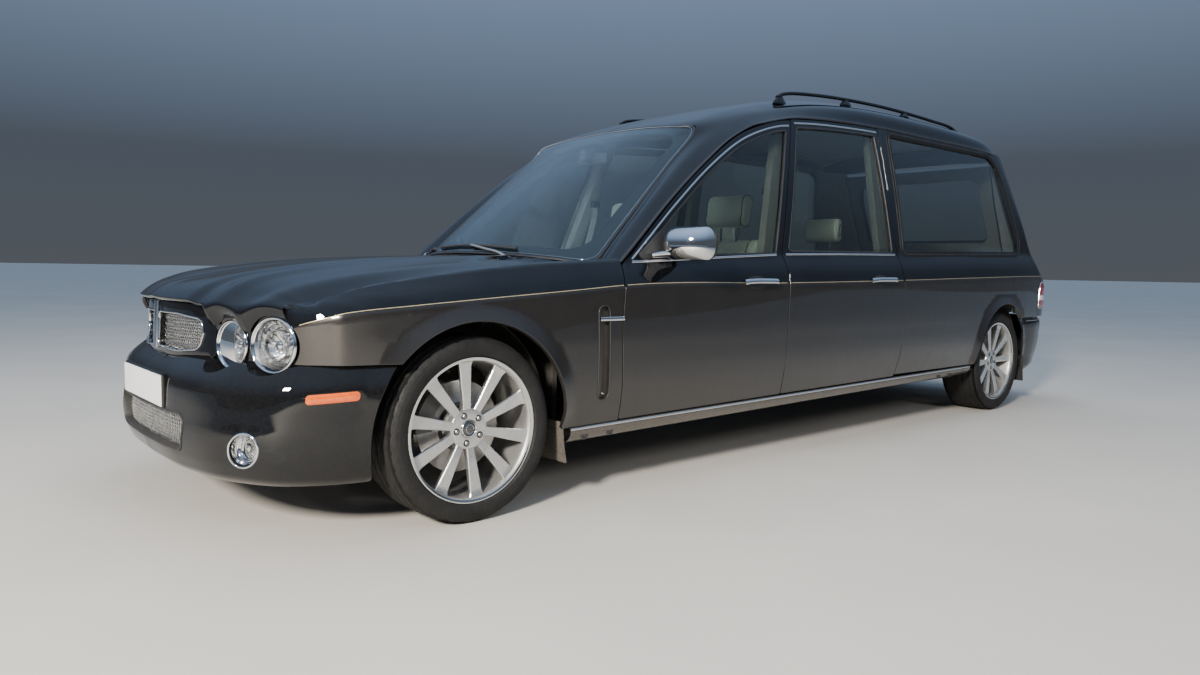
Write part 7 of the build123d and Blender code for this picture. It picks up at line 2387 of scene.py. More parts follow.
def filled(name, mesh_data, mat, body, replaces=(), voxel=0.010, cap=0.014, pressure=4.0, seams=None):
    """A leather cushion swelled by a short cloth simulation whose result is kept."""
    import bmesh
    v, f = mesh_data
    me = bpy.data.meshes.new(name)
    me.from_pydata([tuple(map(float, q)) for q in v], [], [tuple(map(int, q)) for q in f])
    bm = bmesh.new()
    bm.from_mesh(me)
    bmesh.ops.recalc_face_normals(bm, faces=bm.faces)
    bm.to_mesh(me)
    bm.free()
    me.materials.append(mat)
    ob = bpy.data.objects.new(name, me)
    bpy.context.scene.collection.objects.link(ob)
    PIECES[name] = ob
    bpy.context.view_layer.objects.active = ob
    mod = ob.modifiers.new("remesh", "REMESH")
    mod.mode = "VOXEL"
    mod.voxel_size = voxel
    deps = bpy.context.evaluated_depsgraph_get()
    done = bpy.data.meshes.new_from_object(ob.evaluated_get(deps))
    ob.modifiers.clear()
    ob.data = done
    if not done.materials:
        done.materials.append(mat)
    count = len(done.vertices)
    rest = np.zeros(count * 3, np.float32)
    done.vertices.foreach_get("co", rest)
    rest = rest.reshape(-1, 3).astype(float)
    cl = ob.modifiers.new("cloth", "CLOTH")
    st = cl.settings
    st.quality = 5
    st.mass = 0.4
    st.use_pressure = True
    st.uniform_pressure_force = pressure
    st.tension_stiffness = 22
    st.compression_stiffness = 22
    st.shear_stiffness = 12
    st.bending_stiffness = 1.2
    st.effector_weights.gravity = 0
    cl.collision_settings.use_collision = False
    sc = bpy.context.scene
    for fr in range(1, 17):
        sc.frame_set(fr)
    deps = bpy.context.evaluated_depsgraph_get()
    ev = ob.evaluated_get(deps)
    sim = np.zeros(count * 3, np.float32)
    ev.data.vertices.foreach_get("co", sim)
    sim = sim.reshape(-1, 3).astype(float)
    ob.modifiers.clear()
    sc.frame_set(1)
    move = sim - rest
    length = np.linalg.norm(move, axis=1, keepdims=True)
    good = np.isfinite(length).all()
    if good:
        rest = rest + move * np.minimum(1, cap / np.maximum(length, 1e-9))
    normals = np.zeros(count * 3, np.float32)
    done.vertices.foreach_set("co", rest.astype(np.float32).ravel())
    done.update()
    done.vertices.foreach_get("normal", normals)
    normals = normals.reshape(-1, 3).astype(float)
    if seams is not None:
        rest = rest - normals * seams(rest, normals)[:, None]
        done.vertices.foreach_set("co", rest.astype(np.float32).ravel())
    done.update()
    sub = ob.modifiers.new("sub", "SUBSURF")
    sub.levels = sub.render_levels = 1
    deps = bpy.context.evaluated_depsgraph_get()
    fine = bpy.data.meshes.new_from_object(ob.evaluated_get(deps))
    ob.modifiers.clear()
    ob.data = fine
    fine.polygons.foreach_set("use_smooth", [True] * len(fine.polygons))
    fine.update()
    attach(ob, body)
    if replaces:
        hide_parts(*([replaces] if isinstance(replaces, str) else replaces))
    return ob


def twin(ob, name, flip=True, shift=0.0, body="body", replaces=()):
    """The same finished cushion on the other side of the car."""
    me = ob.data.copy()
    me.name = name
    co = np.zeros(len(me.vertices) * 3, np.float32)
    me.vertices.foreach_get("co", co)
    co = co.reshape(-1, 3)
    if flip:
        co[:, 0] *= -1
    co[:, 1] += shift
    me.vertices.foreach_set("co", co.ravel())
    if flip:
        me.flip_normals()
    me.update()
    o2 = bpy.data.objects.new(name, me)
    bpy.context.scene.collection.objects.link(o2)
    PIECES[name] = o2
    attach(o2, body)
    if replaces:
        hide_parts(*([replaces] if isinstance(replaces, str) else replaces))
    return o2


def groove(d, width=0.011, deep=0.006):
    return deep * np.exp(-(d / width) ** 2)


def seat_seams(p, n):
    """Sewn lines of a front seat: one down each side of the middle, and channels between them."""
    dx = np.abs(p[:, 0] - 0.40)
    g = groove(dx - 0.148)
    y, z = p[:, 1] + MID, p[:, 2]
    cush = z < 0.62
    inside_ = dx < 0.145
    along_ = np.where(cush, y, z)
    ch = np.full(len(p), 1.0)
    for c in np.arange(1.40, 1.80, 0.062):
        ch = np.minimum(ch, np.where(cush, np.abs(along_ - c), 1.0))
    for c in np.arange(0.62, 1.10, 0.075):
        ch = np.minimum(ch, np.where(~cush, np.abs(along_ - c), 1.0))
    g = np.maximum(g, np.where(inside_, groove(ch, 0.010, 0.0045), 0))
    return g


def bench_seams(p, n):
    g = np.zeros(len(p))
    for c in (-0.46, -0.17, 0.17, 0.46):
        g = np.maximum(g, groove(p[:, 0] - c))
    return g


def seat_bolster(row, s, c=0.40, w=0.25):
    k = smooth((abs(s) - 0.60) / 0.22) * (1 - smooth((abs(s) - 0.93) / 0.07))
    mid_z = row[:, 2].mean()
    row = row.copy()
    row[:, 2] += 0.022 * k * (row[:, 2] > mid_z)
    return row


def back_bolster(row, s):
    k = smooth((abs(s) - 0.60) / 0.22) * (1 - smooth((abs(s) - 0.93) / 0.07))
    row = row.copy()
    c = row[:, 1].mean()
    lean = (row[:, 2] - 0.5) * 0.24
    front = (row[:, 1] - lean) < (row[:, 1] - lean).mean()
    row[:, 1] -= 0.020 * k * front
    return row


def inset_outline(pts, d):
    c = np.array(pts, float).mean(0)
    q = np.array(pts, float)
    v = c - q
    return q + v / np.linalg.norm(v, axis=1, keepdims=True) * d


CUSH = mm([(1335, 305), (1830, 305), (1850, 500), (1345, 555)])
BACKR = mm([(1785, 510), (1900, 505), (2035, 1110), (1962, 1130)])
HEADR = mm([(1896, 1172), (1988, 1162), (2020, 1344), (1926, 1360)])
POST_CLOTH = surface("post_lining_grey", (0.10, 0.10, 0.094), 0.85, vary=0.1, vary_scale=30, bump=0.5, bump_scale=1400, sheen=0.2)
fc_ = filled("front_seat_cushion_left", pad_mesh(inset_outline(CUSH, 0.012), 0.160, 0.640, bolster=seat_bolster), LEATHER, "body", "front_seats",
             voxel=0.0178, seams=seat_seams)
fbk = filled("front_seat_back_left", pad_mesh(inset_outline(BACKR, 0.006), 0.160, 0.640, radius=0.030, bolster=back_bolster), LEATHER, "body", "front_seats",
             voxel=0.0178, seams=seat_seams, cap=0.010)


def head_seams(p, n):
    """The headrest's own seams: a band down each side."""
    dx = p[:, 0] - 0.40
    return groove(np.abs(dx) - 0.122, 0.008, 0.003)


fh = filled("front_headrest_left", pad_mesh(inset_outline(HEADR, 0.005), 0.268, 0.532, radius=0.042, end=0.018), LEATHER, "body", "front_seats",
            voxel=0.0105, cap=0.008, seams=head_seams)
for o_ in (fc_, fbk, fh):
    twin(o_, o_.name.replace("left", "right"), replaces="front_seats")
RC = mm([(1485, 305), (1895, 305), (1895, 515), (1495, 555)]) + [0.87, 0]
RB = mm([(1835, 525), (1955, 525), (2035, 1070), (1962, 1080)]) + [0.87, 0]
RH = mm([(1950, 1125), (2018, 1118), (2026, 1262), (1964, 1272)]) + [0.87, 0]
filled("rear_seat_cushion", pad_mesh(inset_outline(RC, 0.012), -0.675, 0.675, n_x=60), LEATHER, "body", "rear_seat", voxel=0.0245, seams=bench_seams)
filled("rear_seat_back", pad_mesh(inset_outline(RB, 0.006), -0.675, 0.675, n_x=60, radius=0.030), LEATHER, "body", "rear_seat", voxel=0.0245, cap=0.010,
       seams=bench_seams)
rh = filled("rear_headrest_left", pad_mesh(inset_outline(RH, 0.002), 0.276, 0.524, radius=0.036, end=0.018), LEATHER, "body", "rear_seat",
            voxel=0.0105, cap=0.007, seams=head_seams)
twin(rh, "rear_headrest_right", replaces="rear_seat")


def tube_data(points, radius, n=10, closed=False):
    pts = np.asarray(points, float)
    if closed:
        t = unit(np.roll(pts, -1, 0) - np.roll(pts, 1, 0))
    else:
        t = unit(np.gradient(pts, axis=0))
    ref = np.tile([0.0, 0.0, 1.0], (len(pts), 1))
    ref[np.abs(t[:, 2]) > 0.9] = [1.0, 0, 0]
    # carry the frame along so that it does not twist
    ac = np.zeros_like(pts)
    a = unit(np.cross(t[0], ref[0]))
    for i in range(len(pts)):
        a = unit(a - t[i] * (a @ t[i]))
        ac[i] = a
    up_ = np.cross(ac, t)
    rad = np.broadcast_to(radius, (len(pts),))
    th = 2 * pi * np.arange(n) / n
    prof = np.stack([np.cos(th), np.sin(th)], 1)
    p = pts[:, None] + (ac[:, None] * prof[None, :, 0:1] + up_[:, None] * prof[None, :, 1:2]) * rad[:, None, None]
    norm = unit(p - pts[:, None])
    faces = []
    m = len(pts)
    for i in range(m if closed else m - 1):
        for j in range(n):
            i2, j2 = (i + 1) % m, (j + 1) % n
            faces.append((i * n + j, i * n + j2, i2 * n + j2, i2 * n + j))
    v, nv = p.reshape(-1, 3), norm.reshape(-1, 3)
    if not closed:
        faces.append(tuple(range(n)))
        faces.append(tuple(range((m - 1) * n, m * n)))
    f0 = faces[0]
    fn_ = np.cross(v[f0[1]] - v[f0[0]], v[f0[3]] - v[f0[0]])
    if fn_ @ nv[f0[0]] < 0:
        faces = [q[::-1] for q in faces]
    return v, faces, nv


def hug(ob, pts, out, lift=0.001):
    """Points moved on to an object's surface along a direction."""
    from mathutils.bvhtree import BVHTree
    bm_v = [v.co.copy() for v in ob.data.vertices]
    tree = BVHTree.FromPolygons(bm_v, [tuple(p.vertices) for p in ob.data.polygons])
    res = []
    d = Vector(out).normalized()
    for p in pts:
        hit = tree.ray_cast(Vector(p) + d * 0.3, -d, 0.6)
        if hit[0] is not None:
            res.append(np.array(hit[0]) + np.array(d) * lift)
    return np.array(res)


def hug_loop(ob, x, centre, n=72):
    """A loop round an object's surface at one place across."""
    from mathutils.bvhtree import BVHTree
    tree = BVHTree.FromPolygons([v.co.copy() for v in ob.data.vertices], [tuple(p.vertices) for p in ob.data.polygons])
    c = Vector((x, centre[0] - MID, centre[1]))
    res = []
    for k in range(n):
        d = Vector((0, cos(2 * pi * k / n), sin(2 * pi * k / n)))
        hit = tree.ray_cast(c + d * 0.4, -d, 0.6)
        if hit[0] is not None:
            res.append(np.array(hit[0]) + np.array(d) * 0.0006)
    return np.array(res)


pipes_ = []
bz = np.linspace(0.60, 1.10, 26)
for sx in (-1, 1):
    xs_ = 0.40 + sx * 0.152
    pts = hug(fbk, [(xs_, 1.80 + (z - 0.5) * 0.26 - MID, z) for z in bz], (0, -1, 0.1))
    if len(pts) > 4:
        pipes_.append(tube_data(pts, 0.0035))
    pts = hug(fbk, [(0.40 + sx * 0.222, 1.90 + (z - 0.5) * 0.26 - MID, z) for z in bz], (0, 1, 0))
    if len(pts) > 4:
        pipes_.append(tube_data(pts, 0.0035))
    pts = hug(fc_, [(xs_, y - MID, 0.5) for y in np.linspace(1.38, 1.78, 24)], (0, 0, 1))
    if len(pts) > 4:
        pipes_.append(tube_data(pts, 0.0035))
    for pad, outline in ((fh, HEADR), (rh, RH)):
        pts = hug_loop(pad, 0.40 + sx * 0.122, outline.mean(0))
        if len(pts) > 20:
            pipes_.append(tube_data(pts, 0.0034, closed=True))
d = join_data(pipes_)
make("seat_piping", join_data([d, mirror_x(d)]), PIPING, "body", "front_seats")
posts = []
for c, y0 in ((0.40, 0.0), (0.40, 0.87)):
    for dx in (-0.055, 0.055):
        z0, z1 = (1.095, 1.215) if y0 == 0 else (1.045, 1.150)
        pts = [(c + dx, (1.962 + y0 if y0 == 0 else 1.985 + y0) - MID + (z - 1.1) * 0.05, z) for z in np.linspace(z0, z1, 6)]
        posts.append(tube_data(pts, 0.0065))
d = join_data(posts)
make("headrest_posts", join_data([d, mirror_x(d)]), CHROME, "body", ["front_seats", "rear_seat"])
bases = []
for y0, y1, x0, x1 in ((1.36, 1.80, 0.20, 0.60),):
    bases.append(box_data((x0, y0 - MID, 0.276), (x1, y1 - MID, 0.330), 0.012))
    for xx in (0.215, 0.565):
        bases.append(box_data((xx, y0 - 0.03 - MID, 0.275), (xx + 0.03, y1 + 0.06 - MID, 0.300), 0.004))
d = join_data(bases)
make("seat_bases", join_data([d, mirror_x(d)]), TRIM, "body", "front_seats")

# ---------------------------------------------------------------- dashboard, console and steering

prof = curve(np.array([(0.765, 0.642), (0.980, 0.645), (1.060, 0.690), (1.086, 0.770), (1.090, 0.860), (1.072, 0.915), (1.030, 0.950), (0.960, 0.968),
                       (0.880, 0.965), (0.800, 0.950), (0.765, 0.930)]), 6)
rows = []
for x in np.concatenate([-0.70 + 0.03 * (1 - np.cos(np.linspace(0, pi / 2, 5))), np.linspace(-0.66, 0.66, 60), 0.70 - 0.03 * (1 - np.cos(np.linspace(pi / 2, 0, 5)))]):
    e = max(0, (abs(x) - 0.66) / 0.04)
    sh = 0.03 * (1 - sqrt(max(0, 1 - e * e)))
    q = prof.copy()
    c = q.mean(0)
    q = q + (c - q) / np.linalg.norm(c - q, axis=1, keepdims=True) * sh
    b = np.exp(-((x + 0.39) / 0.17) ** 4)
    q[:, 1] += 0.030 * b * smooth((q[:, 1] - 0.90) / 0.05)
    q[:, 0] += 0.022 * b * smooth((q[:, 1] - 0.88) / 0.05) * (q[:, 0] > 0.98)
    rows.append([(x, a - MID, z) for a, z in q])
d = grid_data(np.array(rows))
c = np.array(rows).reshape(-1, 3).mean(0)
if ((d[0] - c) * d[2])[:, 1:].sum() < 0:
    d = grid_data(np.array(rows), flip=True)
make("dashboard_skin", d, DASH, "body", "dashboard")
make("dashboard_veneer", join_data([box_data((-0.655, 1.082 - MID, 0.770), (0.655, 1.0935 - MID, 0.832), 0.004)]), WOOD, "body")
bits = []
for x in (-0.60, -0.075, 0.075, 0.60):
    bits.append(box_data((x - 0.055, 1.086 - MID, 0.842), (x + 0.055, 1.0965 - MID, 0.888), 0.008))
make("dashboard_vents", join_data(bits), TRIM, "body")
slats = []
for x in (-0.60, -0.075, 0.075, 0.60):
    for z in np.linspace(0.850, 0.880, 5):
        slats.append(box_data((x - 0.048, 1.094 - MID, z - 0.0012), (x + 0.048, 1.0985 - MID, z + 0.0012), 0.0006))
make("dashboard_vent_slats", join_data(slats), CHROME, "body")
dials = []
for x, r in ((-0.479, 0.034), (-0.301, 0.034)):
    ring_ = revolve_data([(0.0, r), (0.004, r), (0.005, r - 0.003), (0.002, r - 0.005), (0.001, 1e-4)], 40)
    m = np.array([[0, 1, 0], [1, 0, 0], [0, 0, 1.0]])
    dials.append(moved((ring_[0][:, [1, 0, 2]], [q[::-1] for q in ring_[1]], ring_[2][:, [1, 0, 2]]), shift=(x, 1.101 - MID, 0.868)))
make("dashboard_dials", join_data(dials), CHROME, "body")
make("centre_stack", join_data([box_data((-0.130, 1.060 - MID, 0.600), (0.130, 1.112 - MID, 0.765), 0.012)]), DASH, "body")
make("centre_screen", box_data((-0.085, 1.108 - MID, 0.665), (0.085, 1.1135 - MID, 0.752), 0.002), CAP_DARK, "body")
keys = [box_data((-0.10 + 0.034 * i, 1.109 - MID, 0.615 + 0.02 * j), (-0.074 + 0.034 * i, 1.1155 - MID, 0.628 + 0.02 * j), 0.002) for i in range(6) for j in range(2)]
make("centre_keys", join_data(keys), TRIM, "body")
rows = []
for y in np.concatenate([[0.80], np.linspace(0.83, 1.47, 20), [1.49, 1.50]]):
    top = 0.600 - 0.02 * smooth((y - 1.0) / 0.3)
    e = smooth((y - 1.46) / 0.04)
    w, t = 0.118 - 0.015 * e, top - 0.03 * e
    q = rounded([(-w, 0.277), (w, 0.277), (w - 0.008, t), (-w + 0.008, t)], [0.004, 0.004, 0.022, 0.022], 5)
    rows.append([(a, y - MID, b) for a, b in q])
rows = np.array(rows)
d = grid_data(rows, closed_u=True)
if ((d[0] - d[0].mean(0)) * d[2])[:, [0, 2]].sum() < 0:
    d = grid_data(rows, closed_u=True, flip=True)
make("console_skin", d, DASH, "body", "dashboard")
make("console_end", box_data((-0.104, 1.492 - MID, 0.285), (0.104, 1.505 - MID, 0.555), 0.006), DASH, "body")
make("console_veneer", box_data((-0.092, 0.98 - MID, 0.5915), (0.092, 1.30 - MID, 0.600), 0.003), WOOD, "body")
knob = revolve_data([(0.0, 0.030), (0.012, 0.027), (0.016, 0.010), (0.070, 0.008), (0.074, 0.018), (0.090, 0.022), (0.104, 0.018), (0.110, 1e-4)], 28)
make("gear_lever", moved((knob[0][:, [1, 2, 0]], knob[1], knob[2][:, [1, 2, 0]]), shift=(0.0, 1.12 - MID, 0.598)), DASH, "body")
make("console_armrest", box_data((-0.095, 1.31 - MID, 0.585), (0.095, 1.49 - MID, 0.622), 0.014), DOOR_CARD, "body")

TILT = radians(24.0)
axis = np.array([0, cos(TILT), sin(TILT)])
sw_c = np.array([-0.390, 1.060 - MID + 0.080 * cos(TILT), 0.850 + 0.080 * sin(TILT)])
ex, ey = np.array([1.0, 0, 0]), np.cross(axis, [1.0, 0, 0])
th = 2 * pi * np.arange(96) / 96
rim = sw_c + 0.1790 * (np.cos(th)[:, None] * ex + np.sin(th)[:, None] * ey)
make("steering_rim", tube_data(rim, 0.0128 + 0.0012 * np.cos(th * 2) ** 4, 16, closed=True), DASH, "steering_wheel", "steering_wheel")
spk = []
upside = ey if ey[2] > 0 else -ey
for ang in (0.0, pi, -pi / 2 - 0.42, -pi / 2 + 0.42):
    dvec = cos(ang) * ex + sin(ang) * upside
    line = np.array([sw_c - axis * 0.004 + dvec * r for r in np.linspace(0.045, 0.172, 10)])
    side_v = np.cross(axis, dvec)
    spk.append(sweep_data(line, np.tile(side_v, (10, 1)), np.tile(axis, (10, 1)), [(-0.017, -0.004), (-0.017, 0.003), (-0.010, 0.007), (0.010, 0.007), (0.017, 0.003), (0.017, -0.004)]))
hub = revolve_data([(-0.030, 0.030), (-0.020, 0.058), (0.000, 0.064), (0.010, 0.062), (0.018, 0.050), (0.021, 0.02), (0.0215, 1e-4)], 48)
rot = np.stack([axis, ex, np.cross(axis, ex)], 1)
spk.append(moved(hub, rot, sw_c))
make("steering_hub_and_spokes", join_data(spk), DASH, "steering_wheel")
col_ = np.array([sw_c - axis * s for s in np.linspace(0.045, 0.16, 8)])
make("steering_column_shroud", tube_data(col_, np.linspace(0.036, 0.048, 8), 20), DASH, "body")
stalks = [tube_data(curve(np.array([sw_c - axis * 0.055 + ex * s * 0.03, sw_c - axis * 0.050 + ex * s * 0.10, sw_c - axis * 0.040 + ex * s * 0.150]), 6), 0.007, 10) for s in (1, -1)]
make("steering_stalks", join_data(stalks), TRIM, "body")

# ---------------------------------------------------------------- posts, belts, door cards and carpets

POSTS = [[(0.366, 1.812, 0.812, 0.060), (1.040, 1.812, 0.800, 0.050), (1.735, 2.030, 0.690, 0.045), (1.790, 2.036, 0.704, 0.040)],
         [(0.366, 2.906, 0.812, 0.060), (1.040, 2.906, 0.800, 0.050), (1.784, 2.888, 0.690, 0.045), (1.816, 2.888, 0.700, 0.040)]]
for side, hand in SIDES:
    lo_parts, hi_parts = [], []
    for rows_p in POSTS:
        tabl = np.array(rows_p)
        for z0, z1, dest in ((0.366, 1.03, lo_parts), (1.03, tabl[-1, 0] - 0.024, hi_parts)):
            rows = []
            for z in np.linspace(z0, z1, 14):
                a, xo, w = (np.interp(z, tabl[:, 0], tabl[:, k]) for k in (1, 2, 3))
                q = rounded([(xo - 0.046, a - w), (xo, a - w), (xo, a + w), (xo - 0.046, a + w)], [0.014, 0.003, 0.003, 0.014], 4)
                rows.append([(side * x, y - MID, z) for x, y in q])
            rows = np.array(rows)
            d = grid_data(rows, closed_u=True)
            if ((d[0] - d[0].mean(0)) * d[2])[:, :2].sum() < 0:
                d = grid_data(rows, closed_u=True, flip=True)
            dest.append(d)
    make(f"post_trim_low_{hand}", join_data(lo_parts), DASH, "body")
    make(f"post_trim_high_{hand}", join_data(hi_parts), POST_CLOTH, "body")
    # front belt: from the post's guide down to the reel
    BELT = surface(f"belt_webbing_{hand}", (0.16, 0.165, 0.16), 0.7, vary=0.12, vary_scale=60, bump=0.7, bump_scale=1500, sheen=0.2)
    for nm, y0, yt in (("front", 1.852, 1.925),):
        line = curve(np.array([(side * 0.742, y0 - MID, 0.420), (side * 0.738, y0 + 0.005 - MID, 0.90), (side * 0.700, yt - MID, 1.30), (side * 0.690, yt - 0.01 - MID, 1.335)]), 8)
        t = unit(np.gradient(line, axis=0))
        ac = unit(np.cross(t, np.tile([side, 0, 0.0], (len(line), 1))))
        out_ = np.cross(ac, t)
        prof = [(-0.023, -0.0007), (-0.023, 0.0007), (0.023, 0.0007), (0.023, -0.0007)]
        make(f"{nm}_belt_{hand}", sweep_data(line - [side * 0.012, 0, 0], ac, out_, prof), BELT, "body")
        make(f"{nm}_belt_guide_{hand}", box_data((min(side * 0.668, side * 0.700), yt - 0.035 - MID, 1.325), (max(side * 0.668, side * 0.700), yt + 0.035 - MID, 1.370), 0.008), TRIM, "body")
    # door cards: padded armrest, veneer and pull
    for nm, y0, y1, body in (("front_door", 0.98, 1.66, f"front_door_{hand}"), ("rear_door", 2.02, 2.72, f"rear_door_{hand}")):
        xo = 0.852
        rows = []
        for y in np.linspace(y0, y1, 24):
            e = abs(y - (y0 + y1) / 2) / ((y1 - y0) / 2)
            g = 0.055 * (1 - e ** 6) + 0.004
            q = rounded([(xo, 0.600), (xo - g, 0.610), (xo - g - 0.006, 0.665), (xo, 0.690)], [0.004, 0.02, 0.02, 0.004], 5)
            rows.append([(side * x, y - MID, z) for x, z in q])
        rows = np.array(rows)
        d = grid_data(rows, closed_u=True)
        if ((d[0] - d[0].mean(0)) * d[2])[:, [0, 2]].sum() < 0:
            d = grid_data(rows, closed_u=True, flip=True)
        make(f"{nm}_armrest_{hand}", d, DOOR_CARD, body)
        make(f"{nm}_card_veneer_{hand}", box_data((min(side * 0.842, side * 0.850), y0 + 0.02 - MID, 0.905), (max(side * 0.842, side * 0.850), y1 - 0.02 - MID, 0.950), 0.003), WOOD, body)
        make(f"{nm}_pull_{hand}", box_data((min(side * 0.834, side * 0.846), y0 + 0.08 - MID, 0.790), (max(side * 0.834, side * 0.846), y0 + 0.20 - MID, 0.815), 0.004), CHROME, body)

rows = []
for x in np.linspace(-0.775, 0.775, 46):
    rows.append([(x, y - MID, 0.2755 + 0.006 * (0.5 + 0.5 * sin(x * 9 + y * 5)) * 0.3 + 0.004) for y in np.linspace(0.80, 3.0, 60)])
d = grid_data(np.array(rows), depth=0.004)
if d[2][100, 2] < 0:
    d = grid_data(np.array(rows), depth=0.004, flip=True)
make("cab_carpet", d, CARPET, "body")
mats_ = []
for x in (-0.40, 0.40):
    mats_.append(box_data((x - 0.22, 0.90 - MID, 0.281), (x + 0.22, 1.28 - MID, 0.288), 0.003))
make("floor_mats", join_data(mats_), CARPET, "body")

# ---------------------------------------------------------------- coffin deck

DECK_Y0, DECK_Y1, DECK_Z = 2.962, 4.828, 0.816
make("deck_boards", join_data([box_data((-0.798 + 0.1 * 0 + 0.1995 * k, DECK_Y0 - MID, DECK_Z - 0.020), (-0.798 + 0.1995 * (k + 1) - 0.0012, DECK_Y1 - MID, DECK_Z), 0.0012) for k in range(8)]),
     WOOD, "body", "coffin_deck")
sides_ = [box_data((-0.798, DECK_Y0 - 0.006 - MID, 0.300), (0.798, DECK_Y0 + 0.012 - MID, DECK_Z - 0.021), 0.003)]
make("deck_front_board", join_data(sides_), WOOD, "body")
strips_ = []
for x in (-0.62, -0.30, 0.30, 0.62):
    strips_.append(box_data((x - 0.012, DECK_Y0 + 0.03 - MID, DECK_Z - 0.001), (x + 0.012, DECK_Y1 - 0.03 - MID, DECK_Z + 0.0032), 0.0015))
make("deck_bright_strips", join_data(strips_), WIPER, "body")
rollers, cradles = [], []
for y in (3.06, 3.50, 3.94, 4.38, 4.77):
    r_ = revolve_data([(-0.20, 1e-4), (-0.20, 0.018), (-0.197, 0.020), (0.197, 0.020), (0.20, 0.018), (0.20, 1e-4)], 24)
    rollers.append(moved(r_, shift=(0, y - MID, DECK_Z + 0.016)))
    for s in (-1, 1):
        cradles.append(box_data((s * 0.214 - 0.012, y - 0.022 - MID, DECK_Z - 0.001), (s * 0.214 + 0.012, y + 0.022 - MID, DECK_Z + 0.026), 0.004))
make("deck_rollers", join_data(rollers), TRIM, "body")
make("deck_roller_cradles", join_data(cradles), CHROME, "body")
pins = []
for y in (3.25, 4.55):
    for x in (-0.30, 0.30):
        q = revolve_data([(0.0, 0.024), (0.004, 0.024), (0.006, 0.012), (0.050, 0.011), (0.052, 0.020), (0.062, 0.020), (0.064, 1e-4)], 24)
        pins.append(moved((q[0][:, [1, 2, 0]], q[1], q[2][:, [1, 2, 0]]), shift=(x, y - MID, DECK_Z + 0.002)))
make("deck_bier_pins", join_data(pins), CHROME, "body")
for side, hand in SIDES:
    rows = []
    for y in np.linspace(2.975, 4.80, 40):
        xw = float(side_x([y], [1.05])[0]) - 0.040
        q = curve(np.array([(0.790, DECK_Z + 0.001), (0.806, DECK_Z + 0.012), (0.826, 0.90), (0.5 * (0.826 + xw), 0.98), (xw, 1.052), (xw + 0.022, 1.060)]), 5)
        rows.append([(side * x, y - MID, z) for x, z in q])
    rows = np.array(rows)
    d = grid_data(rows, depth=0.004)
    nx_m = (d[2][:len(rows) * rows.shape[1], 0] * side).mean()
    if nx_m > 0:
        d = grid_data(rows, depth=0.004, flip=True)
    make(f"deck_side_lining_{hand}", d, DOOR_CARD, "body")
    line = np.stack([np.full(60, side * 0.800), np.linspace(2.98, 4.80, 60) - MID, np.full(60, DECK_Z + 0.008)], 1)
    make(f"deck_side_bead_{hand}", tube_data(line, 0.006, 10), CHROME, "body")

# ---------------------------------------------------------------- nodes kept from the CAD

for name, mat in (("floor_pan", UNDER), ("bulkhead", UNDER), ("front_wheel_housings", LINER), ("rear_wheel_housings", LINER), ("front_subframe", CAST),
                  ("rear_axle", CAST), ("engine", CAST), ("knuckle_left", CAST), ("knuckle_right", CAST)):
    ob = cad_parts[name]
    ob.data.materials.clear()
    ob.data.materials.append(mat)

# exhaust: pipes, silencers, the cross pipes behind the axle and open tail pipes
ex = []
for s_ in (1, -1):
    ex.append(tube_data(np.stack([np.full(40, s_ * 0.170), np.linspace(0.702, 5.088, 40) - MID, np.full(40, 0.205)], 1), 0.0272, 20))
    ex.append(box_data((min(s_ * 0.096, s_ * 0.284), 1.592 - MID, 0.168), (max(s_ * 0.096, s_ * 0.284), 2.208 - MID, 0.242), 0.026))
    ex.append(box_data((min(s_ * 0.096, s_ * 0.284), 4.642 - MID, 0.168), (max(s_ * 0.096, s_ * 0.284), 5.058 - MID, 0.242), 0.026))
    bend = curve(np.array([(s_ * 0.184, 5.088, 0.205), (s_ * 0.30, 5.090, 0.205), (s_ * 0.40, 5.090, 0.207), (s_ * 0.452, 5.092, 0.211), (s_ * 0.470, 5.110, 0.215)]) - [0, MID, 0], 8)
    ex.append(tube_data(bend, 0.0222, 20))
    tip = revolve_data([(0.0, 1e-4), (0.0, 0.028), (0.006, 0.0315), (0.020, 0.0318), (0.148, 0.0318), (0.155, 0.0312), (0.1575, 0.0298), (0.1570, 0.0284),
                        (0.150, 0.0278), (0.030, 0.0278), (0.030, 1e-4)], 40)
    tip = fix_winding((tip[0][:, [1, 0, 2]], tip[1], tip[2][:, [1, 0, 2]]))
    ex.append(moved(tip, shift=(s_ * 0.470, 5.081 - MID, 0.215)))
make("exhaust_pipes", join_data(ex), EXHAUST, "body", "exhaust")
# near-black lining and floor inside each closed tip: real soot, and painted shade for the pipe running on inward
soot_and_shade = []
for s_ in (1, -1):
    core = revolve_data([(0.146, 0.0276), (0.040, 0.0272), (0.036, 0.0265), (0.035, 1e-4)], 36)
    core = fix_winding((core[0][:, [1, 0, 2]], core[1], -np.abs(core[2][:, [1, 0, 2]]) * [0, 0, 0] + np.stack([-core[0][:, 1], np.full(len(core[0]), 0.02), -core[0][:, 2]], 1)))
    core = (core[0], core[1], unit(core[2]))
    soot_and_shade.append(moved(core, shift=(s_ * 0.470, 5.081 - MID, 0.215)))
make("tail_pipe_soot", join_data(soot_and_shade), LINER, "body")

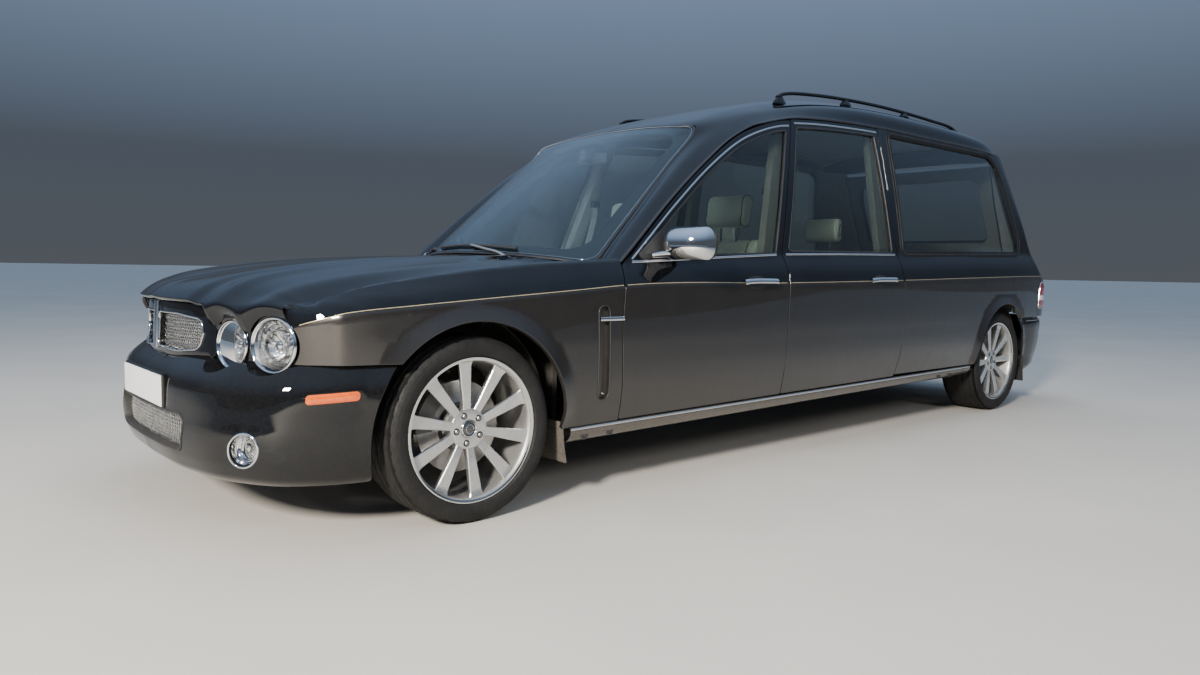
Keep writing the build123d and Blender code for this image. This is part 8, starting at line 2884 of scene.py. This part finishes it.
# engine cover and its neighbours, seen with the bonnet up
cov = []
rows = []
for y in np.linspace(-0.430, 0.270, 30):
    e = abs((y + 0.08) / 0.35)
    h = 0.828 - 0.02 * e ** 4
    q = rounded([(-0.270, 0.800), (0.270, 0.800), (0.240, h), (-0.240, h)], [0.004, 0.004, 0.02, 0.02], 5)
    rows.append([(a, y - MID, b + (0.004 if abs(a) < 0.20 and (int((y + 1) * 28) % 2) else 0)) for a, b in q])
rows = np.array(rows)
d = grid_data(rows, closed_u=True)
if ((d[0] - d[0].mean(0)) * d[2])[:, [0, 2]].sum() < 0:
    d = grid_data(rows, closed_u=True, flip=True)
cov.append(d)
cov.append(box_data((-0.26, -0.435 - MID, 0.80), (0.26, -0.425 - MID, 0.815), 0.003))
make("engine_cover", join_data(cov), TRIM, "body")
bits = [box_data((0.42, 0.18 - MID, 0.70), (0.66, 0.40 - MID, 0.845), 0.012), box_data((-0.64, -0.36 - MID, 0.64), (-0.44, -0.16 - MID, 0.775), 0.02),
        box_data((0.44, -0.36 - MID, 0.64), (0.64, -0.16 - MID, 0.775), 0.02)]
make("bay_boxes", join_data(bits), TRIM, "body")
# splash panels ahead of the wheel housings, and the strips that close the boot's floor to its sides and the bumper
closers = []
for s_ in (1, -1):
    for x0, x1, front in ((0.405, 0.520, -2.900), (0.520, 0.600, -2.875), (0.600, 0.680, -2.850), (0.680, 0.775, -2.800)):
        closers.append(box_data((min(s_ * x0, s_ * x1), front, 0.400), (max(s_ * x0, s_ * x1), -2.662, 0.405), 0.001))
make("bay_splash_panels", join_data(closers), LINER, "body")
closers = []
for s_ in (1, -1):
    closers.append(box_data((min(s_ * 0.568, s_ * 0.645), 2.640, 0.262), (max(s_ * 0.568, s_ * 0.645), 2.890, 0.267), 0.001))
    closers.append(box_data((min(s_ * 0.450, s_ * 0.645), 2.850, 0.2675), (max(s_ * 0.450, s_ * 0.645), 2.955, 0.2725), 0.001))
make("boot_floor_edges", join_data(closers), LINER, "body")
hoses = [tube_data(curve(np.array([(0.20, -0.43 - MID, 0.76), (0.30, -0.52 - MID, 0.74), (0.30, -0.60 - MID, 0.70), (0.26, -0.64 - MID, 0.66)]), 8), 0.022, 14),
         tube_data(curve(np.array([(-0.22, -0.43 - MID, 0.72), (-0.36, -0.46 - MID, 0.74), (-0.50, -0.36 - MID, 0.72)]), 8), 0.030, 14)]
make("bay_hoses", join_data(hoses), SEAL, "body")
make("radiator_top", box_data((-0.36, -0.69 - MID, 0.56), (0.36, -0.64 - MID, 0.755), 0.006), UNDER, "body")


# ---------------------------------------------------------------- floor, light and camera

FLOOR_PALE = surface("pale_studio_floor", (0.50, 0.465, 0.41), 0.72, vary=0.05, vary_scale=0.7, bump=0.15, bump_scale=60,
                     bump_dist=0.001, rough_vary=0.06, rough_scale=3)
floor_me = bpy.data.meshes.new("studio_floor")
ring = [(260 * cos(2 * pi * k / 96), 260 * sin(2 * pi * k / 96), 0.0) for k in range(96)]
floor_me.from_pydata(ring, [], [tuple(range(96))])
floor_me.materials.append(FLOOR_PALE)
floor_ob = bpy.data.objects.new("studio_floor", floor_me)
bpy.context.scene.collection.objects.link(floor_ob)

world = bpy.data.worlds.new("studio")
bpy.context.scene.world = world
world.use_nodes = True
wn = world.node_tree
wn.nodes.clear()
w_out = wn.nodes.new("ShaderNodeOutputWorld")
w_bg = wn.nodes.new("ShaderNodeBackground")
w_tc = wn.nodes.new("ShaderNodeTexCoord")
w_sep = wn.nodes.new("ShaderNodeSeparateXYZ")
w_ramp = wn.nodes.new("ShaderNodeValToRGB")
wn.links.new(w_tc.outputs["Generated"], w_sep.inputs[0])
wn.links.new(w_sep.outputs[2], w_ramp.inputs[0])
wn.links.new(w_ramp.outputs[0], w_bg.inputs[0])
wn.links.new(w_bg.outputs[0], w_out.inputs[0])
els = w_ramp.color_ramp.elements
els[0].position, els[0].color = 0.0, (0.085, 0.095, 0.110, 1)
els[1].position, els[1].color = 1.0, (0.50, 0.68, 0.98, 1)
e = els.new(0.12)
e.color = (0.075, 0.090, 0.115, 1)
e = els.new(0.50)
e.color = (0.29, 0.42, 0.64, 1)
w_bg.inputs[1].default_value = 1.0


def softbox(name, at, to, size, power, tint=(1, 1, 1)):
    data = bpy.data.lights.new(name, "AREA")
    data.shape = "RECTANGLE"
    data.size, data.size_y = size
    data.energy = power
    data.color = tint
    ob = bpy.data.objects.new(name, data)
    bpy.context.scene.collection.objects.link(ob)
    ob.location = at
    ob.rotation_euler = (Vector(to) - Vector(at)).to_track_quat("-Z", "Y").to_euler()
    return ob


softbox("key", (4.6, -9.5, 4.6), (0.3, -0.6, 0.6), (1.15, 1.15), 2500, (1.0, 0.95, 0.87))
top_light = softbox("overhead", (-1.0, 1.0, 8.5), (0, 0.5, 0), (4.0, 8.0), 300, (0.88, 0.94, 1.0))
far_light = softbox("side_fill", (9.5, -1.5, 5.0), (0.5, 0.5, 0.0), (3.0, 2.0), 260, (1.0, 0.97, 0.92))

# these two only fill the shadows, and are not mirrored in the paint
for lamp_ in (top_light, far_light):
    lamp_.visible_glossy = False
    lamp_.visible_transmission = False

YAW, PITCH, ROLL = radians(48.65), radians(4.62), radians(0.96)
right = np.array([cos(YAW), sin(YAW), 0.0])
ahead = np.array([-sin(YAW) * cos(PITCH), cos(YAW) * cos(PITCH), -sin(PITCH)])
up = np.cross(right, ahead)
right_r = right * cos(ROLL) + up * sin(ROLL)
up_r = -right * sin(ROLL) + up * cos(ROLL)
cam_data = bpy.data.cameras.new("camera")
cam_data.lens = 25.40
cam_data.sensor_width = 36.0
cam_data.sensor_fit = "HORIZONTAL"
cam_data.clip_end = 800
cam = bpy.data.objects.new("camera", cam_data)
bpy.context.scene.collection.objects.link(cam)
cam.matrix_world = Matrix([[right_r[k], up_r[k], -ahead[k], (3.470, -3.894, 0.935)[k]] for k in range(3)] + [[0, 0, 0, 1]])
bpy.context.scene.camera = cam
